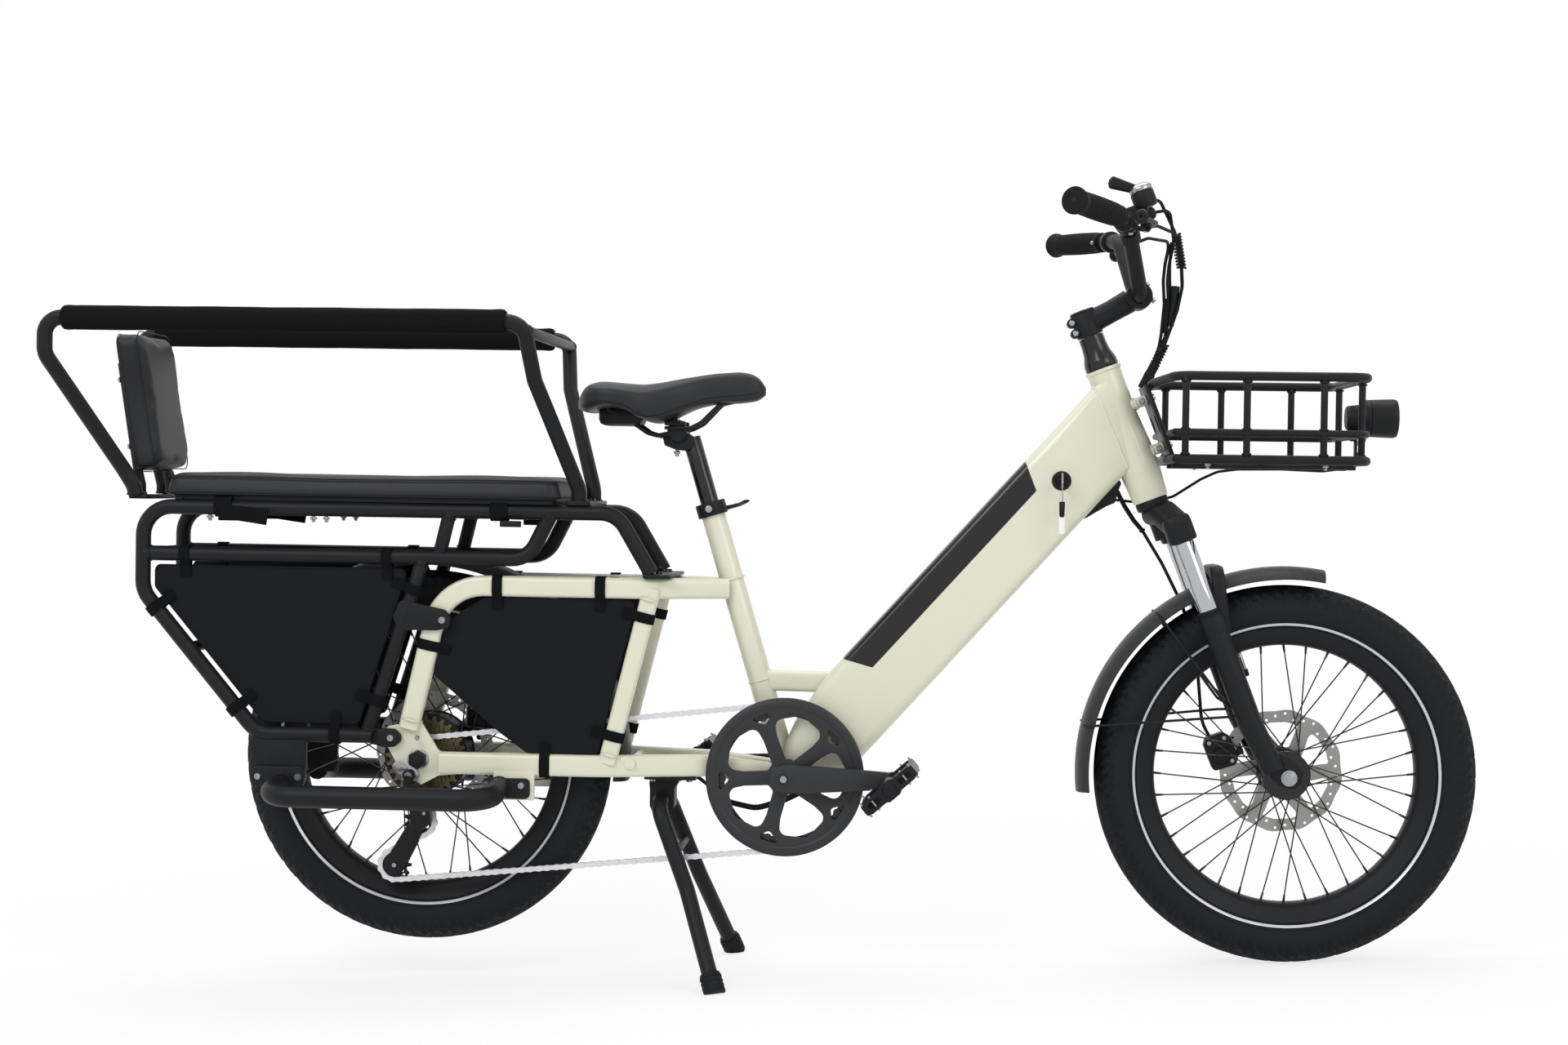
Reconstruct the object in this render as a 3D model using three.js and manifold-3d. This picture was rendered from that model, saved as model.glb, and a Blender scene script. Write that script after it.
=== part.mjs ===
// A longtail cargo bicycle with a hub motor, a passenger seat between hand rails, side panels and a basket.
// Sizes are millimetres and degrees; +X is forward, +Y is the rider's left and +Z is up.
// It stands on its centre stand and front wheel, so the whole bicycle leans a little nose down.
import * as THREE from "three";
import { mergeVertices } from "three/addons/utils/BufferGeometryUtils.js";
import Module from "manifold-3d";

const wasm = await Module();
wasm.setup();

// Driving sizes
const wheelbase = 1252;
const tyreRadius = 273;
const tyreWidth = 76;
const clearance = 0.3;
const overrun = 2;
const weld = 0.001;
const stanceTilt = 2.7;
const headLean = 21;
const axleToHead = 438;
const forkRake = 43;
const seatLean = 16.9;
const downLean = 48.2;
const bracketReach = 532.5;
const bracketDrop = 16;
const finish = {
  cream: { color: 0xc9c8b2, roughness: 0.35, metalness: 0.1 },
  black: { color: 0x26272a, roughness: 0.5, metalness: 0.3 },
  rubber: { color: 0x24262a, roughness: 0.85, metalness: 0 },
  foam: { color: 0x1c1c1c, roughness: 0.95, metalness: 0 },
  padding: { color: 0x2f3032, roughness: 0.8, metalness: 0 },
  panel: { color: 0x1e2124, roughness: 0.75, metalness: 0 },
  plastic: { color: 0x222326, roughness: 0.5, metalness: 0 },
  silver: { color: 0xc8c8cc, roughness: 0.3, metalness: 0.9 },
  steel: { color: 0xb9b9bd, roughness: 0.35, metalness: 0.9 },
  bronze: { color: 0x6e5f3c, roughness: 0.4, metalness: 0.8 },
};

const radians = THREE.MathUtils.degToRad;
const at = (x, y, z) => new THREE.Vector3(x, y, z);
const bothSides = [["left", 1], ["right", -1]];

// Lengths along a direction in the X-Z plane that leans from the upright
const leaning = (lean) => ({ along: Math.cos(radians(lean)), across: Math.sin(radians(lean)) });

// A path whose points are the rings of a swept section
class Run extends THREE.Curve {
  constructor(rings, side) {
    super();
    this.rings = rings;
    this.side = side;
  }
  getPoint(t, target = at(0, 0, 0)) {
    const last = this.rings.length - 1;
    const index = Math.min(Math.floor(t * last), last - 1);
    return target.lerpVectors(this.rings[index], this.rings[index + 1], t * last - index);
  }
  getPointAt(u, target) {
    return this.getPoint(u, target);
  }
  heading(index) {
    const step = (from, to) => to.clone().sub(from).normalize();
    const ahead = Math.min(index, this.rings.length - 2);
    const behind = Math.max(index - 1, 0);
    const leaving = step(this.rings[ahead], this.rings[ahead + 1]);
    return leaving.add(step(this.rings[behind], this.rings[behind + 1])).normalize();
  }
  computeFrenetFrames() {
    const tangents = this.rings.map((ring, index) => this.heading(index));
    const normals = [];
    let normal = this.side;
    for (const tangent of tangents) {
      normal = normal.clone().addScaledVector(tangent, -normal.dot(tangent)).normalize();
      normals.push(normal);
    }
    const binormals = tangents.map((tangent, index) => tangent.clone().cross(normals[index]));
    return { tangents, normals, binormals };
  }
}

// The rings of a path with round bends of one radius, a ring every 45 degrees of turn or less
function rounded(points, bend) {
  const rings = [points[0]];
  for (let i = 1; i < points.length - 1; i += 1) {
    const arriving = points[i].clone().sub(points[i - 1]);
    const leaving = points[i + 1].clone().sub(points[i]);
    const room = Math.min(arriving.length(), leaving.length()) / 2.1;
    arriving.normalize();
    leaving.normalize();
    const turn = arriving.angleTo(leaving);
    if (turn < radians(4)) {
      rings.push(points[i]);
      continue;
    }
    const reach = Math.min(bend * Math.tan(turn / 2), room);
    const radius = reach / Math.tan(turn / 2);
    const inward = leaving.clone().addScaledVector(arriving, -Math.cos(turn)).normalize();
    const start = points[i].clone().addScaledVector(arriving, -reach);
    const steps = Math.max(1, Math.ceil(turn / radians(45)));
    for (let k = 0; k <= steps; k += 1) {
      const angle = (turn * k) / steps;
      const ring = start.clone().addScaledVector(arriving, radius * Math.sin(angle));
      rings.push(ring.addScaledVector(inward, radius * (1 - Math.cos(angle))));
    }
  }
  rings.push(points[points.length - 1]);
  return rings;
}

// A section swept along a path; side is the direction that the section's first axis follows
function sweep(points, section, bend = 0, side = at(0, 1, 0)) {
  const rings = bend > 0 ? rounded(points, bend) : points;
  return new THREE.ExtrudeGeometry(section, { steps: rings.length - 1, extrudePath: new Run(rings, side) });
}

function disc(radius, count = 8) {
  const corners = Array.from({ length: count }, (item, i) => (2 * Math.PI * (i + 0.5)) / count);
  return new THREE.Shape(corners.map((a) => new THREE.Vector2(radius * Math.cos(a), radius * Math.sin(a))));
}

// A rectangle with cut or rounded corners, its width along the section's first axis
function block(width, height, corner) {
  const points = [];
  for (let quarter = 0; quarter < 4; quarter += 1) {
    for (const turn of [18, 72]) {
      const angle = radians(quarter * 90 + turn);
      const right = quarter === 0 || quarter === 3 ? 1 : -1;
      const upper = quarter < 2 ? 1 : -1;
      const x = right * (width / 2 - corner) + corner * Math.cos(angle);
      points.push(new THREE.Vector2(x, upper * (height / 2 - corner) + corner * Math.sin(angle)));
    }
  }
  return new THREE.Shape(points);
}

// How near the flats of an eight-sided bar come to its middle, as a share of its radius
const flatShare = Math.cos(Math.PI / 8);
const tube = (points, radius, bend = 0, side = at(0, 1, 0)) => sweep(points, disc(radius), bend, side);
const wire = (points, radius, bend = 0, side = at(0, 1, 0)) => sweep(points, disc(radius, 6), bend, side);

// The radius of a hole with a number of flats in which a round thing of the given radius can turn
const around = (radius, count = 10) => (radius + clearance) / Math.cos(Math.PI / count);

function rod(from, to, radius, count = 10) {
  const lengthwise = to.clone().sub(from).normalize();
  const side = Math.abs(lengthwise.y) > 0.9 ? at(0, 0, 1) : at(0, 1, 0);
  return sweep([from, to], disc(radius, count), 0, side);
}

function box(low, high) {
  const size = high.clone().sub(low);
  const middle = high.clone().add(low).multiplyScalar(0.5);
  return new THREE.BoxGeometry(size.x, size.y, size.z).translate(middle.x, middle.y, middle.z);
}

// A plate with an outline in the X-Z plane, between two places across the bicycle
function plate(outline, nearY, farY, holes = []) {
  const shape = new THREE.Shape(outline.map(([x, z]) => new THREE.Vector2(x, z)));
  for (const hole of holes) shape.holes.push(new THREE.Path(hole.map(([x, z]) => new THREE.Vector2(x, z))));
  const thickness = Math.abs(farY - nearY);
  const flat = new THREE.ExtrudeGeometry(shape, { depth: thickness, bevelEnabled: false });
  return flat.rotateX(Math.PI / 2).translate(0, Math.max(nearY, farY), 0);
}

// A round profile of [radius, place along Y] points, turned about a line along Y
function turned(profile, steps = 24) {
  return new THREE.LatheGeometry(profile.map(([radius, y]) => new THREE.Vector2(radius, y)), steps);
}

// A closed skin over rings that all have as many points
function loft(rings) {
  const count = rings[0].length;
  const places = rings.flat();
  const index = [];
  for (let r = 0; r < rings.length - 1; r += 1) {
    for (let i = 0; i < count; i += 1) {
      const a = r * count + i;
      const b = r * count + ((i + 1) % count);
      index.push(a, b, b + count, a, b + count, a + count);
    }
  }
  const end = (rings.length - 1) * count;
  for (let i = 1; i < count - 1; i += 1) index.push(0, i + 1, i, end, end + i, end + i + 1);
  return new THREE.BufferGeometry().setFromPoints(places).setIndex(index);
}

// Booleans on closed geometries
function solid(part) {
  if (!part.isBufferGeometry) return part;
  const bare = new THREE.BufferGeometry().setAttribute("position", part.getAttribute("position").clone());
  if (part.index) bare.setIndex(part.index.clone());
  const merged = mergeVertices(bare, weld);
  const corners = [];
  for (let i = 0; i < merged.index.count; i += 3) {
    const [a, b, c] = [0, 1, 2].map((k) => merged.index.getX(i + k));
    if (a !== b && b !== c && c !== a) corners.push(a, b, c);
  }
  const close = (triVerts) =>
    new wasm.Manifold(
      new wasm.Mesh({ numProp: 3, vertProperties: merged.attributes.position.array, triVerts }),
    );
  const made = close(new Uint32Array(corners));
  return made.volume() > 0 ? made : close(new Uint32Array(corners.reverse()));
}
const join = (...parts) => parts.map(solid).reduce((whole, part) => whole.add(part));
const cut = (body, ...tools) => tools.map(solid).reduce((whole, tool) => whole.subtract(tool), solid(body));

function piece(name, shape, look, parent) {
  const made = solid(shape).getMesh();
  const geometry = new THREE.BufferGeometry();
  geometry.setAttribute("position", new THREE.BufferAttribute(made.vertProperties, 3));
  geometry.setIndex(new THREE.BufferAttribute(made.triVerts, 1));
  const mesh = new THREE.Mesh(geometry, new THREE.MeshStandardMaterial({ ...look, flatShading: true }));
  mesh.name = name;
  parent.add(mesh);
  return mesh;
}

// The bicycle's own frame: the rear axle above the origin, both wheels level
const bicycle = new THREE.Group();
bicycle.rotation.y = radians(stanceTilt);
const rearAxle = at(0, 0, tyreRadius);
const frontAxle = at(wheelbase, 0, tyreRadius);
const bracket = at(bracketReach, 0, tyreRadius - bracketDrop);

// The steering frame: its origin is the foot of the head tube, +Z runs up the steerer and +X ahead of it
const head = leaning(headLean);
const headFoot = at(
  wheelbase - forkRake * head.along - axleToHead * head.across,
  0,
  tyreRadius - forkRake * head.across + axleToHead * head.along,
);
const steering = new THREE.Group();
steering.rotation.y = -radians(headLean);
steering.position.copy(headFoot);
const forkAxle = at(forkRake, 0, -axleToHead);
const onHead = (ahead, y, up) =>
  at(
    headFoot.x + ahead * head.along - up * head.across,
    y,
    headFoot.z + ahead * head.across + up * head.along,
  );

// Wheels
const tyre = { wall: 5, depth: 70, beadShare: 0.75 };
const rim = { depth: 24, wall: 4, bedShare: 0.55 };
const wheelSteps = 30;
const hubSteps = 16;
const spoke = { count: 36, radius: 1.1, crossing: 42, stagger: 2 };
const rotor = { radius: 90, bore: 22, thickness: 1.8, band: 17, windows: 6, steps: 24 };
const axleFit = 0.3;

function tyreSkin() {
  const middle = tyreRadius - tyre.depth / 2;
  const turns = [-1, -0.68, -0.34, 0, 0.34, 0.68, 1].map((share) => share * tyre.beadShare);
  const place = (share, inset) => [
    middle + (tyre.depth / 2 - inset) * Math.cos(share * Math.PI),
    (tyreWidth / 2 - inset) * Math.sin(share * Math.PI),
  ];
  const outer = turns.map((share) => place(share, 0));
  const inner = turns.filter((share, i) => i % 2 === 0).reverse().map((share) => place(share, tyre.wall));
  return turned([...outer, ...inner, outer[0]], wheelSteps);
}
const beadRadius = tyreRadius - tyre.depth / 2 + (tyre.depth / 2) * Math.cos(tyre.beadShare * Math.PI);
const beadHalf = (tyreWidth / 2) * Math.sin(tyre.beadShare * Math.PI);
const rimRadius = beadRadius - clearance;
const rimInner = rimRadius - rim.depth;
function rimHoop() {
  const bed = beadHalf * rim.bedShare;
  const half = [
    [rimInner + rim.wall, bed - rim.wall],
    [rimRadius, beadHalf],
    [rimInner, bed],
  ];
  const other = half.map(([r, y]) => [r, -y]).reverse();
  return turned([...half, ...other, half[0]], wheelSteps);
}
function spokes(flangeRadius, flanges) {
  const bars = [];
  const reach = rimInner * Math.cos(Math.PI / wheelSteps) - clearance - spoke.radius / 2;
  for (let i = 0; i < spoke.count; i += 1) {
    const turn = (i * 2 * Math.PI) / spoke.count;
    const sense = i % 4 < 2 ? 1 : -1;
    const flange = flanges[i % 2] + sense * spoke.stagger;
    const lean = radians(spoke.crossing) * sense;
    const foot = at(flangeRadius * Math.cos(turn + lean), flange, flangeRadius * Math.sin(turn + lean));
    const tip = at(reach * Math.cos(turn), 0, reach * Math.sin(turn));
    bars.push(sweep([foot, tip], disc(spoke.radius, 3)));
  }
  return bars;
}
function rotorDisc(y) {
  const ring = (radius, count, phase) =>
    Array.from({ length: count }, (item, i) => {
      const a = ((i + phase) * 2 * Math.PI) / count;
      return [radius * Math.cos(a), radius * Math.sin(a)];
    });
  const outer = ring(rotor.radius, rotor.steps, 0);
  const holes = [];
  const inside = rotor.radius - rotor.band;
  for (let i = 0; i < rotor.windows; i += 1) {
    const middle = (i * 2 * Math.PI) / rotor.windows;
    const span = Math.PI / rotor.windows;
    const corner = (radius, share) => [
      radius * Math.cos(middle + span * share),
      radius * Math.sin(middle + span * share),
    ];
    const near = rotor.bore + rotor.band / 2;
    holes.push([
      corner(near, -0.5),
      corner(inside, -0.82),
      corner(inside, -0.3),
      corner(inside, 0.3),
      corner(inside, 0.82),
      corner(near, 0.5),
    ]);
  }
  holes.push(ring(rotor.bore, hubSteps, 0));
  return plate(outer, y, y + rotor.thickness, holes);
}

// Front wheel, in the steering frame around the fork's axle
const frontHub = { radius: 17, half: 47, flange: 35, flangeAt: 27, flangeThick: 7, seat: 30, axle: 4.8 };
const frontRotorAt = frontHub.flangeAt + frontHub.flangeThick;
function frontWheel() {
  const wheel = new THREE.Group();
  wheel.position.copy(forkAxle);
  steering.add(wheel);
  piece("front_tyre", tyreSkin(), finish.rubber, wheel);
  piece("front_rim", rimHoop(), finish.black, wheel);
  const h = frontHub;
  const flangeOut = h.flangeAt + h.flangeThick / 2;
  const flangeIn = h.flangeAt - h.flangeThick / 2;
  const pastRotor = frontRotorAt + rotor.thickness + overrun;
  const hub = turned(
    [
      [0, -h.half],
      [h.radius, -h.half],
      [h.radius, -flangeOut],
      [h.flange, -flangeOut],
      [h.flange, -flangeIn],
      [h.radius, -flangeIn + overrun],
      [h.radius, flangeIn - overrun],
      [h.flange, flangeIn],
      [h.flange, flangeOut],
      [h.seat, frontRotorAt - clearance],
      [rotor.bore - clearance, frontRotorAt - clearance],
      [rotor.bore - clearance, pastRotor],
      [h.radius, h.half],
      [0, h.half],
    ],
    hubSteps,
  );
  const bore = rod(at(0, -h.half - overrun, 0), at(0, h.half + overrun, 0), around(h.axle, 8), 8);
  const whole = join(hub, ...spokes(h.flange - overrun, [h.flangeAt, -h.flangeAt]));
  piece("front_hub", cut(whole, bore), finish.black, wheel);
  piece("front_rotor", rotorDisc(frontRotorAt), finish.steel, wheel);
}
frontWheel();

// Rear wheel with its hub motor, freewheel and axle
const motor = {
  radius: 62,
  rightAt: -23,
  leftAt: 34,
  flangeThick: 7,
  boreRadius: 8.3,
  bodyRadius: 17,
  bodyEnd: -55,
};
const motorHump = 50;
const motorNeck = 30.8;
const rearRotorAt = 42;
const dropout = { inner: 68.3, outer: 75, hole: 6.3 };
const chainLine = -50;
const pitch = 12.7;
const teeth = { ring: 52, sprocket: 14, pulley: 11 };
const pitchRadius = (count) => (count * pitch) / (2 * Math.PI);
const chainSize = { height: 8.5, width: 7 };
const rideHeight = chainSize.height / 2 + clearance;
const freewheelTeeth = [28, 24, 20, 17];
const sprocketStep = 5.2;
function rearWheel() {
  const wheel = new THREE.Group();
  wheel.position.copy(rearAxle);
  bicycle.add(wheel);
  piece("rear_tyre", tyreSkin(), finish.rubber, wheel);
  piece("rear_rim", rimHoop(), finish.black, wheel);
  const m = motor;
  const shoulder = m.leftAt + overrun;
  const body = turned(
    [
      [0, m.bodyEnd],
      [m.bodyRadius, m.bodyEnd],
      [m.bodyRadius, m.rightAt],
      [m.radius, m.rightAt],
      [m.radius, m.rightAt + m.flangeThick],
      [m.radius, m.leftAt - m.flangeThick],
      [m.radius, m.leftAt],
      [motorHump, shoulder],
      [motorNeck, rearRotorAt - clearance],
      [rotor.bore - clearance, rearRotorAt - clearance],
      [rotor.bore - clearance, rearRotorAt + rotor.thickness + overrun],
      [0, rearRotorAt + rotor.thickness + overrun],
    ],
    hubSteps,
  );
  const bore = rod(at(0, m.bodyEnd - overrun, 0), at(0, rearRotorAt + rotor.band, 0), m.boreRadius, 8);
  const whole = join(
    body,
    ...spokes(m.radius - overrun, [m.leftAt - m.flangeThick / 2, m.rightAt + m.flangeThick / 2]),
  );
  piece("motor_hub", cut(whole, bore), finish.black, wheel);
  piece("rear_rotor", rotorDisc(rearRotorAt), finish.steel, wheel);
  const inside = around(m.bodyRadius, hubSteps);
  const start = m.rightAt - overrun;
  const steps = freewheelTeeth.flatMap((count, i) => {
    const right = start - i * sprocketStep;
    return [
      [pitchRadius(count) + overrun, right],
      [pitchRadius(count) + overrun, right - sprocketStep + overrun / 4],
    ];
  });
  const coneEnd = start - freewheelTeeth.length * sprocketStep;
  const small = pitchRadius(teeth.sprocket) - rideHeight;
  const profile = [
    [inside, start],
    ...steps,
    [small, coneEnd],
    [small, m.bodyEnd - clearance],
    [inside, m.bodyEnd - clearance],
  ];
  piece("freewheel", turned([...profile, profile[0]], hubSteps), finish.bronze, wheel);
  const axleRadius = dropout.hole - axleFit;
  const capEnd = dropout.outer + capLength;
  const cap = (sign) =>
    rod(at(0, sign * (dropout.outer + clearance), 0), at(0, sign * capEnd, 0), capRadius, 10);
  const spacer = (from, to) => rod(at(0, from, 0), at(0, to, 0), motor.boreRadius + overrun, 10);
  const rodWhole = rod(at(0, -capEnd, 0), at(0, capEnd, 0), axleRadius, 8);
  const leftSpacer = spacer(rearRotorAt + rotor.thickness + overrun + clearance, dropout.inner - clearance);
  const rightSpacer = spacer(m.bodyEnd - 2 * clearance, -dropout.inner + clearance);
  piece("rear_axle", join(rodWhole, cap(1), cap(-1), leftSpacer, rightSpacer), finish.plastic, wheel);
}
const capLength = 16;
const capRadius = 15;
rearWheel();

// Main frame
const downTube = {
  width: 76,
  depth: 118,
  drop: 4.5,
  corner: 16,
  neckWidth: 42,
  neckReach: 100,
  footWidth: 62,
};
const headTube = { length: 202, radius: 24.5, bulge: 29, bulgeAt: 62, foot: 25, bore: 15 };
const seatTube = { radius: 17.5, length: 413, bore: 13.9, boreDepth: 270 };
const rail = { height: 30, width: 20, corner: 7, z: 527, half: 76, bend: 75 };
const railNeck = { reach: 330, half: 74, meetHalf: 20 };
const stay = { height: 32, width: 20, corner: 7, half: 74, waist: 33, waistReach: 420, footHalf: 24 };
const bracketShell = { radius: 22, half: 34, bore: 17.3 };
const seat = leaning(seatLean);
const onSeat = (up, y = 0) => at(bracket.x - up * seat.across, y, bracket.z + up * seat.along);
const down = leaning(90 - downLean);
// Places on the down tube: along it from the bracket, and up from its axis
const onDown = (along, y, up) =>
  at(
    bracket.x + along * down.across + (down.along) * (downTube.drop - up),
    y,
    bracket.z + along * down.along + (down.across) * (up - downTube.drop),
  );
const legFoot = at(-14, rail.half, 318);
const legBend = at(33, rail.half, rail.z);
const boss = { radius: 8, length: 14, upper: 138, lower: 66, place: 8 };
const battery = {
  from: 182,
  to: 570,
  taper: 20,
  cover: 40,
  packDepth: 66,
  packHalf: 29,
  packFrom: 218,
  packTo: 538,
};
const lock = { along: 585, up: 2, radius: 10, depth: 12, faceRadius: 14, face: 2 };
const footTab = { from: 112, to: 172, low: 218, high: 262, inner: 78, outer: 84 };

function mainFrame() {
  const ring = (along, half, top, bottom, corner, slope = 0) => {
    const outline = block(half * 2, top - bottom, corner).getPoints();
    const middle = (top + bottom) / 2;
    return outline.map((p) => onDown(along + (p.y + middle) * slope, p.x, p.y + middle));
  };
  const half = downTube.depth / 2;
  const headPlace = onHead(0, 0, 0).sub(onDown(0, 0, 0));
  const reachAt = headPlace.x * down.across + headPlace.z * down.along;
  const riseAt = headPlace.z * down.across - headPlace.x * down.along;
  const lean = radians(90 - downLean) + radians(headLean);
  const slope = Math.tan(Math.PI / 2 - lean);
  const along = reachAt - riseAt * slope;
  const foot = bracketShell.radius;
  const beam = loft([
    ring(foot / 2, downTube.footWidth / 2, foot, -half + foot, downTube.corner / 2),
    ring(foot * 3, downTube.width / 2, half - foot / 2, -half, downTube.corner),
    ring(battery.from - foot, downTube.width / 2, half, -half, downTube.corner),
    ring(along - downTube.neckReach, downTube.width / 2, half, -half, downTube.corner, slope / 2),
    ring(along, downTube.neckWidth / 2, half, -half, downTube.corner / 2, slope),
  ]);
  const headProfile = [
    [0, 0],
    [headTube.foot, 0],
    [headTube.bulge, headTube.bulgeAt / 2],
    [headTube.bulge, headTube.bulgeAt],
    [headTube.radius, headTube.bulgeAt * 2],
    [headTube.radius, headTube.length],
    [0, headTube.length],
  ];
  const upright = (geometry) => {
    geometry.rotateX(Math.PI / 2).rotateY(-radians(headLean));
    return geometry.translate(headFoot.x, headFoot.y, headFoot.z);
  };
  const headBody = upright(turned(headProfile, 16));
  const headBore = upright(rod(at(0, -overrun, 0), at(0, headTube.length + overrun, 0), headTube.bore, 12));
  const bosses = [boss.upper, boss.lower].flatMap((up) =>
    [boss.place, -boss.place].map((y) =>
      rod(onHead(headTube.radius / 2, y, up), onHead(headTube.bulge + boss.length, y, up), boss.radius, 6),
    ),
  );
  const seatBody = rod(onSeat(0), onSeat(seatTube.length), seatTube.radius, 12);
  const seatBore = rod(
    onSeat(seatTube.length - seatTube.boreDepth),
    onSeat(seatTube.length + overrun),
    seatTube.bore,
  );
  const shell = rod(
    at(bracket.x, -bracketShell.half, bracket.z),
    at(bracket.x, bracketShell.half, bracket.z),
    bracketShell.radius,
  );
  const shellBore = rod(
    at(bracket.x, -bracketShell.half - overrun, bracket.z),
    at(bracket.x, bracketShell.half + overrun, bracket.z),
    bracketShell.bore,
  );
  const gussetFoot = onDown(battery.from - foot * 2, 0, 0);
  const gusset = sweep(
    [onSeat(gussetPlace.up), gussetFoot],
    block(gussetPlace.width, gussetPlace.height, gussetPlace.width / 4),
  );
  const twins = bothSides.flatMap(([, sign]) => {
    const mirrored = (p) => at(p.x, sign * p.y, p.z);
    const railPath = [
      mirrored(
        at(onSeat((rail.z - bracket.z) / seat.along).x - seatTube.radius / 2, railNeck.meetHalf, rail.z),
      ),
      mirrored(at(railNeck.reach, railNeck.half, rail.z)),
      mirrored(legBend),
      mirrored(legFoot),
    ];
    const stayPath = [
      mirrored(at(rearAxle.x + stay.height, stay.half, rearAxle.z - 2 * overrun)),
      mirrored(at(railNeck.reach - rail.bend, stay.half, rearAxle.z - 2 * overrun)),
      mirrored(at(stay.waistReach, stay.waist, rearAxle.z - 2 * overrun)),
      mirrored(at(bracket.x - bracketShell.radius / 2, stay.footHalf, bracket.z)),
    ];
    const strutPath = [
      mirrored(at(strut.topReach, strut.half, rail.z)),
      mirrored(at(strut.footReach, strut.half, rearAxle.z)),
    ];
    const dropPlate = cut(
      plate(dropoutOutline, sign * dropout.inner, sign * dropout.outer),
      rod(
        at(0, sign * (dropout.inner - overrun), rearAxle.z),
        at(0, sign * (dropout.outer + overrun), rearAxle.z),
        dropout.hole,
        8,
      ),
    );
    const tab = box(
      at(footTab.from, Math.min(sign * footTab.inner, sign * footTab.outer), footTab.low),
      at(footTab.to, Math.max(sign * footTab.inner, sign * footTab.outer), footTab.high),
    );
    return [
      sweep(railPath, block(rail.width, rail.height, rail.corner), rail.bend),
      sweep(stayPath, block(stay.width, stay.height, stay.corner), rail.bend),
      sweep(strutPath, block(strut.width, strut.height, rail.corner)),
      dropPlate,
      tab,
    ];
  });
  const bridges = [
    rod(at(bridge.reach, -stay.half, bridge.z), at(bridge.reach, stay.half, bridge.z), bridge.radius, 8),
    rod(
      at(railNeck.reach, -railNeck.half, rail.z),
      at(railNeck.reach, railNeck.half, rail.z),
      bridge.radius,
      8,
    ),
  ];
  const coverOutline = (spare) => [
    [battery.from - spare, half + overrun],
    [battery.from - spare, half],
    [battery.from + battery.taper - spare, half - battery.cover - spare],
    [battery.to - battery.taper + spare, half - battery.cover - spare],
    [battery.to + spare, half],
    [battery.to + spare, half + overrun],
  ];
  const slot = plate(
    coverOutline(clearance).map(([a, up]) => {
      const p = onDown(a, 0, up);
      return [p.x, p.z];
    }),
    -downTube.width,
    downTube.width,
  );
  const cavity = alongDown(
    battery.from - cavitySpare.low,
    battery.to - cavitySpare.high,
    battery.packHalf + clearance,
    half - battery.cover,
    half - battery.cover - battery.packDepth - clearance,
  );
  const lockHole = rod(
    onDown(lock.along, -downTube.width, lock.up),
    onDown(lock.along, -downTube.width / 2 + lock.depth, lock.up),
    around(lock.radius, 12),
    12,
  );
  const frame = join(beam, headBody, ...bosses, seatBody, shell, gusset, ...twins, ...bridges);
  piece(
    "main_frame",
    cut(frame, headBore, seatBore, shellBore, slot, cavity, lockHole),
    finish.cream,
    bicycle,
  );
}
const cavitySpare = { low: 60, high: 12 };
const gussetPlace = { up: 142, width: 24, height: 30 };
const strut = { topReach: 338, footReach: 276, half: 74, width: 16, height: 26 };
const guardShape = { gap: 27, half: 43, lip: 16, sheet: 2.2 };
const guardRadius = tyreRadius + guardShape.gap;
const rearGuard = { front: -6, rear: 146, steps: 13 };
const rearGuardStep = radians(rearGuard.rear - rearGuard.front) / rearGuard.steps;
const bridgeRadius = 8;
const bridge = {
  radius: bridgeRadius,
  z: tyreRadius,
  reach: guardRadius * Math.cos(rearGuardStep / 2) + bridgeRadius * flatShare + clearance,
};
const lugPlace = { low: [-39.5, 304], high: [32.4, 476.8], radius: 13 };
const dropoutOutline = [
  [-54, 306],
  [-46, 320],
  [2, 330],
  [30, 285],
  [92, 284],
  [92, 256],
  [30, 250],
  [4, 236],
  [-20, 236],
  [-30, 262],
];
// A block on the down tube, between two places along it and two heights above its axis
function alongDown(from, to, half, top, bottom) {
  const ring = (along) =>
    [
      onDown(along, -half, bottom),
      onDown(along, half, bottom),
      onDown(along, half, top),
      onDown(along, -half, top),
    ];
  return loft([ring(from), ring(to)]);
}
mainFrame();

// Battery pack, which lifts out of the down tube, and the key in its lock
function batteryPack() {
  const half = downTube.depth / 2;
  const b = battery;
  const profile = [
    [b.from, half],
    [b.from + b.taper, half - b.cover],
    [b.to - b.taper, half - b.cover],
    [b.to, half],
  ];
  const slice = (width, rise) => {
    const inward = (b.taper * rise) / b.cover;
    const lowered = (along, sense) => onDown(along + sense * inward, width, half - rise);
    const [first, second, third, fourth] = profile;
    return [
      lowered(first[0], 1),
      onDown(second[0], width, second[1]),
      onDown(third[0], width, third[1]),
      lowered(fourth[0], -1),
    ];
  };
  const inset = downTube.corner / 2;
  const edge = downTube.width / 2;
  const cover = loft(
    [slice(-edge, inset), slice(inset - edge, 0), slice(edge - inset, 0), slice(edge, inset)],
  );
  const pack = alongDown(
    b.packFrom,
    b.packTo,
    b.packHalf,
    half - b.cover + overrun,
    half - b.cover - b.packDepth,
  );
  piece("battery_pack", join(cover, pack), finish.black, bicycle);
}
batteryPack();
const keyShape = { length: 22, bow: 11, thick: 2.2, ring: 14, tagLong: 62, tagWide: 10, tagThick: 4 };
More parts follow.
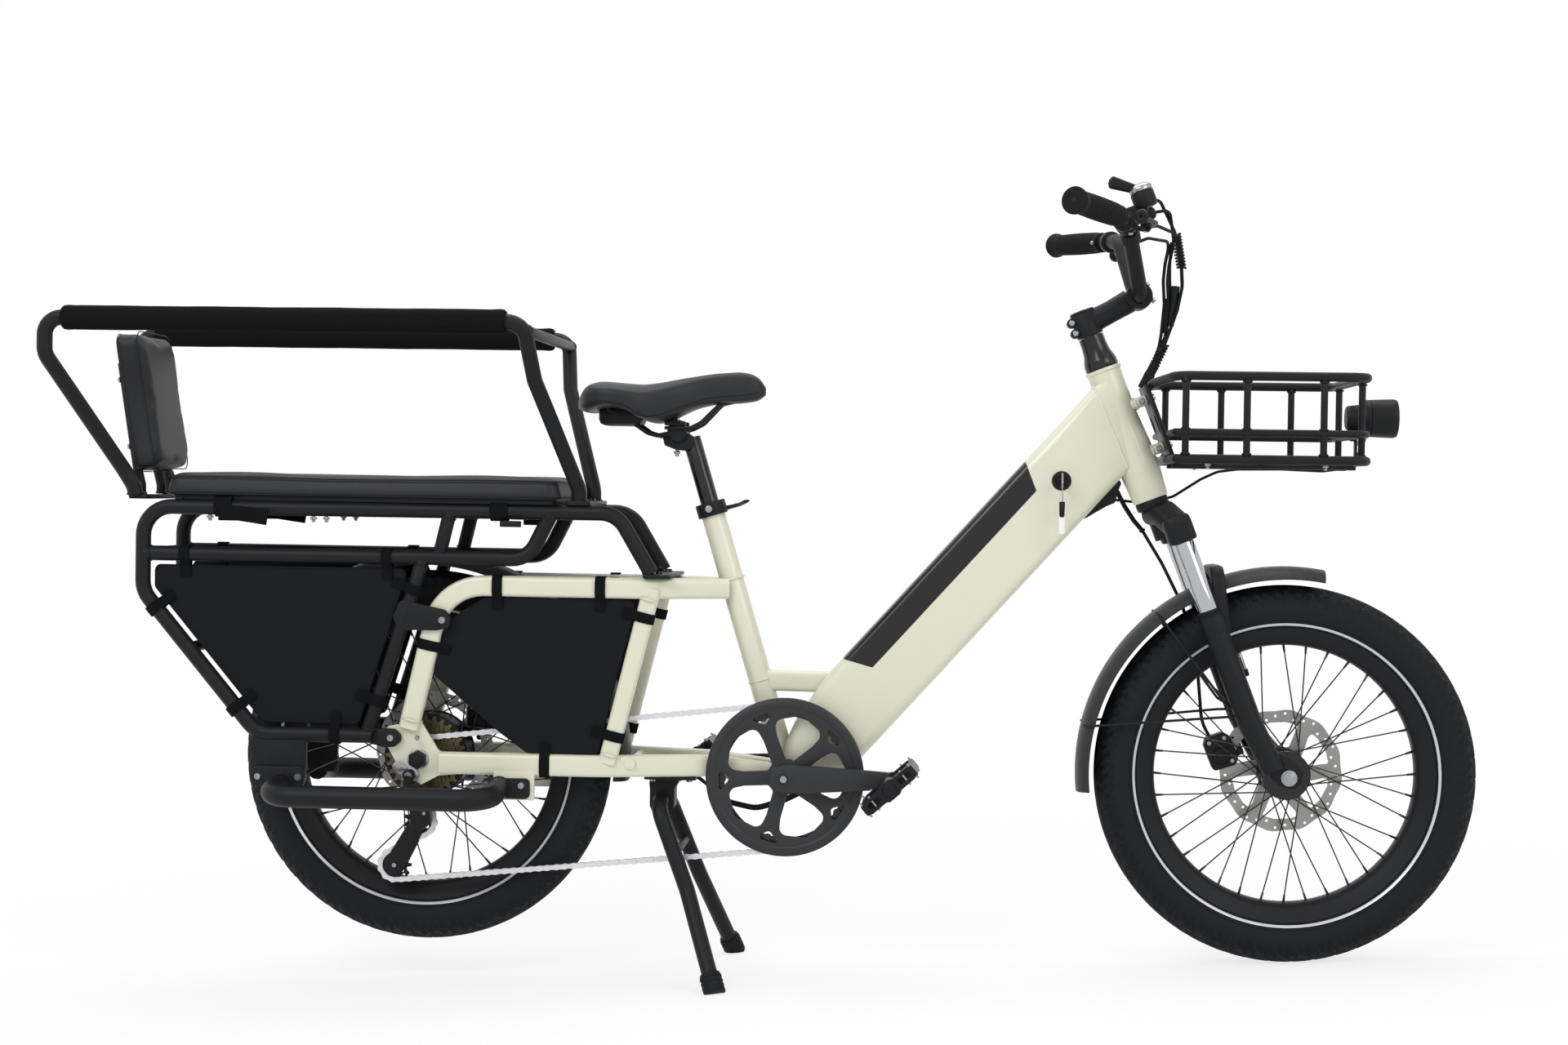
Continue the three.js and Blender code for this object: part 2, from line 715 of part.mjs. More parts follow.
function key() {
  const k = keyShape;
  const face = -downTube.width / 2 - clearance;
  const centre = onDown(lock.along, 0, lock.up);
  const spot = (x, y, z) => at(centre.x + x, face + y, centre.z + z);
  const barrel = rod(spot(0, lock.depth - overrun, 0), spot(0, 0, 0), lock.radius, 12);
  const flange = rod(spot(0, 0, 0), spot(0, -lock.face, 0), lock.faceRadius, 12);
  const stem = box(spot(-k.bow / 2, -k.length, -k.thick / 2), spot(k.bow / 2, 0, k.thick / 2));
  const bow = box(
    spot(-k.bow, -k.length - k.bow, -k.thick / 2),
    spot(k.bow, -k.length + overrun, k.thick / 2),
  );
  const loopBar = box(
    spot(-k.thick / 2, -k.length - k.bow / 2 - k.thick, -k.ring),
    spot(k.thick / 2, -k.length - k.bow / 2, 0),
  );
  const tag = box(
    spot(-k.tagWide / 2, -k.length - k.bow / 2 - k.tagThick, -k.ring - k.tagLong),
    spot(k.tagWide / 2, -k.length - k.bow / 2, -k.ring + overrun),
  );
  piece("key", join(barrel, flange, stem, bow, loopBar, tag), finish.steel, bicycle);
}
key();

// Seat collar, seat post and saddle
const collar = { height: 20, wall: 4.5, lever: 34, leverRadius: 3.5 };
const post = { radius: 13.6, insert: 180, length: 104, headRadius: 15, headHalf: 24, setback: 12 };
function seatCollar() {
  const top = seatTube.length;
  const inner = seatTube.radius + clearance;
  const band = rod(onSeat(top - collar.height), onSeat(top), inner + collar.wall, 12);
  const hole = rod(onSeat(top - collar.height - overrun), onSeat(top + overrun), inner, 12);
  const middle = top - collar.height / 2;
  const pin = onSeat(middle);
  const reach = inner + collar.wall;
  const lever = tube(
    [
      at(pin.x - reach / 2, reach - overrun, pin.z),
      at(pin.x + reach, reach + collar.leverRadius, pin.z + collar.leverRadius),
      at(pin.x + reach + collar.lever / 2, reach / 2, pin.z + 2 * collar.leverRadius),
    ],
    collar.leverRadius,
    collar.lever / 4,
  );
  piece("seat_collar", join(cut(band, hole), lever), finish.black, bicycle);
}
seatCollar();
function seatPost() {
  const top = seatTube.length + post.length;
  const shaft = rod(onSeat(seatTube.length - post.insert), onSeat(top), post.radius);
  const clampAt = onSeat(top);
  const barrel = rod(
    at(clampAt.x - post.setback, -post.headHalf, clampAt.z),
    at(clampAt.x - post.setback, post.headHalf, clampAt.z),
    post.headRadius,
    8,
  );
  piece("seat_post", join(shaft, barrel), finish.black, bicycle);
  return at(clampAt.x - post.setback, 0, clampAt.z + post.headRadius * flatShare + clearance);
}
const clampTop = seatPost();
// Stations of the saddle from its tail to its nose, in shares: place, half width, top and underside
const saddleShape = { tail: -142, nose: 122, half: 98, tailHigh: 58, underShare: 0.8 };
const saddleShares = [
  [0, 0.35, 0.86, 0.62],
  [0.04, 0.72, 0.96, 0.42],
  [0.16, 0.98, 1, 0.2],
  [0.32, 0.95, 0.97, 0.25],
  [0.48, 0.62, 0.96, 0.42],
  [0.66, 0.34, 1.04, 0.68],
  [0.84, 0.24, 1.18, 0.86],
  [0.96, 0.2, 1.2, 1],
  [1, 0.12, 1.1, 1.02],
];
function saddle() {
  const s = saddleShape;
  const rings = saddleShares.map(([alongShare, halfShare, topShare, lowShare]) => {
    const x = clampTop.x + s.tail + (s.nose - s.tail) * alongShare;
    const top = clampTop.z + s.tailHigh * topShare;
    const low = clampTop.z + s.tailHigh * lowShare * s.underShare;
    return Array.from({ length: 12 }, (item, i) => {
      const a = radians(i * 30 + 15);
      const wide = Math.sign(Math.cos(a)) * Math.abs(Math.cos(a)) ** 0.6;
      const tall = Math.sign(Math.sin(a)) * Math.abs(Math.sin(a)) ** 0.7;
      return at(x, s.half * halfShare * wide, (top + low) / 2 + ((top - low) / 2) * tall);
    });
  });
  const cushion = loft(rings);
  const rails = bothSides.map(([, sign]) =>
    wire(
      [
        at(clampTop.x + s.tail * 0.6, sign * s.half * 0.3, clampTop.z + s.tailHigh * 0.6),
        at(clampTop.x + s.tail * 0.3, sign * railsPlace.half, clampTop.z + railsPlace.radius),
        at(clampTop.x + s.nose * 0.2, sign * railsPlace.half, clampTop.z + railsPlace.radius),
        at(clampTop.x + s.nose * 0.75, sign * railsPlace.radius * 2, clampTop.z + s.tailHigh * 0.8),
      ],
      railsPlace.radius,
      railsPlace.bend,
    ),
  );
  const toolBox = box(
    at(clampTop.x + s.tail * 0.84, -s.half * 0.4, clampTop.z + s.tailHigh * 0.12),
    at(clampTop.x + s.tail * 0.44, s.half * 0.4, clampTop.z + s.tailHigh * 0.6),
  );
  const clamp = box(
    at(clampTop.x - post.headRadius, -railsPlace.half, clampTop.z),
    at(clampTop.x + post.headRadius, railsPlace.half, clampTop.z + 2 * railsPlace.radius),
  );
  piece("saddle", join(cushion, ...rails, toolBox, clamp), finish.padding, bicycle);
}
const railsPlace = { half: 22, radius: 4, bend: 30 };
saddle();

// Cranks, chain and derailleur
const crank = {
  length: 155,
  spindle: 8.5,
  arm: 13,
  armFrom: 70,
  bossRadius: 19,
  eyeRadius: 12.5,
  tip: 181,
};
const guard = { radius: 115, thick: 4, from: -54.5, hub: 30, windows: 5, inner: 40, outer: 90 };
const pedalShape = {
  from: 97,
  to: 186,
  length: 92,
  thick: 20,
  barrel: 10,
  spindle: 5,
  border: 11,
  tilt: 41.5,
};
function polar(radius, angle, centre = [0, 0]) {
  return [centre[0] + radius * Math.cos(angle), centre[1] + radius * Math.sin(angle)];
}
const circle = (radius, count, centre = [0, 0]) =>
  Array.from({ length: count }, (item, i) => polar(radius, (2 * Math.PI * i) / count, centre));
function arm(sign, forward) {
  const c = crank;
  const from = sign * c.armFrom;
  const to = sign * (c.armFrom + c.arm);
  const outline = [
    [-c.bossRadius * 0.7, c.bossRadius * 0.7],
    [-c.bossRadius, 0],
    [-c.bossRadius * 0.7, -c.bossRadius * 0.7],
    [0, -c.bossRadius],
    [c.length, -c.eyeRadius],
    [c.length + c.eyeRadius * 0.8, -c.eyeRadius * 0.6],
    [c.length + c.eyeRadius, 0],
    [c.length + c.eyeRadius * 0.8, c.eyeRadius * 0.6],
    [c.length, c.eyeRadius],
    [0, c.bossRadius],
  ];
  const bar = plate(outline.map(([x, z]) => [forward * x, z]), from, to);
  const pin = rod(
    at(forward * c.length, from, 0),
    at(forward * c.length, sign * c.tip, 0),
    pedalShape.spindle,
    8,
  );
  return join(bar, pin);
}
function crankset() {
  const c = crank;
  const group = new THREE.Group();
  group.position.copy(bracket);
  bicycle.add(group);
  const windows = [];
  for (let i = 0; i < guard.windows; i += 1) {
    const middle = (2 * Math.PI * (i + 0.25)) / guard.windows;
    const span = Math.PI / guard.windows;
    const corner = (radius, share) => polar(radius, middle + span * share);
    windows.push([
      corner(guard.inner, -0.3),
      corner(guard.outer * 0.72, -0.74),
      corner(guard.outer * 0.92, -0.7),
      corner(guard.outer, -0.3),
      corner(guard.outer, 0.3),
      corner(guard.outer * 0.92, 0.7),
      corner(guard.outer * 0.72, 0.74),
      corner(guard.inner, 0.3),
    ]);
  }
  const cover = plate(circle(guard.radius, 28), guard.from, guard.from - guard.thick, windows);
  const ringOuter = pitchRadius(teeth.ring) - rideHeight;
  const ringHalf = chainSize.width / 4;
  const ring = plate(
    circle(ringOuter, 28),
    chainLine - ringHalf,
    chainLine + ringHalf,
    [circle(guard.outer * 0.98, 14)],
  );
  const studs = Array.from({ length: guard.windows }, (item, i) => {
    const [x, z] = polar(guard.outer + overrun, (2 * Math.PI * (i + 0.75)) / guard.windows);
    return rod(at(x, chainLine - ringHalf + overrun / 2, z), at(x, guard.from - overrun, z), studRadius, 6);
  });
  const hub = rod(at(0, guard.from, 0), at(0, -c.armFrom - overrun, 0), guard.hub * 0.75, 12);
  const spindle = rod(at(0, -c.armFrom, 0), at(0, c.armFrom + c.arm, 0), c.spindle, 8);
  piece("crankset_right", join(cover, ring, ...studs, hub, spindle, arm(-1, 1)), finish.black, group);
  const socket = rod(
    at(0, c.armFrom - overrun, 0),
    at(0, c.armFrom + c.arm + overrun, 0),
    c.spindle + clearance,
    8,
  );
  piece("crank_left", cut(arm(1, -1), socket), finish.black, group);
  const cartridge = cut(
    rod(
      at(0, -bracketShell.half - overrun, 0),
      at(0, bracketShell.half + overrun, 0),
      bracketShell.bore - clearance,
    ),
    rod(
      at(0, -bracketShell.half - 2 * overrun, 0),
      at(0, bracketShell.half + 2 * overrun, 0),
      around(c.spindle, 8),
      8,
    ),
  );
  piece("bottom_bracket", cartridge, finish.steel, group);
  const p = pedalShape;
  for (const [name, sign] of bothSides) {
    const forward = -sign;
    const half = p.length / 2;
    const low = Math.min(sign * p.from, sign * p.to);
    const high = Math.max(sign * p.from, sign * p.to);
    const body = box(at(-half, low, -p.thick / 2), at(half, high, p.thick / 2));
    const middle = (low + high) / 2;
    const openings = [-1, 1].flatMap((ahead) =>
      [-1, 1].map((side) => {
        const reach = [ahead * (p.barrel + overrun), ahead * (half - p.border)];
        const across = [middle + (side * p.border) / 2, middle + side * ((high - low) / 2 - p.border)];
        return box(
          at(Math.min(...reach), Math.min(...across), -p.thick),
          at(Math.max(...reach), Math.max(...across), p.thick),
        );
      }),
    );
    const barrel = rod(at(0, sign * p.from, 0), at(0, sign * p.to, 0), p.barrel + overrun, 8);
    const bore = rod(
      at(0, sign * (p.from - overrun), 0),
      at(0, sign * (c.tip + clearance), 0),
      around(p.spindle, 8),
      8,
    );
    const shape = piece("pedal_" + name, cut(join(body, barrel), ...openings, bore), finish.black, group);
    shape.position.set(forward * c.length, 0, 0);
    shape.rotation.y = -radians(p.tilt);
  }
}
const studRadius = 5;
crankset();

const pulleys = { guide: at(-2, chainLine, 180), tension: at(-38, chainLine, 115), bore: 4, thick: 7 };
// The loop of the chain: round each wheel in turn, the way each wheel turns, at a height over the pitch line
function chainOutline(over) {
  const stops = [
    [bracket, pitchRadius(teeth.ring), 1, 22],
    [rearAxle, pitchRadius(teeth.sprocket), 1, 8],
    [pulleys.guide, pitchRadius(teeth.pulley), -1, 6],
    [pulleys.tension, pitchRadius(teeth.pulley), 1, 9],
  ].map(([centre, radius, sense, steps]) => ({ centre, reach: sense * radius + over, sense, steps }));
  const headings = stops.map((stop, i) => {
    const next = stops[(i + 1) % stops.length];
    const dx = next.centre.x - stop.centre.x;
    const dz = next.centre.z - stop.centre.z;
    return Math.atan2(dz, dx) + Math.asin((stop.reach - next.reach) / Math.hypot(dx, dz));
  });
  return stops.flatMap((stop, i) => {
    const arriving = headings[(i + stops.length - 1) % stops.length];
    let turn = headings[i] - arriving;
    while (turn * stop.sense < 0) turn += stop.sense * 2 * Math.PI;
    while (turn * stop.sense > 2 * Math.PI) turn -= stop.sense * 2 * Math.PI;
    return Array.from({ length: stop.steps + 1 }, (item, k) => {
      const heading = arriving + (turn * k) / stop.steps;
      return [
        stop.centre.x + stop.reach * Math.sin(heading),
        stop.centre.z - stop.reach * Math.cos(heading),
      ];
    });
  });
}
function chain() {
  const low = chainLine - chainSize.width / 2;
  const loop = plate(
    chainOutline(chainSize.height / 2),
    low,
    low + chainSize.width,
    [chainOutline(-chainSize.height / 2)],
  );
  piece("chain", loop, finish.silver, bicycle);
}
chain();
const cage = {
  plateThick: 2,
  plateWidth: 22,
  bodyRadius: 18,
  hanger: [-12, 250],
  boltRadius: 7,
  linkOut: 12,
  linkRadius: 9,
};
function derailleur() {
  for (const [name, centre] of [["guide_pulley", pulleys.guide], ["tension_pulley", pulleys.tension]]) {
    const radius = pitchRadius(teeth.pulley) - rideHeight;
    const half = pulleys.thick / 2;
    const wheel = turned(
      [
        [pulleys.bore + clearance, -half],
        [radius, -half],
        [radius, half],
        [pulleys.bore + clearance, half],
        [pulleys.bore + clearance, -half],
      ],
      14,
    );
    const mesh = piece(name, wheel, finish.plastic, bicycle);
    mesh.position.copy(centre);
  }
  const outer = chainLine - chainSize.width / 2 - overrun / 2;
  const plateAt = (y) => {
    const { guide, tension } = pulleys;
    return sweep(
      [guide, tension].map((p) => at(p.x, y, p.z)),
      block(cage.plateThick, cage.plateWidth, cage.plateThick / 3),
    );
  };
  const outerY = outer - cage.plateThick / 2;
  const innerY = 2 * chainLine - outerY;
  const pins = [pulleys.guide, pulleys.tension].map(
    (p) => rod(at(p.x, outerY, p.z), at(p.x, innerY, p.z), pulleys.bore, 8),
  );
  const [hx, hz] = cage.hanger;
  const side = -dropout.outer - clearance;
  const hanger = rod(at(hx, side, hz), at(hx, side - cage.linkOut, hz), cage.boltRadius, 8);
  const link = tube(
    [
      at(hx, side - cage.linkOut, hz),
      at(hx + cage.bodyRadius, side - cage.linkOut, (hz + pulleys.guide.z) / 2),
      at(pulleys.guide.x, side - cage.linkOut, pulleys.guide.z),
      at(pulleys.guide.x, outerY, pulleys.guide.z),
    ],
    cage.linkRadius,
    cage.bodyRadius / 2,
  );
  piece(
    "derailleur",
    join(plateAt(outerY), plateAt(innerY), ...pins, hanger, link),
    finish.plastic,
    bicycle,
  );
}
derailleur();

// Centre stand
const stand = {
  pivotX: 350,
  pivotZ: 217,
  blockHalf: 18,
  axle: 8,
  leg: 11.5,
  foot: 16,
  footLong: 30,
  bend: 22,
};
const standPath = {
  topHalf: 66,
  topDrop: 12,
  kneeX: 396,
  kneeHalf: 82,
  kneeZ: 94,
  footX: 446,
  footHalf: 160,
};
const ground = (x) => {
  const t = radians(stanceTilt);
  return tyreRadius - tyreRadius / Math.cos(t) - (wheelbase - x) * Math.tan(t);
};
function centreStand() {
  const s = stand;
  const topZ = rearAxle.z - 2 * overrun - stay.height / 2 - clearance;
  const top = box(
    at(standPlate.from, -standPlate.half, topZ - standPlate.thick),
    at(standPlate.to, standPlate.half, topZ),
  );
  const drop = box(
    at(s.pivotX - s.blockHalf, -s.blockHalf, s.pivotZ - s.blockHalf),
    at(s.pivotX + s.blockHalf, s.blockHalf, topZ),
  );
  const pivotHole = rod(
    at(s.pivotX, -s.blockHalf - overrun, s.pivotZ),
    at(s.pivotX, s.blockHalf + overrun, s.pivotZ),
    around(s.axle),
  );
  piece("stand_bracket", cut(join(top, drop), pivotHole), finish.black, bicycle);
  const p = standPath;
  const shaft = rod(
    at(s.pivotX, -p.topHalf / 2, s.pivotZ),
    at(s.pivotX, p.topHalf / 2, s.pivotZ),
    s.axle,
    10,
  );
  const legs = bothSides.flatMap(([, sign]) => {
    const knee = at(p.kneeX, sign * p.kneeHalf, p.kneeZ);
    const sole = ground(p.footX);
    const end = at(p.footX, sign * p.footHalf, sole);
    const path = [
      at(s.pivotX, sign * (s.blockHalf + s.leg + overrun), s.pivotZ),
      at(s.pivotX + overrun, sign * p.topHalf, s.pivotZ - p.topDrop),
      knee,
      end,
    ];
    const back = knee.clone().sub(end).normalize();
    const footTop = end.clone().addScaledVector(back, s.footLong);
    const shoe = rod(end, footTop, s.foot, 10);
    return [tube(path, s.leg, s.bend, at(1, 0, 0)), shoe];
  });
  const floorLow = at(p.footX - p.footHalf, -2 * p.footHalf, ground(p.footX) - p.footHalf);
  const floor = box(floorLow, at(p.footX + p.footHalf, 2 * p.footHalf, ground(p.footX)));
  const aim = at(p.footX, 0, ground(p.footX));
  floor.translate(-aim.x, -aim.y, -aim.z).rotateY(-radians(stanceTilt)).translate(aim.x, aim.y, aim.z);
  piece("stand_legs", cut(join(shaft, ...legs), floor), finish.black, bicycle);
}
const standPlate = { from: 326, to: 402, half: 46, thick: 5 };
centreStand();

// Cargo rack
const rack = {
  radius: 11,
  topZ: 635,
  frontReach: 286,
  frontHalf: 78,
  rearReach: -406,
  rearHalf: 92,
  bend: 32,
};
const rackLow = {
  secondDrop: 68,
  secondReach: 158,
  bottomZ: 307,
  cornerReach: -235,
  kneeZ: 512,
  endReach: -66,
};
const secondZ = rack.topZ - rackLow.secondDrop;
const rackFoot = { reach: 337, z: 549, behind: 11, ahead: 29, half: 90, thick: 10 };
const cross = { radius: 8, reaches: [-372, -150, 70, 236] };
const hangPlate = { from: -239, to: -162, low: 233, inner: 88, outer: 95 };
const rackHalf = (x) => {
  const share = (x - rack.frontReach) / (rack.rearReach - rack.frontReach);
  return rack.frontHalf + (rack.rearHalf - rack.frontHalf) * Math.min(Math.max(share, 0), 1);
};
const onRack = (x, sign, z) => at(x, sign * rackHalf(x), z);
const thinBar = rack.radius - overrun / 2;
function cargoRack() {
  const parts = bothSides.flatMap(([, sign]) => {
    const r = rackLow;
    const outer = tube(
      [
        onRack(rackFoot.reach, sign, rackFoot.z),
        onRack(rack.frontReach, sign, rack.topZ),
        onRack(rack.rearReach, sign, rack.topZ),
        onRack(rack.rearReach, sign, r.kneeZ),
        onRack(r.cornerReach, sign, r.bottomZ),
        onRack(r.endReach, sign, r.bottomZ),
      ],
      rack.radius,
      rack.bend,
    );
    const second = tube(
      [
        onRack(rack.rearReach, sign, secondZ),
        onRack(r.secondReach, sign, secondZ),
        onRack(r.secondReach + rack.bend, sign, rack.topZ),
      ],
      rack.radius,
      rack.bend,
    );
    const link = wire(
      [onRack(rackLink.foot, sign, secondZ), onRack(rackLink.head, sign, rack.topZ)],
      thinBar,
    );
    const diagonal = wire(
      [onRack(rackLink.diagonalTop, sign, secondZ), onRack(rackLink.diagonalFoot, sign, r.bottomZ)],
      thinBar,
    );
    const [lowX, lowZ] = lugPlace.low;
    const [highX, highZ] = lugPlace.high;
    const lugIn = sign * (rail.half + rail.width / 2 + clearance);
    const lugOut = sign * (rail.half + rail.width / 2 + lugThick);
    const highLug = plate(
      [
        [rackLink.lugReach, highZ + 2 * lugPlace.radius],
        [rackLink.lugReach - lugPlace.radius / 2, highZ],
        [highX, highZ - lugPlace.radius],
        [highX + lugPlace.radius, highZ],
        [highX, highZ + lugPlace.radius],
      ],
      lugIn,
      lugOut,
    );
    const lowLug = plate(
      [
        [r.endReach - lugPlace.radius, lowZ - rack.radius / 2],
        [lowX, lowZ - lugPlace.radius],
        [lowX + lugPlace.radius, lowZ],
        [lowX, lowZ + lugPlace.radius],
        [r.endReach - lugPlace.radius, lowZ + rack.radius / 2],
      ],
      sign * (dropout.outer + clearance),
      sign * rackHalf(lowX),
    );
    const hang = box(
      at(hangPlate.from, Math.min(sign * hangPlate.inner, sign * hangPlate.outer), hangPlate.low),
      at(hangPlate.to, Math.max(sign * hangPlate.inner, sign * hangPlate.outer), r.bottomZ),
    );
    return [outer, second, link, diagonal, highLug, lowLug, hang];
  });
  const crossing = (x, z) => rod(onRack(x, -1, z), onRack(x, 1, z), cross.radius, 6);
  const bars = cross.reaches.map((x) => crossing(x, rack.topZ));
  const base = box(
    at(rackFoot.reach - rackFoot.behind, -rackFoot.half, rail.z + rail.height / 2 + clearance),
    at(rackFoot.reach + rackFoot.ahead, rackFoot.half, rail.z + rail.height / 2 + rackFoot.thick),
  );
  const rear = crossing(rack.rearReach, secondZ);
  const share = 0.4;
  const slantX = rack.rearReach + (rackLow.cornerReach - rack.rearReach) * share;
  const slantZ = rackLow.kneeZ + (rackLow.bottomZ - rackLow.kneeZ) * share;
  piece("cargo_rack", join(...parts, ...bars, base, rear, crossing(slantX, slantZ)), finish.black, bicycle);
}
const rackLink = { foot: 28, head: 44, diagonalTop: 6, diagonalFoot: -74, lugReach: -26 };
const lugThick = 7;
cargoRack();

// Footrests
const rest = { radius: 16, z: 228, half: 178, rear: -196, front: 122, bend: 34, plate: 6, plateHigh: 30 };
function footrests() {
  for (const [name, sign] of bothSides) {
    const rearFace = hangPlate.outer + clearance;
    const frontFace = footTab.outer + clearance;
    const loop = tube(
      [
        at(rest.rear, sign * (rearFace + overrun), rest.z + rest.radius / 2),
        at(rest.rear, sign * rest.half, rest.z),
        at(rest.front, sign * rest.half, rest.z),
        at(rest.front, sign * (frontFace + overrun), rest.z + rest.radius / 2),
      ],
      rest.radius,
      rest.bend,
      at(0, 0, 1),
    );
    const foot = (from, to, face, low) =>
      box(
        at(from, Math.min(sign * face, sign * (face + rest.plate)), low),
        at(to, Math.max(sign * face, sign * (face + rest.plate)), low + rest.plateHigh),
      );
    const rearPlate = foot(hangPlate.from, hangPlate.to, rearFace, hangPlate.low - overrun);
    const frontPlate = foot(
      footTab.from - rest.plateHigh / 2,
      footTab.to - rest.plate,
      frontFace,
      footTab.low + overrun,
    );
    piece("footrest_" + name, join(loop, rearPlate, frontPlate), finish.black, bicycle);
  }
}
footrests();

// Hand rail with its foam sleeves
const hand = {
  radius: 11,
  lift: 255.5,
  half: 203,
  rear: -514,
  hookLift: 204.5,
  front: 168,
  bend: 26,
  kneeX: 178,
  kneeHalf: 160,
  kneeLift: 176,
};
const handFoot = {
  rearX: -420,
  rearHalf: 84,
  frontX: 230,
  frontHalf: 72,
  plate: 6.5,
  plateWide: 36,
  padHalf: 88,
};
const foam = { radius: 17.5, from: -487, to: 144 };
const rackTop = rack.topZ + rack.radius * flatShare + clearance;
const handZ = rackTop + hand.lift;
const hookZ = rackTop + hand.hookLift;
function handRail() {
  const sidesMade = bothSides.map(([, sign]) =>
    tube(
      [
        at(handFoot.rearX, sign * handFoot.rearHalf, rackTop + hand.radius),
        at(handFoot.rearX - hand.radius, sign * handFoot.rearHalf, rackTop + 3 * hand.radius),
        at(hand.rear, sign * hand.half, hookZ),
        at(hand.rear, sign * hand.half, handZ),
        at(hand.front, sign * hand.half, handZ),
        at(hand.kneeX, sign * hand.kneeHalf, rackTop + hand.kneeLift),
        at(handFoot.frontX, sign * handFoot.frontHalf, rackTop + 2 * hand.radius),
        at(handFoot.frontX, sign * handFoot.frontHalf, rackTop + overrun),
      ],
      hand.radius,
      hand.bend,
    ),
  );
  const bar = tube(
    [
      at(hand.front + barDrop.ahead, -hand.half + barDrop.inward, handZ - barDrop.down),
      at(hand.front + barDrop.ahead, hand.half - barDrop.inward, handZ - barDrop.down),
    ],
    barDrop.radius,
    0,
    at(0, 0, 1),
  );
  const pad = (x, wide) =>
    box(
      at(x - wide / 2, -handFoot.padHalf, rackTop),
      at(x + wide / 2, handFoot.padHalf, rackTop + handFoot.plate),
    );
  const whole = join(
    ...sidesMade,
    bar,
    pad(handFoot.frontX, handFoot.plateWide),
    pad(handFoot.rearX, handFoot.plateWide),
  );
  piece("hand_rail", whole, finish.black, bicycle);
  for (const [name, sign] of bothSides) {
    const lineAt = (x, r) => at(x, sign * hand.half, handZ);
    const sleeve = cut(
      rod(lineAt(foam.from), lineAt(foam.to), foam.radius, 12),
      rod(lineAt(foam.from - overrun), lineAt(foam.to + overrun), around(hand.radius)),
    );
    piece("rail_foam_" + name, sleeve, finish.foam, bicycle);
  }
}
const barDrop = { ahead: 2, inward: 6, down: 12, radius: 8 };
handRail();

// Seat pad and backrest pad: crowned cushions whose sides draw in between their corners
const seatPad = {
  from: -366,
  to: 207,
  half: 100,
  lift: 8.5,
  thick: 29,
  crown: 5,
  draw: 4,
  corner: 12,
  inset: 9,
};
const backPad = {
  reach: -424,
  half: 78,
  lift: 42.5,
  tall: 197,
  thick: 31,
  lean: 9,
  crown: 6,
  draw: 4,
  corner: 12,
};
// Shares of a corner's cut and of the drawing in that the middle of a side loses
const cornerPull = 0.3;
const middlePull = 0.5;
function cushion(size, crown, draw, corner, steps) {
  const form = new THREE.BoxGeometry(size.x, size.y, size.z, ...steps);
  const spots = form.getAttribute("position");
  for (let i = 0; i < spots.count; i += 1) {
    const share = [
      spots.getX(i) / size.x,
      spots.getY(i) / size.y,
      spots.getZ(i) / size.z,
    ].map((s) => 2 * s);
    const [a, b, c] = share;
    const dome = (1 - a * a) * (1 - b * b);
    const pull = 1 - c * c;
    const atSideX = Math.abs(a) > 0.999 ? 1 : 0;
    const atSideY = Math.abs(b) > 0.999 ? 1 : 0;
    const cornerIn = atSideX * atSideY * corner * cornerPull;
    const drawn = draw * (1 - pull * middlePull);
    const x = spots.getX(i) - Math.sign(a) * (atSideX * drawn * (1 - b * b) + cornerIn);
    const y = spots.getY(i) - Math.sign(b) * (atSideY * drawn * (1 - a * a) + cornerIn);
    const raised = c > 0 ? crown * dome * c : 0;
    const lowered = c > 0.999 && atSideX + atSideY > 0 ? draw / 2 : 0;
    const z = spots.getZ(i) + raised - lowered;
    spots.setXYZ(i, x, y, z);
  }
  return form;
}
function pads() {
  const s = seatPad;
  const low = rackTop + s.lift;
  const seatForm = cushion(at(s.to - s.from, 2 * s.half, s.thick), s.crown, s.draw, s.corner, [10, 4, 2]);
  seatForm.translate((s.from + s.to) / 2, 0, low + s.thick / 2);
  const board = box(
    at(s.from + s.inset, s.inset - s.half, rackTop),
    at(s.to - s.inset, s.half - s.inset, low + overrun),
  );
  piece("seat_pad", join(seatForm, board), finish.padding, bicycle);
  const b = backPad;
  const backLow = rackTop + b.lift;
  const backMiddle = backLow + b.tall / 2;
  const backTop = backLow + b.tall - backBar.short;
  const backForm = cushion(at(b.tall, 2 * b.half, b.thick), b.crown, b.draw, b.corner, [6, 6, 2]);
  backForm.rotateY(-Math.PI / 2).rotateX(Math.PI).rotateZ(Math.PI);
  backForm.rotateY(-radians(b.lean)).translate(b.reach, 0, backMiddle);
  piece("backrest_pad", backForm, finish.padding, bicycle);
  const behind = (b.thick / 2 + clearance + backBar.radius) / Math.cos(radians(b.lean));
  const back = (up) => b.reach - behind - (up - backMiddle) * Math.tan(radians(b.lean));
  const uprights = bothSides.map(([, sign]) =>
    tube(
      [
        at(back(backTop), sign * backBar.half, backTop),
        at(back(backLow), sign * backBar.half, backLow),
        at(backBar.footX, sign * backBar.half, rackTop + handFoot.plate + backBar.radius * 2),
        at(backBar.footX, sign * backBar.half, rackTop + handFoot.plate + clearance),
      ],
      backBar.radius,
      backBar.bend,
    ),
  );
  const tie = rod(
    at(back(backLow + backBar.short), -backBar.half, backLow + backBar.short),
    at(back(backLow + backBar.short), backBar.half, backLow + backBar.short),
    backBar.radius,
    8,
  );
  piece("backrest_bracket", join(...uprights, tie), finish.black, bicycle);
}
const backBar = { radius: 7, half: 45, short: 40, footX: -426, bend: 16 };
pads();

// Side panels, tied to the tubes around them by straps
const panelThick = 3;
const strap = { wide: 15, thick: 1.6, long: 40, root: 3.2 };
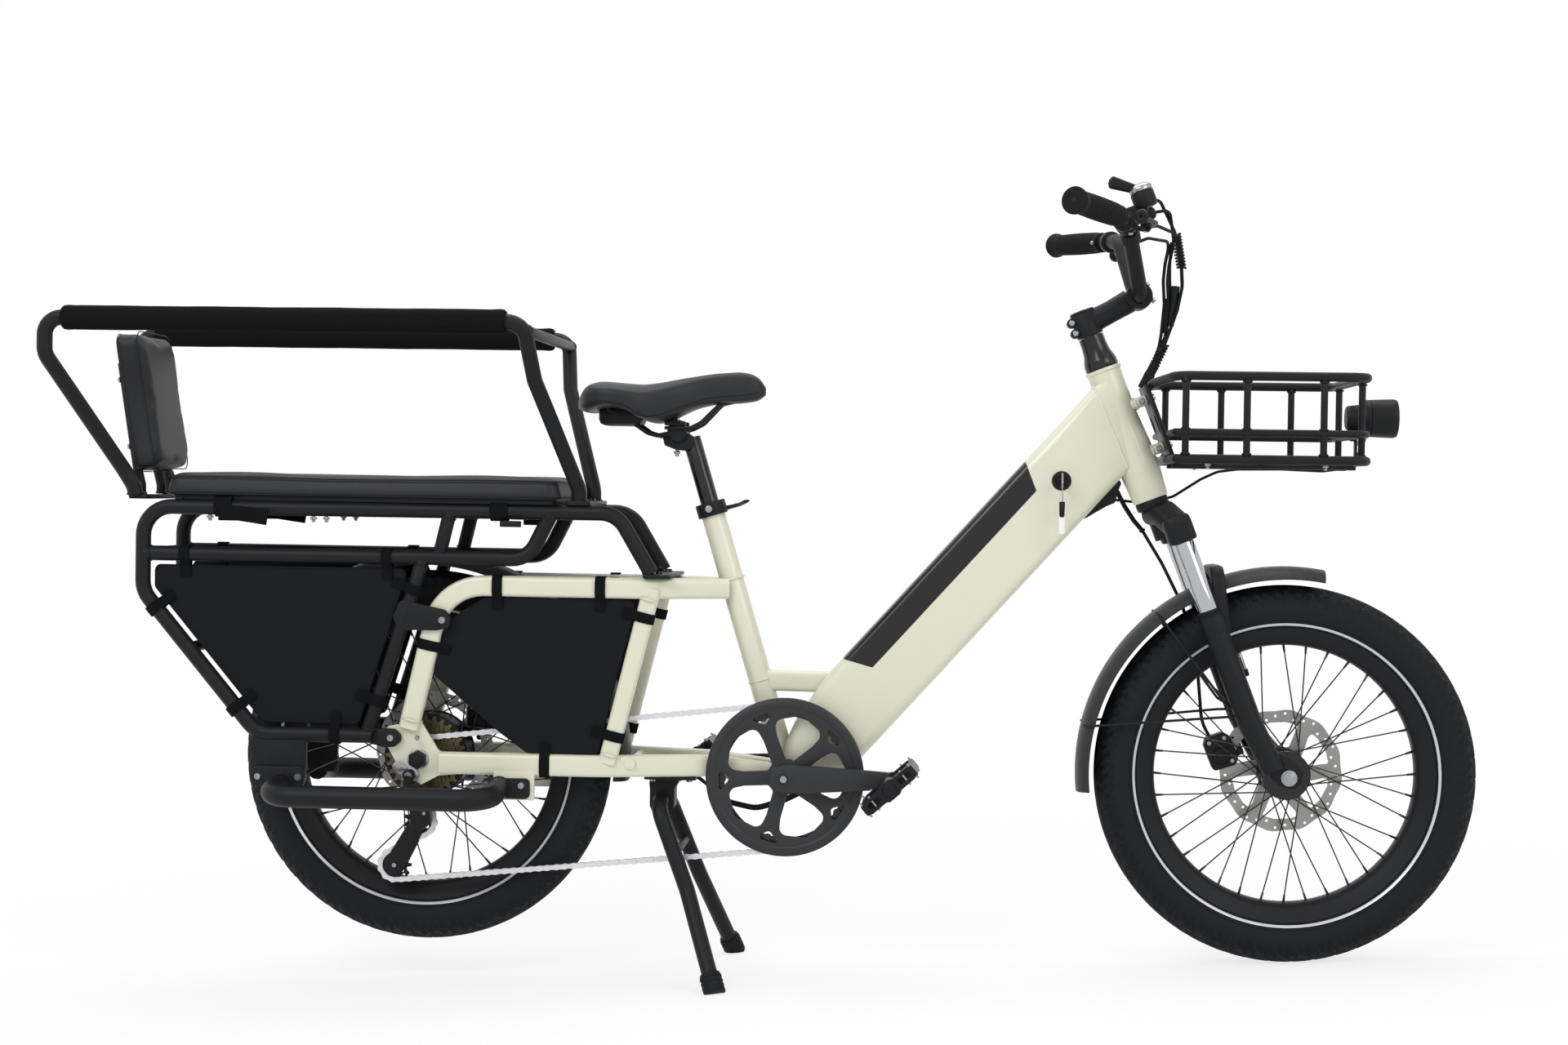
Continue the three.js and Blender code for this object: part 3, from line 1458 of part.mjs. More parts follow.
// gap is how far the tube stands out from the panel, and slope how much the panel leans in along the bicycle
function panel(name, sign, outline, plane, straps, gap, slope) {
  const sheet = plate(outline, plane - panelThick / 2, plane + panelThick / 2);
  const outY = plane + gap + clearance;
  const ties = straps.flatMap(([x, z, turn]) => [
    box(at(-strap.long / 2, outY, -strap.wide / 2), at(strap.long / 2, outY + strap.thick, strap.wide / 2)),
    box(
      at(-strap.long / 2, plane, -strap.wide / 2),
      at(strap.root - strap.long / 2, outY + strap.thick, strap.wide / 2),
    ),
  ].map((bar) => bar.rotateY(radians(turn)).translate(x, 0, z)));
  const lean = new THREE.Matrix4().makeShear(sign * slope, 0, 0, 0, 0, 0);
  const placed = [sheet, ...ties].map((form) => {
    if (sign < 0) form.scale(1, -1, 1);
    return form.applyMatrix4(lean);
  });
  piece(name, join(...placed), finish.panel, bicycle);
}
function panels() {
  const p = panelShape;
  const frontGap = (rail.width - rail.half + railNeck.half) / 2;
  for (const [name, sign] of bothSides) {
    const slope = (rack.rearHalf - rack.frontHalf) / (rack.rearReach - rack.frontReach);
    const rearPlane = rackHalf(0) - rearPanelIn;
    panel(
      "panel_rear_" + name,
      sign,
      p.rear,
      rearPlane,
      p.rearStraps,
      rack.radius * flatShare + rearPanelIn,
      slope,
    );
    panel("panel_front_" + name, sign, p.front, rail.half, p.frontStraps, frontGap, 0);
  }
}
const rearPanelIn = 4;
const panelShape = {
  rear: [
    [-388, 549],
    [-18.4, 549],
    [-87.3, 325],
    [-226.8, 325],
    [-388, 518.5],
  ],
  rearStraps: [
    [-330, 567, -90],
    [-60, 567, -90],
    [-304, 390, 140],
    [-160, 307, 90],
  ],
  front: [
    [96, 508.5],
    [314, 508.5],
    [264, 300],
    [262, 287.5],
    [160, 287.5],
    [118, 318],
    [22.4, 398],
    [40, 470],
    [62, 488],
  ],
  frontStraps: [
    [140, 527, -90],
    [262, 527, -90],
    [200, 269, 90],
    [290, 330, 13.7],
  ],
};
panels();

// Mudguards
function mudguard(fromAngle, toAngle, steps) {
  const g = guardShape;
  const arch = (inset, drop) =>
    [-1, -0.72, 0, 0.72, 1].map((share) => {
      const fall = g.lip * Math.abs(share) ** 3;
      return new THREE.Vector2(share * (g.half - inset), -inset - fall + drop);
    });
  const section = new THREE.Shape([...arch(0, 0), ...arch(g.sheet, 0).reverse()]);
  const rings = Array.from({ length: steps + 1 }, (item, i) => {
    const a = radians(fromAngle + ((toAngle - fromAngle) * i) / steps);
    return at(guardRadius * Math.cos(a), 0, guardRadius * Math.sin(a));
  });
  return sweep(rings, section);
}
const frontGuard = {
  tip: 80 - headLean,
  tail: 186 - headLean,
  wireAngle: 167 - headLean,
  wire: 2,
  steps: 9,
};
const forkLeg = {
  x: 18,
  half: 62,
  top: -178,
  radius: 17.5,
  stanchion: 15,
  kneeZ: -345,
  insert: 125,
  travel: 50,
};
const arch = { x: 48, over: 14, half: 60, radius: 8, footX: 26, footDrop: 88, bend: 18 };
const archZ = guardRadius + arch.over - axleToHead;
function frontMudguard() {
  const sheet = mudguard(frontGuard.tail, frontGuard.tip, frontGuard.steps);
  sheet.translate(forkAxle.x, 0, forkAxle.z);
  const topSpot = archZ - arch.radius - clearance;
  const stem = box(
    at(arch.x - arch.radius, -arch.radius * 2, forkAxle.z + guardRadius - overrun * 2),
    at(arch.x + arch.radius, arch.radius * 2, topSpot),
  );
  const angle = radians(frontGuard.wireAngle);
  const reach = guardRadius - guardShape.lip / 2;
  const wires = bothSides.map(([, sign]) => {
    const start = at(
      forkAxle.x + reach * Math.cos(angle),
      sign * (guardShape.half - overrun * 1.5),
      forkAxle.z + reach * Math.sin(angle),
    );
    const end = at(forkLeg.x - forkLeg.radius - clearance, sign * forkLeg.half, wireFoot);
    return sweep([start, end], disc(frontGuard.wire, 6));
  });
  piece("front_mudguard", join(sheet, stem, ...wires), finish.black, steering);
}
const wireFoot = -330;
frontMudguard();
function rearMudguard() {
  const sheet = mudguard(rearGuard.rear, rearGuard.front, rearGuard.steps);
  sheet.translate(rearAxle.x, 0, rearAxle.z);
  piece("rear_mudguard", sheet, finish.black, bicycle);
}
rearMudguard();

// Fork
const steerer = { radius: 14.3, top: 288 };
const crown = {
  top: -6,
  low: -70,
  rear: -4,
  front: 38,
  ring: 24,
  bridgeLow: -42,
  neckZ: -25,
  yokeHigh: 30,
};
function fork() {
  const f = forkLeg;
  const stalk = rod(at(0, 0, crown.low / 2), at(0, 0, steerer.top), steerer.radius);
  const ring = rod(at(0, 0, crown.top * 2), at(0, 0, -clearance), crown.ring, 12);
  const yokeOutline = [
    at(0, 0, crown.neckZ),
    at(f.x / 2, f.half / 2, crown.neckZ + crown.top / 2),
    at(f.x, f.half, (crown.low + crown.bridgeLow) / 2),
  ];
  const yokes = bothSides.map(([, sign]) =>
    sweep(
      yokeOutline.map((p) => at(p.x, sign * p.y, p.z)),
      block(crown.front - crown.rear - overrun, crown.yokeHigh, crown.ring / 3),
      0,
      at(1, 0, 0),
    ),
  );
  const cups = bothSides.map(([, sign]) =>
    rod(
      at(f.x, sign * f.half, crown.low),
      at(f.x, sign * f.half, crown.bridgeLow + overrun * 4),
      f.stanchion + 5 * overrun / 2,
      10,
    ),
  );
  const bars = bothSides.map(([, sign]) =>
    rod(
      at(f.x, sign * f.half, crown.low / 2 - overrun),
      at(f.x, sign * f.half, f.top - f.insert),
      f.stanchion,
      12,
    ),
  );
  piece("fork_crown", join(stalk, ring, ...yokes, ...cups, ...bars), finish.silver, steering);
  const legs = bothSides.map(([, sign]) => {
    const leg = tube(
      [
        at(f.x, sign * f.half, f.top),
        at(f.x, sign * f.half, f.kneeZ),
        at(forkAxle.x - legToe, sign * (f.half - overrun), forkAxle.z + f.radius),
      ],
      f.radius,
      rail.bend,
    );
    const lug = plate(
      [
        [forkAxle.x - legToe - f.radius, forkAxle.z + 2 * f.radius],
        [forkAxle.x + legToe, forkAxle.z + f.radius],
        [forkAxle.x + legToe * 1.4, forkAxle.z],
        [forkAxle.x, forkAxle.z - legToe],
        [forkAxle.x - legToe, forkAxle.z],
      ],
      sign * frontLug.inner,
      sign * frontLug.outer,
    );
    return join(leg, lug);
  });
  const bores = bothSides.map(([, sign]) =>
    rod(
      at(f.x, sign * f.half, archZ + arch.radius * 2),
      at(f.x, sign * f.half, f.top - f.insert - f.travel - overrun * 2),
      f.stanchion + clearance,
      12,
    ),
  );
  const bow = tube(
    [
      at(arch.footX, -f.half, archZ - arch.footDrop),
      at(arch.x, -arch.half, archZ),
      at(arch.x, arch.half, archZ),
      at(arch.footX, f.half, archZ - arch.footDrop),
    ],
    arch.radius,
    arch.bend,
    at(1, 0, 0),
  );
  const axleHole = rod(
    at(forkAxle.x, -f.half * 2, forkAxle.z),
    at(forkAxle.x, f.half * 2, forkAxle.z),
    frontLug.hole,
    8,
  );
  piece("fork_lowers", cut(join(...legs, bow), ...bores, axleHole), finish.black, steering);
  const rodWhole = rod(
    at(forkAxle.x, -frontLug.nutEnd - overrun, forkAxle.z),
    at(forkAxle.x, frontLug.nutEnd + overrun, forkAxle.z),
    frontHub.axle,
    8,
  );
  const nuts = bothSides.map(([, sign]) =>
    rod(
      at(forkAxle.x, sign * (frontLug.outer + clearance), forkAxle.z),
      at(forkAxle.x, sign * frontLug.nutEnd, forkAxle.z),
      frontLug.nut,
      6,
    ),
  );
  piece("front_axle", join(rodWhole, ...nuts), finish.steel, steering);
}
const legToe = 16;
const frontLug = { inner: 50.3, outer: 62, hole: frontHub.axle + clearance, nut: 10, nutEnd: 70 };
fork();

// Brake calipers, each astride its rotor
const caliper = { long: 42, high: 52, inner: 4.5, outer: 16, slot: 1.2, foot: 16 };
function caliperBody(centre, rotorAt) {
  const c = caliper;
  const body = box(
    at(centre.x - c.long / 2, rotorAt - c.inner, centre.z - c.high / 2),
    at(centre.x + c.long / 2, rotorAt + rotor.thickness + c.outer, centre.z + c.high / 2),
  );
  return body;
}
const caliperSlot = (axle, rotorAt) =>
  rod(
    at(axle.x, rotorAt - caliper.slot, axle.z),
    at(axle.x, rotorAt + rotor.thickness + caliper.slot, axle.z),
    rotor.radius + overrun * 2,
    24,
  );
function calipers() {
  const f = forkLeg;
  const frontSpot = at(
    f.x - f.radius - caliper.long / 2 - caliper.foot / 2,
    0,
    forkAxle.z + rotor.radius * 0.62,
  );
  const legSlope = (forkAxle.x - legToe - f.x) / (f.kneeZ - forkAxle.z - f.radius);
  const legAt = f.x + (f.kneeZ - frontSpot.z - caliper.foot) * legSlope;
  const legFace = legAt - f.radius * flatShare - clearance;
  const foot = box(
    at(frontSpot.x, frontRotorAt + rotor.thickness + caliper.slot * 2, frontSpot.z - caliper.foot),
    at(legFace, f.half + f.radius / 3, frontSpot.z + caliper.foot),
  );
  const frontBody = cut(caliperBody(frontSpot, frontRotorAt), caliperSlot(forkAxle, frontRotorAt));
  const hosePath = [
    at(frontSpot.x, frontRotorAt + caliper.outer, frontSpot.z),
    at(frontSpot.x, frontRotorAt + caliper.outer, frontSpot.z + caliper.high),
    at(hose.x, hose.half, (frontSpot.z + hose.topZ) / 2),
    at(hose.x, hose.half, hose.topZ),
  ];
  const line = sweep(hosePath, disc(hose.radius, 6), rail.bend);
  piece("front_caliper", join(frontBody, foot, line), finish.plastic, steering);
  const rearSpot = at(rearAxle.x + rotor.radius * 0.76, 0, rearAxle.z + rotor.radius * 0.56);
  const stayTop = rearAxle.z - 2 * overrun + stay.height / 2 + clearance;
  const rearFoot = box(
    at(rearSpot.x - caliper.foot / 2, rearRotorAt + rotor.thickness + caliper.slot * 2, stayTop),
    at(rearSpot.x + caliper.foot / 2, stay.half, rearSpot.z),
  );
  const rearBody = cut(caliperBody(rearSpot, rearRotorAt), caliperSlot(rearAxle, rearRotorAt));
  piece("rear_caliper", join(rearBody, rearFoot), finish.plastic, bicycle);
}
const hose = { x: -36, half: 52, topZ: -60, radius: 2.6 };
calipers();

// Stem, handlebar, grips, levers and shifter
const stem = {
  low: 202,
  coverRadius: 24,
  coverHigh: 52,
  clampHigh: 34,
  clampRadius: 19,
  reach: 84,
  barZ: 282,
  barHalf: 24,
  neckWide: 28.5,
  neckHigh: 32.3,
  neckCorner: 6.3,
};
const bar = {
  radius: 11.1,
  centreHalf: 42,
  riseX: 95,
  riseHalf: 100,
  riseZ: 374,
  turnX: 84,
  turnHalf: 172,
  turnZ: 385,
};
const barEnd = { x: 21, half: 300, z: 417 };
const grip = { radius: 16, from: 0.05, flare: 18, cap: 5 };
const barPoint = (share, sign) =>
  at(bar.turnX, sign * bar.turnHalf, bar.turnZ).lerp(at(barEnd.x, sign * barEnd.half, barEnd.z), share);
const risePoint = (share, sign) =>
  at(bar.riseX, sign * bar.riseHalf, bar.riseZ).lerp(at(bar.turnX, sign * bar.turnHalf, bar.turnZ), share);
function cockpit() {
  const s = stem;
  const cover = turned(
    [
      [0, s.low + clearance],
      [s.coverRadius, s.low + clearance],
      [s.clampRadius - overrun, s.low + s.coverHigh],
      [s.clampRadius, s.low + s.coverHigh + overrun],
      [s.clampRadius, s.low + s.coverHigh + s.clampHigh],
      [0, s.low + s.coverHigh + s.clampHigh],
    ],
    14,
  ).rotateX(Math.PI / 2);
  const neck = sweep(
    [at(s.clampRadius / 2, 0, s.low + s.coverHigh + s.clampHigh / 2), at(s.reach, 0, s.barZ)],
    block(s.neckWide, s.neckHigh, s.neckCorner),
  );
  const jaw = rod(at(s.reach, -s.barHalf, s.barZ), at(s.reach, s.barHalf, s.barZ), s.clampRadius, 10);
  const steererHole = rod(
    at(0, 0, s.low - overrun),
    at(0, 0, steerer.top + clearance),
    around(steerer.radius),
  );
  const barHole = rod(
    at(s.reach, -s.barHalf - overrun, s.barZ),
    at(s.reach, s.barHalf + overrun, s.barZ),
    around(bar.radius),
  );
  piece("stem", cut(join(cover, neck, jaw), steererHole, barHole), finish.black, steering);
  const wing = [
    [s.reach, bar.centreHalf, s.barZ],
    [bar.riseX, bar.riseHalf, bar.riseZ],
    [bar.turnX, bar.turnHalf, bar.turnZ],
    [barEnd.x, barEnd.half, barEnd.z],
  ];
  const right = wing.map(([x, y, z]) => at(x, -y, z)).reverse();
  const barForm = tube([...right, ...wing.map((spot) => at(...spot))], bar.radius, barBend, at(0, 0, 1));
  const d = display;
  const screen = box(
    at(d.x - d.long / 2, d.y - d.wide / 2, d.z - d.high / 2),
    at(d.x + d.long / 2, d.y + d.wide / 2, d.z + d.high / 2),
  );
  const screenArm = wire([at(d.x, d.y, d.z), at(bar.riseX, -bar.riseHalf, bar.riseZ)], d.arm);
  piece("handlebar", join(barForm, screen, screenArm), finish.black, steering);
  for (const [name, sign] of bothSides) {
    const from = barPoint(grip.from + gripStart, sign);
    const end = barPoint(1, sign);
    const way = end.clone().sub(from).normalize();
    const past = end.clone().addScaledVector(way, grip.cap);
    const flareAt = end.clone().addScaledVector(way, -3 * grip.cap);
    const sleeve = join(rod(from, past, grip.radius, 10), rod(flareAt, past, grip.flare, 10));
    const hole = rod(
      from.clone().addScaledVector(way, -overrun),
      end.clone().addScaledVector(way, clearance),
      around(bar.radius),
    );
    piece("grip_" + name, cut(sleeve, hole), finish.rubber, steering);
    const perchAt = risePoint(perch.share, sign);
    const level = at(
      bar.turnX - bar.riseX,
      sign * (bar.turnHalf - bar.riseHalf),
      bar.turnZ - bar.riseZ,
    ).normalize();
    const ringFrom = perchAt.clone().addScaledVector(level, -perch.wide / 2);
    const ringTo = perchAt.clone().addScaledVector(level, perch.wide / 2);
    const band = rod(ringFrom, ringTo, bar.radius + perch.wall, 10);
    const bandHole = rod(
      ringFrom.clone().addScaledVector(level, -overrun),
      ringTo.clone().addScaledVector(level, overrun),
      around(bar.radius),
    );
    const reach = perch.reach;
    const high = perch.high / 2;
    const placed = (form) => form.rotateY(radians(lever.droop)).translate(perchAt.x, perchAt.y, perchAt.z);
    const body = box(
      at(bar.radius + overrun, -perch.wide / 2, -high),
      at(reach + high, perch.wide / 2, high),
    );
    const slot = box(
      at(reach - high - overrun, -perch.wide, -lever.thick / 2 - clearance),
      at(reach + 2 * high, perch.wide, lever.thick / 2 + clearance),
    );
    const pin = rod(at(reach, 0, -high), at(reach, 0, high), lever.pin, 8);
    const perchShape = join(cut(join(band, placed(body)), bandHole, placed(slot)), placed(pin));
    piece("brake_perch_" + name, perchShape, finish.black, steering);
    const blade = sweep(
      leverShares.map(([x, y, z]) => at(x * lever.long, sign * y * lever.long, z * lever.long)),
      block(lever.thick, lever.wide, lever.thick / 3),
      0,
      at(0, 0, 1),
    );
    const half = lever.thick / 2;
    const eye = rod(at(0, 0, -half), at(0, 0, half), lever.wide / 2 + overrun, 8);
    const eyeHole = rod(at(0, 0, -2 * half), at(0, 0, 2 * half), around(lever.pin, 8), 8);
    const mesh = piece("brake_lever_" + name, cut(join(blade, eye), eyeHole), finish.black, steering);
    mesh.rotation.y = radians(lever.droop);
    mesh.position.set(reach, 0, 0).applyEuler(mesh.rotation).add(perchAt);
  }
  shifter();
}
const barBend = 34;
const gripStart = 0.02;
const perch = { share: 0.68, wide: 13, wall: 5, reach: 31, high: 18 };
const lever = { thick: 6, wide: 11, pin: 2.5, long: 121, droop: 33 };
// The blade's line from its pivot, in shares of its length
const leverShares = [
  [0, 0, 0],
  [0.07, 0.21, 0],
  [0.06, 0.58, -0.02],
  [-0.12, 1, -0.04],
];
const shift = { share: 0.36, wide: 14, wall: 5, ahead: 35, low: 13, podRadius: 16, podHigh: 22 };
const shiftLever = { back: 37, inward: 8, rise: 24, wide: 13, thick: 4, pin: 4 };
const display = { x: 127, y: -72, z: 383, long: 26, wide: 34, high: 17, arm: 5 };
function shifter() {
  const clampAt = risePoint(shift.share, -1);
  const level = at(bar.turnX - bar.riseX, bar.riseHalf - bar.turnHalf, bar.turnZ - bar.riseZ).normalize();
  const from = clampAt.clone().addScaledVector(level, -shift.wide / 2);
  const to = clampAt.clone().addScaledVector(level, shift.wide / 2);
  const band = rod(from, to, bar.radius + shift.wall, 10);
  const hole = rod(
    from.clone().addScaledVector(level, -overrun),
    to.clone().addScaledVector(level, overrun),
    around(bar.radius),
  );
  const podX = clampAt.x + shift.ahead;
  const podLow = clampAt.z + shift.low;
  const podTop = podLow + shift.podHigh;
  const onPod = (z) => at(podX, clampAt.y, z);
  const pod = rod(onPod(podLow), onPod(podTop), shift.podRadius, 12);
  const neck = box(
    at(clampAt.x, clampAt.y - shift.wide / 2, clampAt.z + bar.radius / 2),
    at(podX, clampAt.y + shift.wide / 2, podLow + shift.podHigh / 3),
  );
  const post = rod(onPod(podLow), onPod(podTop + shiftLever.thick + overrun), shiftLever.pin, 8);
  piece("shifter_body", join(cut(join(band, neck, pod), hole), post), finish.plastic, steering);
  const low = podTop + clearance;
  const high = low + shiftLever.thick;
  const cap = rod(onPod(low), onPod(high), shift.podRadius - overrun, 12);
  const paddle = sweep(
    [
      onPod((low + high) / 2),
      at(podX - shift.podRadius, clampAt.y, (low + high) / 2),
      at(podX - shiftLever.back, clampAt.y - shiftLever.inward, high + shiftLever.rise),
    ],
    block(shiftLever.wide, shiftLever.thick, shiftLever.thick / 3),
  );
  const capHole = rod(onPod(low - overrun), onPod(high + overrun), around(shiftLever.pin, 8), 8);
  piece("shift_lever", cut(join(cap, paddle), capHole), finish.plastic, steering);
}
cockpit();

// Cables from the handlebar to the head tube, gathered into one bundle
const bundle = { radius: 5, bend: 30 };
const bundlePlaces = {
  over: [1092, -20, 1050],
  fall: [1094, 0, 1004],
  hang: [1087, 0, 955],
  low: [1068, 0, 895],
  end: [1053, 0, 858],
};
function cableBundle() {
  const leaving = (ahead) => onHead(display.x + display.long / 2 + clearance + ahead, display.y, display.z);
  const places = Object.values(bundlePlaces).map(([x, y, z]) => at(x, y, z));
  const route = [leaving(0), leaving(bundle.radius * 2), ...places];
  piece("cable_bundle", tube(route, bundle.radius, bundle.bend), finish.rubber, bicycle);
}
cableBundle();

// Basket and headlight
const basket = {
  topZ: 839,
  midZ: 761,
  lowZ: 724,
  rear: 1076,
  front: 1338,
  half: 168,
  neckX: 1052,
  neckHalf: 62,
  wire: 6.5,
  post: 5,
  bend: 26,
};
const basketSpots = {
  postShares: [0.02, 0.34, 0.74],
  frontShares: [-0.62, 0.62],
  floorShares: [0.2, 0.5, 0.8],
};
function basketAndLight() {
  const b = basket;
  const hoop = (z, radius, neck) => {
    const rear = neck ? b.rear : b.rear - overrun;
    const near = [
      ...(neck ? [at(b.neckX - overrun / 2, overrun - b.neckHalf, z - b.wire)] : []),
      at(rear, -b.half, z),
      at(b.front, -b.half, z),
    ];
    const far = near.map((p) => at(p.x, -p.y, p.z)).reverse();
    const points = [...near, ...far];
    return wire(points, radius, b.bend, at(0, 0, 1));
  };
  const across = (x, half, z, radius) => rod(at(x, -half, z), at(x, half, z), radius, 6);
  const thin = (points) => sweep(points, disc(b.post, 4));
  const posts = bothSides.flatMap(([, sign]) =>
    basketSpots.postShares.map((share) => {
      const x = b.rear + (b.front - b.rear) * share + b.wire;
      return thin([at(x, sign * b.half, b.lowZ), at(x, sign * b.half, b.topZ)]);
    }),
  );
  const frontPosts = basketSpots.frontShares.map((share) =>
    thin([at(b.front, share * b.half, b.lowZ), at(b.front, share * b.half, b.topZ)]),
  );
  const floorWires = basketSpots.floorShares.map((share) => {
    const x = b.rear + (b.front - b.rear) * share;
    return rod(at(x, -b.half, b.lowZ), at(x, b.half, b.lowZ), b.post, 4);
  });
  const faceX = boss.length + headTube.bulge + clearance;
  const back = loft(
    [backPlate.from, backPlate.to].map((up) => [
      onHead(faceX, -b.neckHalf, up),
      onHead(faceX, b.neckHalf, up),
      onHead(faceX + backPlate.thick, b.neckHalf, up),
      onHead(faceX + backPlate.thick, -b.neckHalf, up),
    ]),
  );
  const spine = [-1, 1].map((sign) => {
    const spot = onHead(faceX + backPlate.thick / 2, 0, backPlate.from);
    const y = sign * b.neckHalf * 0.7;
    return thin([at(spot.x, y, b.lowZ - spineDrop), at(b.front, y, b.lowZ - spineDrop)]);
  });
  const neckBar = across(b.neckX, b.neckHalf + overrun, b.topZ - b.wire, b.wire);
  const whole = join(
    hoop(b.topZ, b.wire, true),
    hoop(b.midZ, b.post, false),
    hoop(b.lowZ, b.wire, false),
    ...posts,
    ...frontPosts,
    ...floorWires,
    across(b.rear, b.half + overrun, b.lowZ, b.wire - clearance),
    neckBar,
    back,
    ...spine,
  );
  piece("basket", whole, finish.black, bicycle);
  const l = light;
  const faceLow = b.front + b.wire + clearance;
  const shellX = (x) => faceLow + l.post + x;
  const shell = new THREE.LatheGeometry(
    [
      [0, 0],
      [l.rear, 0],
      [l.radius, l.flareEnd],
      [l.radius, l.rimStart],
      [l.glass, l.long],
      [0, l.long],
    ].map(([r, y]) => new THREE.Vector2(r, y)),
    16,
  ).rotateZ(-Math.PI / 2).translate(shellX(0), 0, l.z);
  const foot = box(at(faceLow, -l.post, b.lowZ - b.wire), at(faceLow + l.footThick, l.post, l.z));
  piece("headlight", join(shell, foot), finish.plastic, bicycle);
}
const backPlate = { thick: 6, from: 40, to: 158 };
const spineDrop = 7;
const light = {
  z: 788,
  radius: 28,
  rear: 20,
  long: 62,
  flareEnd: 34,
  rimStart: 57,
  glass: 24,
  post: 8,
  footThick: 12.8,
};
basketAndLight();

bicycle.add(steering);

// Rest the bicycle on the ground with the origin under the middle of its outline
const stage = new THREE.Group();
stage.add(bicycle);
stage.updateMatrixWorld(true);
const outline = new THREE.Box3().setFromObject(stage, true);
const centre = outline.getCenter(at(0, 0, 0));
bicycle.position.set(-centre.x, -centre.y, -outline.min.z);

export default stage;
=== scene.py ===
# %% [markdown]
# This lesson dresses a longtail cargo bicycle: a cream frame, black racks and rails, soft pads, wheels and
# all their small hardware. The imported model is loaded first, because every piece here sits where one of its
# solids is.
# %% The frame that everything is measured from
import math

import bmesh
import bpy
from mathutils import Matrix, Vector


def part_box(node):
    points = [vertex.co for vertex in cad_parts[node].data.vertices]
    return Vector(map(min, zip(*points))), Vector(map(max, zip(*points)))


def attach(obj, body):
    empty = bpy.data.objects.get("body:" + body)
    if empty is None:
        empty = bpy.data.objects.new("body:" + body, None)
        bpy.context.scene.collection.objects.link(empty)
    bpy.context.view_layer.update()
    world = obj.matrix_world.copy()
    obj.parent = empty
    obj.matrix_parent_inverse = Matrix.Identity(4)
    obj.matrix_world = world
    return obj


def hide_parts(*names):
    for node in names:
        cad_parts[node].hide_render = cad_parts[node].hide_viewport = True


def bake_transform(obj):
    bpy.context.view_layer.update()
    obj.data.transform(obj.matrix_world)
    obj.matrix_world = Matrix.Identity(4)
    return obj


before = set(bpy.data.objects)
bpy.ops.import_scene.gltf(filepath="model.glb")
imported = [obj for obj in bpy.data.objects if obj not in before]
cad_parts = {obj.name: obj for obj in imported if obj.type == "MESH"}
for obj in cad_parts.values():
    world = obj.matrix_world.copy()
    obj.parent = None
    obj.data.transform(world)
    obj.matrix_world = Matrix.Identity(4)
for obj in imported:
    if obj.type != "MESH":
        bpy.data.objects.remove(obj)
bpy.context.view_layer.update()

# %% [markdown]
# A bicycle's drawings use its own level: the rear axle is above the origin and sizes are millimetres. Here
# the bicycle stands on its centre stand and front wheel, a little nose down. One matrix turns drawing places
# into scene places, and a second one does the same for the parts that steer, measured from the foot of the
# head tube.
# %% From drawing places to scene places
WHEELBASE, AXLE_HIGH = 1252, 273
FORK_RAKE, FORK_LONG = 43, 438
DOWN_SHIFT = 4.5
NOSE_DOWN = math.radians(2.7)
HEAD_LEAN, SEAT_LEAN, DOWN_LEAN = math.radians(21), math.radians(16.9), math.radians(48.2)
tyre_low, tyre_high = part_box("rear_tyre")
BIKE = (
    Matrix.Translation((tyre_low + tyre_high) / 2) @ Matrix.Rotation(NOSE_DOWN, 4, "Y")
    @ Matrix.Scale(0.001, 4) @ Matrix.Translation((0, 0, -AXLE_HIGH))
)
HEAD_FOOT = Vector((
    WHEELBASE - FORK_RAKE * math.cos(HEAD_LEAN) - FORK_LONG * math.sin(HEAD_LEAN), 0,
    AXLE_HIGH - FORK_RAKE * math.sin(HEAD_LEAN) + FORK_LONG * math.cos(HEAD_LEAN)
))
TURN_HEAD = Matrix.Translation(HEAD_FOOT) @ Matrix.Rotation(-HEAD_LEAN, 4, "Y")
STEER = BIKE @ TURN_HEAD
FRONT_AXLE = (FORK_RAKE, 0, -FORK_LONG)
BRACKET = Vector((532.5, 0, 257))


def on_head(ahead, y, up):
    return TURN_HEAD @ Vector((ahead, y, up))


def on_seat(up, y=0):
    return BRACKET + Vector((-up * math.sin(SEAT_LEAN), y, up * math.cos(SEAT_LEAN)))


def on_down(along, y, up):
    rise = up - DOWN_SHIFT
    return BRACKET + Vector((
        along * math.cos(DOWN_LEAN) - rise * math.sin(DOWN_LEAN), y,
        along * math.sin(DOWN_LEAN) + rise * math.cos(DOWN_LEAN)
    ))


print("rear axle at", [round(v, 4) for v in BIKE @ Vector((0, 0, AXLE_HIGH))])

# %% [markdown]
# Tubes, rods, plates and turned parts make up nearly the whole machine, so each gets one small helper built
# on a bmesh operator: extrude for a tube, a cone for a rod, a filled outline for a plate and spin for what a
# lathe would make.
# %% Outlines and paths
def circle(radius, count=20, middle=(0, 0), start=0.0):
    turns = [start + 2 * math.pi * i / count for i in range(count)]
    return [(middle[0] + radius * math.cos(a), middle[1] + radius * math.sin(a)) for a in turns]


def smooth_path(points, bend, step=9):
    points = [Vector(p) for p in points]
    path = [points[0]]
    for before, here, after in zip(points, points[1:], points[2:]):
        arriving, leaving = here - before, after - here
        room = min(arriving.length, leaving.length) / 2.1
        arriving.normalize()
        leaving.normalize()
        turn = arriving.angle(leaving)
        if turn < 0.02 or bend == 0:
            path.append(here)
            continue
        reach = min(bend * math.tan(turn / 2), room)
        radius = reach / math.tan(turn / 2)
        inward = (leaving - arriving * math.cos(turn)).normalized()
        count = max(2, round(math.degrees(turn) / step))
        for k in range(count + 1):
            angle = turn * k / count
            across = inward * radius * (1 - math.cos(angle))
            path.append(here + arriving * (radius * math.sin(angle) - reach) + across)
    return path + [points[-1]]


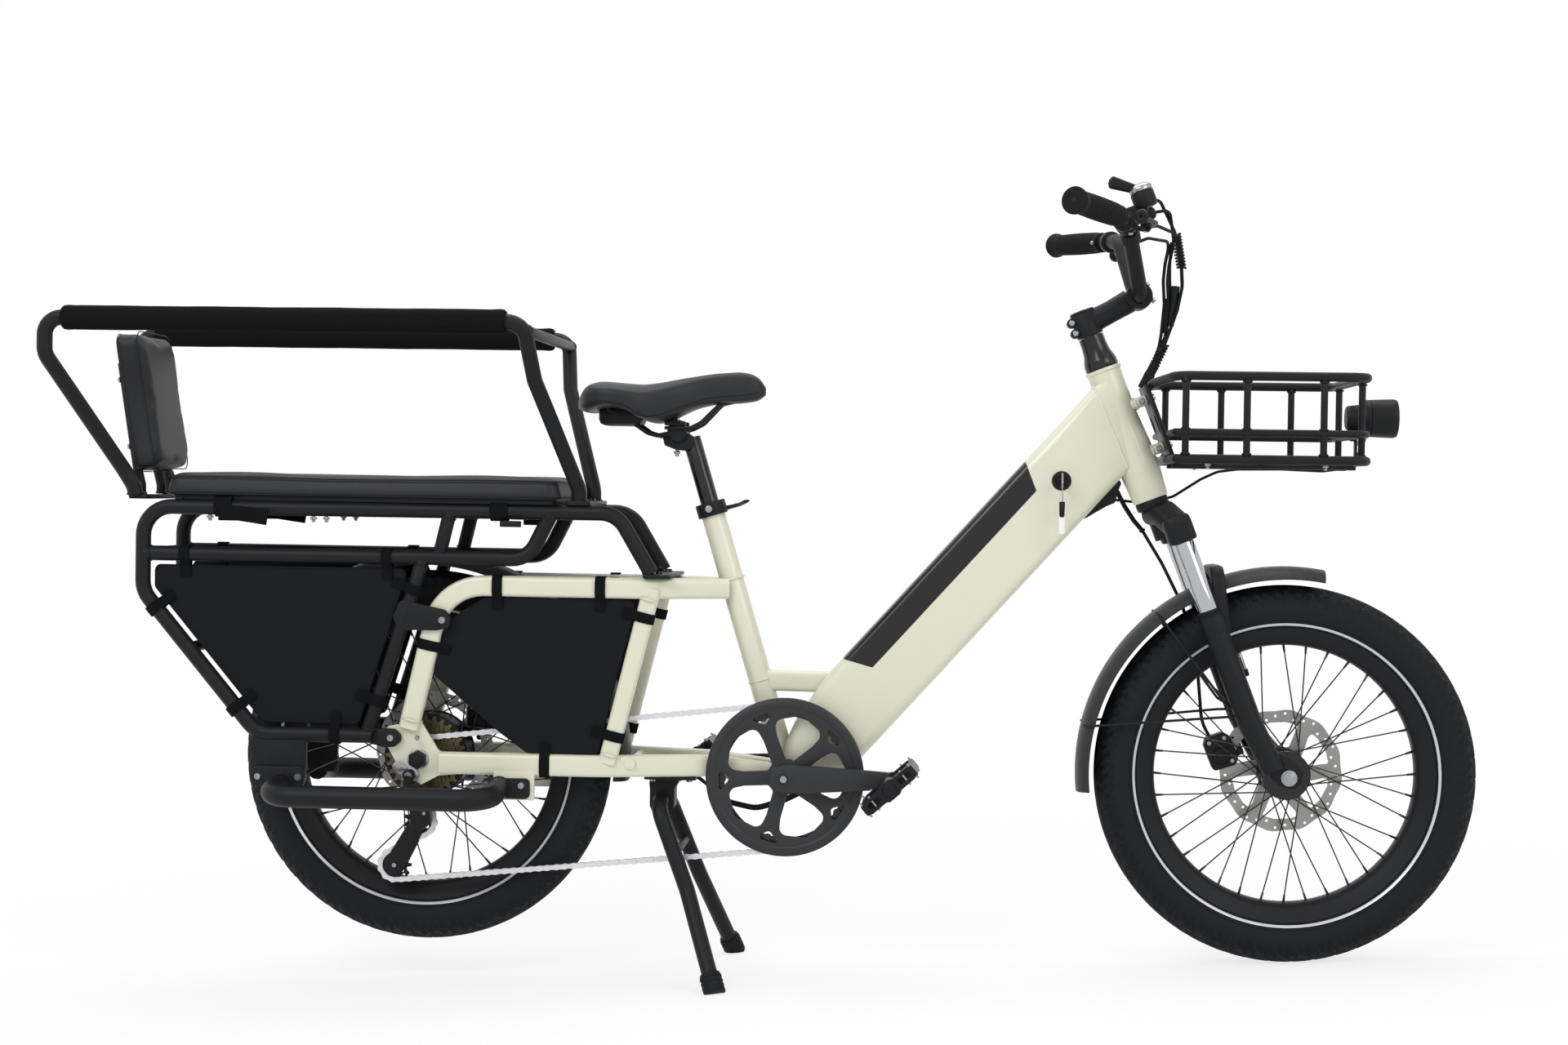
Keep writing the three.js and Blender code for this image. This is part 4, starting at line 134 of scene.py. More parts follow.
def soft_outline(corners, bend, step=18):
    """A closed outline in two directions, with its corners rounded"""
    flat = [Vector((x, y, 0)) for x, y in corners]
    middle = (flat[0] + flat[-1]) / 2
    path = smooth_path([middle, *flat, middle], bend, step)[:-1]
    return [(p.x, p.y) for p in path]


def rounded(width, height, corner, step=18):
    w, h = width / 2, height / 2
    return soft_outline([(w, h), (-w, h), (-w, -h), (w, -h)], corner, step)


# %% Tubes
def stations(path, side):
    side = Vector(side)
    placed = []
    for i, spot in enumerate(path):
        ahead = (path[i + 1] - spot).normalized() if i + 1 < len(path) else Vector()
        behind = (spot - path[i - 1]).normalized() if i else Vector()
        along = (ahead + behind).normalized()
        side = (side - along * side.dot(along)).normalized()
        turn = Matrix((side, along.cross(side), along)).transposed().to_4x4()
        placed.append(Matrix.Translation(spot) @ turn)
    return placed


def sweep(section, points, bend=0, side=(0, 1, 0), sizes=None, step=9):
    path = smooth_path(points, bend, step)
    places = stations(path, side)
    if sizes:
        last = len(places) - 1
        places = [m @ Matrix.Diagonal((*sizes(i / last), 1, 1)) for i, m in enumerate(places)]
    bm = bmesh.new()
    ring = [bm.verts.new(places[0] @ Vector((x, y, 0))) for x, y in section]
    edges = [bm.edges.new(pair) for pair in zip(ring, ring[1:] + ring[:1])]
    bmesh.ops.edgeloop_fill(bm, edges=edges)
    for before, here in zip(places, places[1:]):
        made = bmesh.ops.extrude_edge_only(bm, edges=edges)["geom"]
        verts = {g for g in made if isinstance(g, bmesh.types.BMVert)}
        edges = [g for g in made if isinstance(g, bmesh.types.BMEdge) and verts.issuperset(g.verts)]
        bmesh.ops.transform(bm, matrix=here @ before.inverted(), verts=list(verts))
    bmesh.ops.edgeloop_fill(bm, edges=edges)
    return bm


def pipe(points, radius, bend=0, sides=20, side=(0, 1, 0), sizes=None, step=9):
    points = [Vector(p) for p in points]
    first = (points[1] - points[0]).normalized()
    if abs(first.dot(Vector(side))) > 0.95:
        side = (0, 0, 1)
    return sweep(circle(radius, sides), points, bend, side, sizes, step)


# %% Rods, blocks and beads
def sharp_edges(bm, least=40):
    bm.normal_update()
    return [e for e in bm.edges if len(e.link_faces) == 2 and e.calc_face_angle(0) > math.radians(least)]


def ease(bm, size, least=40, segments=2):
    bmesh.ops.recalc_face_normals(bm, faces=bm.faces)
    bmesh.ops.bevel(
        bm, geom=sharp_edges(bm, least), offset=size, segments=segments, profile=0.5, affect="EDGES",
        clamp_overlap=True, material=-1
    )
    return bm


def towards(start, end):
    start, end = Vector(start), Vector(end)
    return Matrix.Translation(start) @ (end - start).to_track_quat("Z", "Y").to_matrix().to_4x4()


def rod(start, end, radius, end_radius=None, sides=24, edge=0.5):
    bm = bmesh.new()
    long = (Vector(end) - Vector(start)).length
    other = radius if end_radius is None else end_radius
    bmesh.ops.create_cone(bm, cap_ends=True, segments=sides, radius1=radius, radius2=other, depth=long)
    if edge:
        ease(bm, edge, 60 if sides < 12 else 40)
    bm.transform(towards(start, end) @ Matrix.Translation((0, 0, long / 2)))
    return bm


def block(low, high, edge=1.0):
    low, high = Vector(low), Vector(high)
    bm = bmesh.new()
    bmesh.ops.create_cube(bm, size=1)
    bm.transform(Matrix.Translation((low + high) / 2) @ Matrix.Diagonal((*(high - low), 1)))
    return ease(bm, edge) if edge else bm


def bead(middle, way, radius, thick=1.6):
    """The raised ring that a weld leaves round the end of a tube"""
    middle = Vector(middle)
    bm = bmesh.new()
    bmesh.ops.create_circle(bm, cap_ends=False, radius=thick, segments=8)
    bm.transform(Matrix.Translation((radius, 0, 0)) @ Matrix.Rotation(math.pi / 2, 4, "X"))
    bmesh.ops.spin(
        bm, geom=bm.verts[:] + bm.edges[:], cent=(0, 0, 0), axis=(0, 0, 1), angle=2 * math.pi, steps=36,
        use_merge=True
    )
    for vert in bm.verts:
        ripple = 1 + 0.012 * math.sin(math.atan2(vert.co.y, vert.co.x) * round(radius * 0.9))
        vert.co.x, vert.co.y = vert.co.x * ripple, vert.co.y * ripple
    bm.transform(towards(middle, middle + Vector(way)))
    return bm


# %% Plates and turned parts
def plate(outline, near, far, holes=(), edge=0.0):
    """A flat part with its outline in X and Z, between two places across the bicycle"""
    bm = bmesh.new()
    for loop in [outline, *holes]:
        ring = [bm.verts.new((x, near, z)) for x, z in loop]
        for pair in zip(ring, ring[1:] + ring[:1]):
            bm.edges.new(pair)
    bmesh.ops.triangle_fill(bm, use_beauty=True, use_dissolve=False, edges=bm.edges[:], normal=(0, 1, 0))
    made = bmesh.ops.extrude_face_region(bm, geom=bm.faces[:])["geom"]
    verts = [g for g in made if isinstance(g, bmesh.types.BMVert)]
    bmesh.ops.translate(bm, verts=verts, vec=(0, far - near, 0))
    return ease(bm, edge) if edge else bm


def soft_plate(corners, bend, near, far, edge=0.0):
    return plate(soft_outline(corners, bend), near, far, edge=edge)


def laid(corners, bend, low, high, edge):
    """A plate that lies flat, with its outline in X and Y"""
    return moved(
        soft_plate(corners, bend, low, high, edge),
        Matrix(((1, 0, 0, 0), (0, 0, 1, 0), (0, 1, 0, 0), (0, 0, 0, 1)))
    )


def turned(profile, steps=64, middle=(0, 0, 0), closed=False):
    """What a lathe makes: points of radius and place along Y, spun about Y"""
    bm = bmesh.new()
    ring = [bm.verts.new((r, y, 0)) for r, y in profile]
    for pair in zip(ring, ring[1:] + (ring[:1] if closed else [])):
        bm.edges.new(pair)
    bmesh.ops.spin(
        bm, geom=bm.verts[:] + bm.edges[:], cent=(0, 0, 0), axis=(0, 1, 0), angle=2 * math.pi, steps=steps,
        use_merge=True
    )
    bmesh.ops.remove_doubles(bm, verts=bm.verts[:], dist=0.001)
    bm.transform(Matrix.Translation(middle))
    return bm


def stack(rings, capped=True):
    """A skin over loops of as many points each"""
    bm = bmesh.new()
    loops = []
    for ring in rings:
        verts = [bm.verts.new(p) for p in ring]
        loops.append([bm.edges.new(pair) for pair in zip(verts, verts[1:] + verts[:1])])
    for lower, upper in zip(loops, loops[1:]):
        bmesh.ops.bridge_loops(bm, edges=lower + upper)
    for end in (loops[0], loops[-1]) if capped else ():
        bmesh.ops.edgeloop_fill(bm, edges=end)
    return bm


def moved(bm, matrix):
    bm.transform(matrix)
    return bm


# %% [markdown]
# Bolts hold everything, so the one that shows most, a round-headed bolt with a six-sided socket, is made
# properly once: a low dome whose top is inset twice and pushed down in the middle.
# %% Bolts
def bolt(place, way, radius=5.0, high=3.0, socket=True):
    bm = bmesh.new()
    bmesh.ops.create_cone(bm, cap_ends=True, segments=18, radius1=radius, radius2=radius * 0.72, depth=high)
    top = max(bm.faces, key=lambda face: face.calc_center_median().z)
    if socket:
        bmesh.ops.inset_region(bm, faces=[top], thickness=radius * 0.2)
        for vert in top.verts:
            turn = math.atan2(vert.co.y, vert.co.x)
            flat = math.cos(math.pi / 6) / math.cos((turn + math.pi / 6) % (math.pi / 3) - math.pi / 6)
            size = radius * 0.46 * flat / math.hypot(vert.co.x, vert.co.y)
            vert.co.x, vert.co.y = vert.co.x * size, vert.co.y * size
        sunk = bmesh.ops.extrude_face_region(bm, geom=[top])["geom"]
        verts = [g for g in sunk if isinstance(g, bmesh.types.BMVert)]
        bmesh.ops.translate(bm, verts=verts, vec=(0, 0, -high * 0.6))
        bmesh.ops.delete(bm, geom=[top], context="FACES_ONLY")
    place = Vector(place)
    bm.transform(towards(place, place + Vector(way)) @ Matrix.Translation((0, 0, high / 2)))
    return bm


def nut(place, way, radius=8.0, high=6.0, thread=4.0):
    place, way = Vector(place), Vector(way).normalized()
    ring = rod(place, place + way * high, radius, sides=6, edge=0.7)
    end = rod(place + way * high, place + way * (high + thread), radius * 0.52, sides=20, edge=0.6)
    return [ring, end]


def bolt_circle(radius, y, size, high):
    """Six bolts round an axle that runs along Y"""
    return [bolt((x, y, z), (0, 1, 0), size, high) for x, z in circle(radius, 6, start=math.pi / 6)]


# %% [markdown]
# Every piece is finished the same way: its parts are put together in drawing places, turned into scene places
# once, and given to the body that carries them. Smooth shading breaks only where two faces meet at a real
# corner.
# %% Finishing a piece
def gather(parts):
    whole, finishes = bmesh.new(), []
    for finish, made in parts:
        for part in made if isinstance(made, list) else [made]:
            if finish not in finishes:
                finishes.append(finish)
            bmesh.ops.recalc_face_normals(part, faces=part.faces)
            for face in part.faces:
                face.material_index = finishes.index(finish)
            mesh = bpy.data.meshes.new("part")
            part.to_mesh(mesh)
            part.free()
            whole.from_mesh(mesh)
            bpy.data.meshes.remove(mesh)
    return whole, finishes


def piece(name, body, parts, nodes=(), place=BIKE, corner=33):
    whole, finishes = gather(parts)
    whole.transform(place)
    mesh = bpy.data.meshes.new(name)
    whole.to_mesh(mesh)
    whole.free()
    for finish in finishes:
        mesh.materials.append(finish)
    mesh.shade_smooth()
    mesh.set_sharp_from_angle(angle=math.radians(corner))
    made = bpy.data.objects.new(name, mesh)
    bpy.context.collection.objects.link(made)
    if body:
        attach(made, body)
    if nodes:
        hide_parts(*([nodes] if isinstance(nodes, str) else nodes))
    print(name, "has", len(mesh.polygons), "faces")
    return made


def cut(part, *tools):
    """What is left of a part after other forms are taken from it"""
    def holder(bm, name):
        bmesh.ops.recalc_face_normals(bm, faces=bm.faces)
        mesh = bpy.data.meshes.new(name)
        bm.to_mesh(mesh)
        bm.free()
        held = bpy.data.objects.new(name, mesh)
        bpy.context.collection.objects.link(held)
        return held

    body = holder(part, "cut_body")
    cutters = [holder(tool, "cutter") for tool in tools]
    for cutter in cutters:
        step = body.modifiers.new("cut", "BOOLEAN")
        step.operation, step.solver, step.object = "DIFFERENCE", "EXACT", cutter
    left = bmesh.new()
    left.from_mesh(body.evaluated_get(bpy.context.evaluated_depsgraph_get()).to_mesh())
    for used in [body, *cutters]:
        bpy.data.objects.remove(used)
    return left


# %% [markdown]
# No surface on a real machine is one flat colour. One helper makes a finish from noise: the colour drifts a
# little, the roughness drifts more, and a fine bump breaks the reflections. Each finish then says how strong
# each of these is. A dark matt finish also gets little shine, since a white room would otherwise turn it
# grey.
# %% The base of every finish
def shade(red, green, blue):
    def linear(value):
        value /= 255
        return value / 12.92 if value < 0.04045 else ((value + 0.055) / 1.055) ** 2.4

    return (linear(red), linear(green), linear(blue), 1)


def put(node, **values):
    for name, value in values.items():
        node.inputs[name.replace("_", " ")].default_value = value


def finish(
    name, colour, rough, metal=0.0, grain=400, depth=0.05, drift=0.08, rough_drift=0.06, wide=9, coat=0.0,
    shine=0.5
):
    """grain and depth are the fine bump; drift and rough_drift vary over patches of the size of wide"""
    made = bpy.data.materials.new(name)
    made.use_nodes = True
    nodes, links = made.node_tree.nodes, made.node_tree.links
    shader = nodes["Principled BSDF"]
    put(shader, Metallic=metal, Coat_Weight=coat, Specular_IOR_Level=shine, Coat_Roughness=0.12)
    place = nodes.new("ShaderNodeTexCoord")
    broad = nodes.new("ShaderNodeTexNoise")
    put(broad, Scale=wide, Detail=5)
    links.new(place.outputs["Object"], broad.inputs["Vector"])
    tint = nodes.new("ShaderNodeMix")
    tint.data_type = "RGBA"
    tint.inputs["A"].default_value = (*[c * (1 - drift) for c in colour[:3]], 1)
    tint.inputs["B"].default_value = (*[min(c * (1 + drift), 1) for c in colour[:3]], 1)
    links.new(broad.outputs["Fac"], tint.inputs["Factor"])
    links.new(tint.outputs["Result"], shader.inputs["Base Color"])
    fine = nodes.new("ShaderNodeTexNoise")
    put(fine, Scale=grain, Detail=3)
    links.new(place.outputs["Object"], fine.inputs["Vector"])
    polish = nodes.new("ShaderNodeMapRange")
    put(polish, To_Min=max(rough - rough_drift, 0.02), To_Max=min(rough + rough_drift, 1))
    links.new(broad.outputs["Fac"], polish.inputs["Value"])
    links.new(polish.outputs["Result"], shader.inputs["Roughness"])
    bump = nodes.new("ShaderNodeBump")
    put(bump, Strength=depth, Distance=0.001)
    links.new(fine.outputs["Fac"], bump.inputs["Height"])
    links.new(bump.outputs["Normal"], shader.inputs["Normal"])
    made["parts"] = {"tint": tint.name, "bump": bump.name, "fine": fine.name}
    return made


def part_of(material, name):
    return material.node_tree.nodes[material["parts"][name]]


def add_pattern(material, height, share, painted_shade_highlight=None):
    """A second height on top of the fine grain, which may also paint shade into its hollows and a highlight
    onto its peaks
    """
    nodes, links = material.node_tree.nodes, material.node_tree.links
    bump, fine, tint = (part_of(material, name) for name in ("bump", "fine", "tint"))
    both = nodes.new("ShaderNodeMix")
    put(both, Factor=share)
    links.new(fine.outputs["Fac"], both.inputs["A"])
    links.new(height, both.inputs["B"])
    links.new(both.outputs["Result"], bump.inputs["Height"])
    # The colour is scaled by the height: painted shade in the hollows and a painted highlight on the peaks.
    if painted_shade_highlight:
        painted_relief = nodes.new("ShaderNodeMapRange")
        put(painted_relief, To_Min=painted_shade_highlight[0], To_Max=painted_shade_highlight[1])
        links.new(height, painted_relief.inputs["Value"])
        shadow = nodes.new("ShaderNodeVectorMath")
        shadow.operation = "SCALE"
        links.new(tint.outputs["Result"], shadow.inputs[0])
        links.new(painted_relief.outputs["Result"], shadow.inputs["Scale"])
        links.new(shadow.outputs["Vector"], nodes["Principled BSDF"].inputs["Base Color"])


# %% [markdown]
# The frame is sprayed cream with a clear coat over it. The rack, rails, stand and bar are powder coated:
# satin black with the fine orange-peel grain that the powder leaves. Bright parts are plated or machined.
# %% Painted and metal finishes
cream = finish("cream_paint", shade(214, 213, 192), 0.33, 0.0, 900, 0.02, 0.02, 0.05, 6, coat=0.35)
black = finish("black_powder", shade(26, 27, 29), 0.42, 0.0, 1400, 0.22, 0.10, 0.07, 14, shine=0.16)
gloss_black = finish(
    "gloss_black", shade(14, 14, 16), 0.2, 0.0, 900, 0.04, 0.08, 0.06, 12, coat=0.25, shine=0.3
)
anodised = finish("anodised_black", shade(36, 36, 39), 0.34, 0.75, 1100, 0.10, 0.10, 0.08, 18, shine=0.3)
silver = finish("silver_bolt", shade(158, 159, 163), 0.27, 0.95, 700, 0.08, 0.10, 0.10, 40)
steel = finish("rotor_steel", shade(152, 151, 148), 0.34, 0.8, 600, 0.12, 0.08, 0.08, 20)
chrome = finish("chrome_tube", shade(180, 182, 187), 0.08, 1.0, 300, 0.01, 0.03, 0.03, 12)
chain_steel = finish("chain_steel", shade(216, 216, 220), 0.34, 0.55, 500, 0.08, 0.10, 0.08, 60)
bronze = finish("freewheel_steel", shade(108, 98, 74), 0.38, 0.85, 500, 0.10, 0.14, 0.08, 40)
print("metal finishes:", len(bpy.data.materials))


# %% [markdown]
# Rubber and foam are matt. The foam sleeve has open pores, so a Voronoi pattern gives it small pits, with
# painted shade in the pits and a painted highlight on the foam between them; the tyre rubber only gets a soft
# grain and a dusty drift of colour.
# %% Rubber, foam and plastic
def pattern_node(material, kind, scale):
    nodes, links = material.node_tree.nodes, material.node_tree.links
    place = nodes.new("ShaderNodeTexCoord")
    made = nodes.new(kind)
    put(made, Scale=scale)
    links.new(place.outputs["Object"], made.inputs["Vector"])
    return made


rubber = finish("tyre_rubber", shade(26, 28, 31), 0.62, 0.0, 700, 0.18, 0.12, 0.08, 16, shine=0.12)
grip_rubber = finish("grip_rubber", shade(26, 26, 28), 0.66, 0.0, 900, 0.25, 0.10, 0.06, 30, shine=0.1)
foam = finish("rail_foam", shade(20, 20, 21), 0.88, 0.0, 1500, 0.5, 0.12, 0.05, 20, shine=0.06)
# The pits get painted shade and the foam between them a painted highlight.
add_pattern(foam, pattern_node(foam, "ShaderNodeTexVoronoi", 900).outputs["Distance"], 0.6, (0.8, 1.15))
plastic = finish("black_plastic", shade(22, 23, 25), 0.46, 0.0, 1200, 0.14, 0.10, 0.06, 20, shine=0.18)
guard_plastic = finish("mudguard_plastic", shade(46, 47, 49), 0.44, 0.0, 800, 0.10, 0.10, 0.07, 8, shine=0.25)
stripe = finish("reflective_stripe", shade(206, 207, 210), 0.3, 0.25, 900, 0.05, 0.05, 0.05, 30)
white_plastic = finish("white_tab", shade(232, 232, 230), 0.4, 0.0, 900, 0.05, 0.03, 0.05, 30)
lens = finish("lamp_lens", shade(150, 154, 160), 0.12, 0.3, 300, 0.05, 0.10, 0.04, 60, coat=0.5)

# %% [markdown]
# The side panels are a coated cloth with a visible weave, and the straps are ribbed tape. Two wave patterns
# that cross make the weave; where both are low, painted shade darkens a pinhole, and the raised threads get a
# painted highlight. The pads wear a smooth artificial leather with a pebbled grain, which a small Voronoi
# pattern gives, and so does the saddle.
# %% Cloth and leather finishes
def weave(material, across, share, painted_shade_highlight, directions=("X", "Z")):
    nodes, links = material.node_tree.nodes, material.node_tree.links
    waves = []
    for direction in directions:
        wave = pattern_node(material, "ShaderNodeTexWave", across)
        wave.bands_direction = direction
        waves.append(wave)
    both = nodes.new("ShaderNodeMath")
    both.operation = "MULTIPLY"
    for wave, socket in zip(waves, both.inputs):
        links.new(wave.outputs["Fac"], socket)
    add_pattern(material, both.outputs["Value"], share, painted_shade_highlight)


panel_cloth = finish("panel_cloth", shade(21, 24, 27), 0.66, 0.0, 1100, 0.35, 0.08, 0.06, 5, shine=0.1)
# Painted shade in the weave's hollows and a painted highlight on its threads.
weave(panel_cloth, 190, 0.5, (0.86, 1.12))
strap_tape = finish("strap_tape", shade(16, 17, 19), 0.78, 0.0, 1300, 0.4, 0.10, 0.05, 25, shine=0.08)
# Painted shade in the tape's hollows and a painted highlight on its ribs.
weave(strap_tape, 150, 0.6, (0.8, 1.15))
leather = finish("pad_leather", shade(35, 36, 38), 0.45, 0.0, 1500, 0.16, 0.06, 0.06, 8, shine=0.22)
add_pattern(leather, pattern_node(leather, "ShaderNodeTexVoronoi", 620).outputs["Distance"], 0.55)
saddle_skin = finish("saddle_skin", shade(40, 41, 43), 0.42, 0.0, 1300, 0.16, 0.06, 0.06, 10, shine=0.2)
add_pattern(saddle_skin, pattern_node(saddle_skin, "ShaderNodeTexVoronoi", 520).outputs["Distance"], 0.5)
piping = finish("pad_piping", shade(28, 29, 31), 0.5, 0.0, 900, 0.15, 0.08, 0.05, 40, shine=0.15)
print("finishes:", len([m for m in bpy.data.materials if "parts" in m]))

# %% [markdown]
# The main frame is welded from aluminium: a deep down tube that holds the battery, a head tube, a seat tube,
# and twin rails that run back from the seat tube and turn down to the rear axle. The down tube is a rounded
# box that narrows at both ends, so its section is scaled as it is swept.
# %% Down tube, with its slot for the battery
RAIL_HIGH, STAY_HIGH = 527, 269


def down_ring(along, half, top, low, corner, slope=0.0):
    ring = rounded(half * 2, top - low, corner)
    middle = (top + low) / 2
    return [on_down(along + (z + middle) * slope, y, z + middle) for y, z in ring]


head_gap = on_head(0, 0, 0) - on_down(0, 0, 0)
run = head_gap.x * math.cos(DOWN_LEAN) + head_gap.z * math.sin(DOWN_LEAN)
rise = head_gap.z * math.cos(DOWN_LEAN) - head_gap.x * math.sin(DOWN_LEAN)
slope = math.tan(DOWN_LEAN - HEAD_LEAN)
head_along = run - rise * slope
rings = [
    (11, 31, 22, -37, 12, 0), (36, 35, 38, -50, 14, 0), (66, 38, 48, -59, 16, 0), (138, 38, 59, -59, 16, 0),
    (head_along - 128, 38, 59, -59, 16, slope * 0.3), (head_along - 96, 37.6, 59, -59, 16, slope * 0.5),
    (head_along - 60, 35, 59, -59, 15, slope * 0.7), (head_along - 28, 29.5, 59, -59, 13, slope * 0.88),
    (head_along, 24, 59, -59, 11, slope)
]
down_tube = stack([down_ring(*ring) for ring in rings])
gap = [
    (a + s, up)
    for (a, up), s in zip(
        [(182, 70), (182, 59), (202, 18.6), (550, 18.6), (570, 59), (570, 70)],
        (-0.4, -0.4, -0.2, 0.2, 0.4, 0.4)
    )
]
slot_tool = plate([(on_down(a, 0, up).x, on_down(a, 0, up).z) for a, up in gap], -60, 60)
lock_tool = rod(on_down(585, -60, 2), on_down(585, -26, 2), 10.6)
down_tube = cut(down_tube, slot_tool, lock_tool)
print("down tube reaches the head tube at", round(head_along, 1))

# %% [markdown]
# The head tube swells low down, where the down tube meets it, and carries four short bosses for the basket.
# It is turned in its own upright and then leaned back with the steering.
# %% Head tube and its bosses
HEAD_UP = TURN_HEAD @ Matrix.Rotation(math.pi / 2, 4, "X")
head_profile = [
    (15.4, 0), (25, 0), (26, 1), (26.2, 4), (27.6, 22), (29, 42), (29, 66), (28, 84), (26.4, 104), (25, 124),
    (24.5, 150), (24.5, 196), (26.5, 197.5), (26.5, 201), (25.6, 202), (15.4, 202)
]
head_tube = moved(turned(head_profile, 72, closed=True), HEAD_UP)
bosses, boss_bolts = [], []
for up in (138, 66):
    for y in (8, -8):
        bosses.append(rod(on_head(12, y, up), on_head(43, y, up), 8, 7.6, edge=1))
        bosses.append(bead(on_head(26.5, y, up), on_head(1, 0, 0) - on_head(0, 0, 0), 8, 1.6))
    boss_bolts.append(bolt(on_head(36, -15.6, up), (0, -1, 0), 4.6, 2.6))
neck_weld = [Vector(p) for p in down_ring(head_along - 22, 27.6, 59.6, -59.6, 13, slope * 0.9)]
neck_bead = pipe([*neck_weld, neck_weld[0]], 2.2, sides=8)
print("head tube length", head_profile[-1][1])

# %% [markdown]
# The rails and stays have a flattened, rounded section. Each side is swept along its own path, then mirrored
# by changing the sign of Y, and the pieces run into each other as welded tubes do, with a bead at each joint.
# %% Seat tube, rails, stays and dropouts
seat_tube = rod(on_seat(0), on_seat(413), 17.5, sides=40, edge=0.8)
shell = cut(
    rod(BRACKET + Vector((0, -34, 0)), BRACKET + Vector((0, 34, 0)), 22, sides=40, edge=1),
    rod(BRACKET + Vector((0, -40, 0)), BRACKET + Vector((0, 40, 0)), 17.3, sides=36)
)
gusset = sweep(rounded(24, 30, 6), [on_seat(142), on_down(184, 0, 0)])
DROPOUT = [
    (-54, 306), (-46, 320), (2, 330), (30, 285), (92, 284), (92, 256), (30, 250), (4, 236), (-20, 236),
    (-30, 262)
]
sides = []
for sign in (1, -1):
    rail_foot = on_seat((RAIL_HIGH - BRACKET.z) / math.cos(SEAT_LEAN)).x - 8.7
    rail_path = [
        (rail_foot, sign * 20, RAIL_HIGH), (330, sign * 74, RAIL_HIGH), (33, sign * 76, RAIL_HIGH),
        (-14, sign * 76, 318)
    ]
    sides.append(sweep(rounded(20, 30, 7), rail_path, 75))
    stay_path = [
        (32, sign * 74, STAY_HIGH), (255, sign * 74, STAY_HIGH), (420, sign * 33, STAY_HIGH),
        (521.5, sign * 24, BRACKET.z)
    ]
    sides.append(sweep(rounded(20, 32, 7), stay_path, 75))
    sides.append(sweep(rounded(16, 26, 6), [(338, sign * 74, RAIL_HIGH), (276, sign * 74, AXLE_HIGH)]))
    near, far = sorted((sign * 68.3, sign * 75))
    drop = soft_plate(DROPOUT, 8, near, far, 1)
    sides.append(cut(drop, rod((0, sign * 60, AXLE_HIGH), (0, sign * 84, AXLE_HIGH), 6.4)))
    tab_near, tab_far = sorted((sign * 78, sign * 84))
    sides.append(block((112, tab_near, 218), (172, tab_far, 262), 2))
    for place, way, size in [
        ((333.5, sign * 74, 511.5), (-62, 0, -254), 13), ((280.5, sign * 74, 286), (62, 0, 254), 13),
        ((-10, sign * 76, 331), (47, 0, 209), 15)
    ]:
        sides.append(bead(place, way, size, 1.5))
bridges = [
    rod((309, -74, AXLE_HIGH), (309, 74, AXLE_HIGH), 8), rod((330, -74, RAIL_HIGH), (330, 74, RAIL_HIGH), 8)
]
seat_way = on_seat(1) - on_seat(0)
welds = [
    bead(on_seat(up), seat_way, radius, thick)
    for up, radius, thick in ((296, 18.2, 1.8), (24, 19, 2), (142, 18, 1.4))
]
print("frame sides:", len(sides), "parts")

# %% [markdown]
# Small black and silver parts belong to the frame too: the cable cover behind the head tube, a bolt in the
# gusset and two on each side above the rear axle.
# %% The finished frame
cover_outline = [
    (on_down(along, 0, up).x, on_down(along, 0, up).z)
    for along, up in [
        (642, -50), (643, -64), (629, -69), (615, -77), (602, -71), (586, -66), (566, -60), (566, -46)
    ]
]
cable_cover = soft_plate(cover_outline, 5, -15, 15, 3)
gusset_spot = on_down(138, 0, 0)
frame_bolts = [bolt((gusset_spot.x + 8, -12.4, gusset_spot.z + 4), (0, -1, 0), 3.4, 2)]
for sign in (1, -1):
    frame_bolts += [bolt((x, sign * 86, z), (0, sign, 0), r, 3.4) for x, z, r in ((20, 478, 6), (0, 305, 4))]
piece(
    "frame", "frame",
    [
        (
            cream,
            [down_tube, head_tube, *bosses, neck_bead, seat_tube, shell, gusset, *sides, *bridges, *welds]
        ), (silver, boss_bolts + frame_bolts), (plastic, [cable_cover])
    ], nodes="main_frame"
)

# %% [markdown]
# The battery slides into the down tube from above. Its cover is the dark slanted face that shows in the tube,
# with a slight crown and eased edges; the pack itself goes down inside the tube.
# %% Battery and lock
def battery_ring(half, rise):
    inward = 20 * rise / 40
    corners = [(182.6 + inward, 59 - rise), (202.6, 19.2), (549.4, 19.2), (569.4 - inward, 59 - rise)]
    return [on_down(a, half, up) for a, up in corners]


cover = stack([
    battery_ring(half, rise)
    for half, rise in (
        (-38.2, 13), (-38, 8), (-35.5, 3.2), (-30, 0.6), (-15, -0.6), (15, -0.6), (30, 0.6), (35.5, 3.2),
        (38, 8), (38.2, 13)
    )
])
pack = block((218, -29, -50), (538, 29, 22), 3)
pack.transform(Matrix.Translation(on_down(0, 0, 0)) @ Matrix.Rotation(-DOWN_LEAN, 4, "Y"))
piece(
    "battery", "battery", [(gloss_black, [cover]), (plastic, [pack])], nodes="battery_pack",
    corner=50
)
LOCK = on_down(585, 0, 2)


def at_lock(x, y, z):
    return Vector((LOCK.x + x, -38.3 + y, LOCK.z + z))


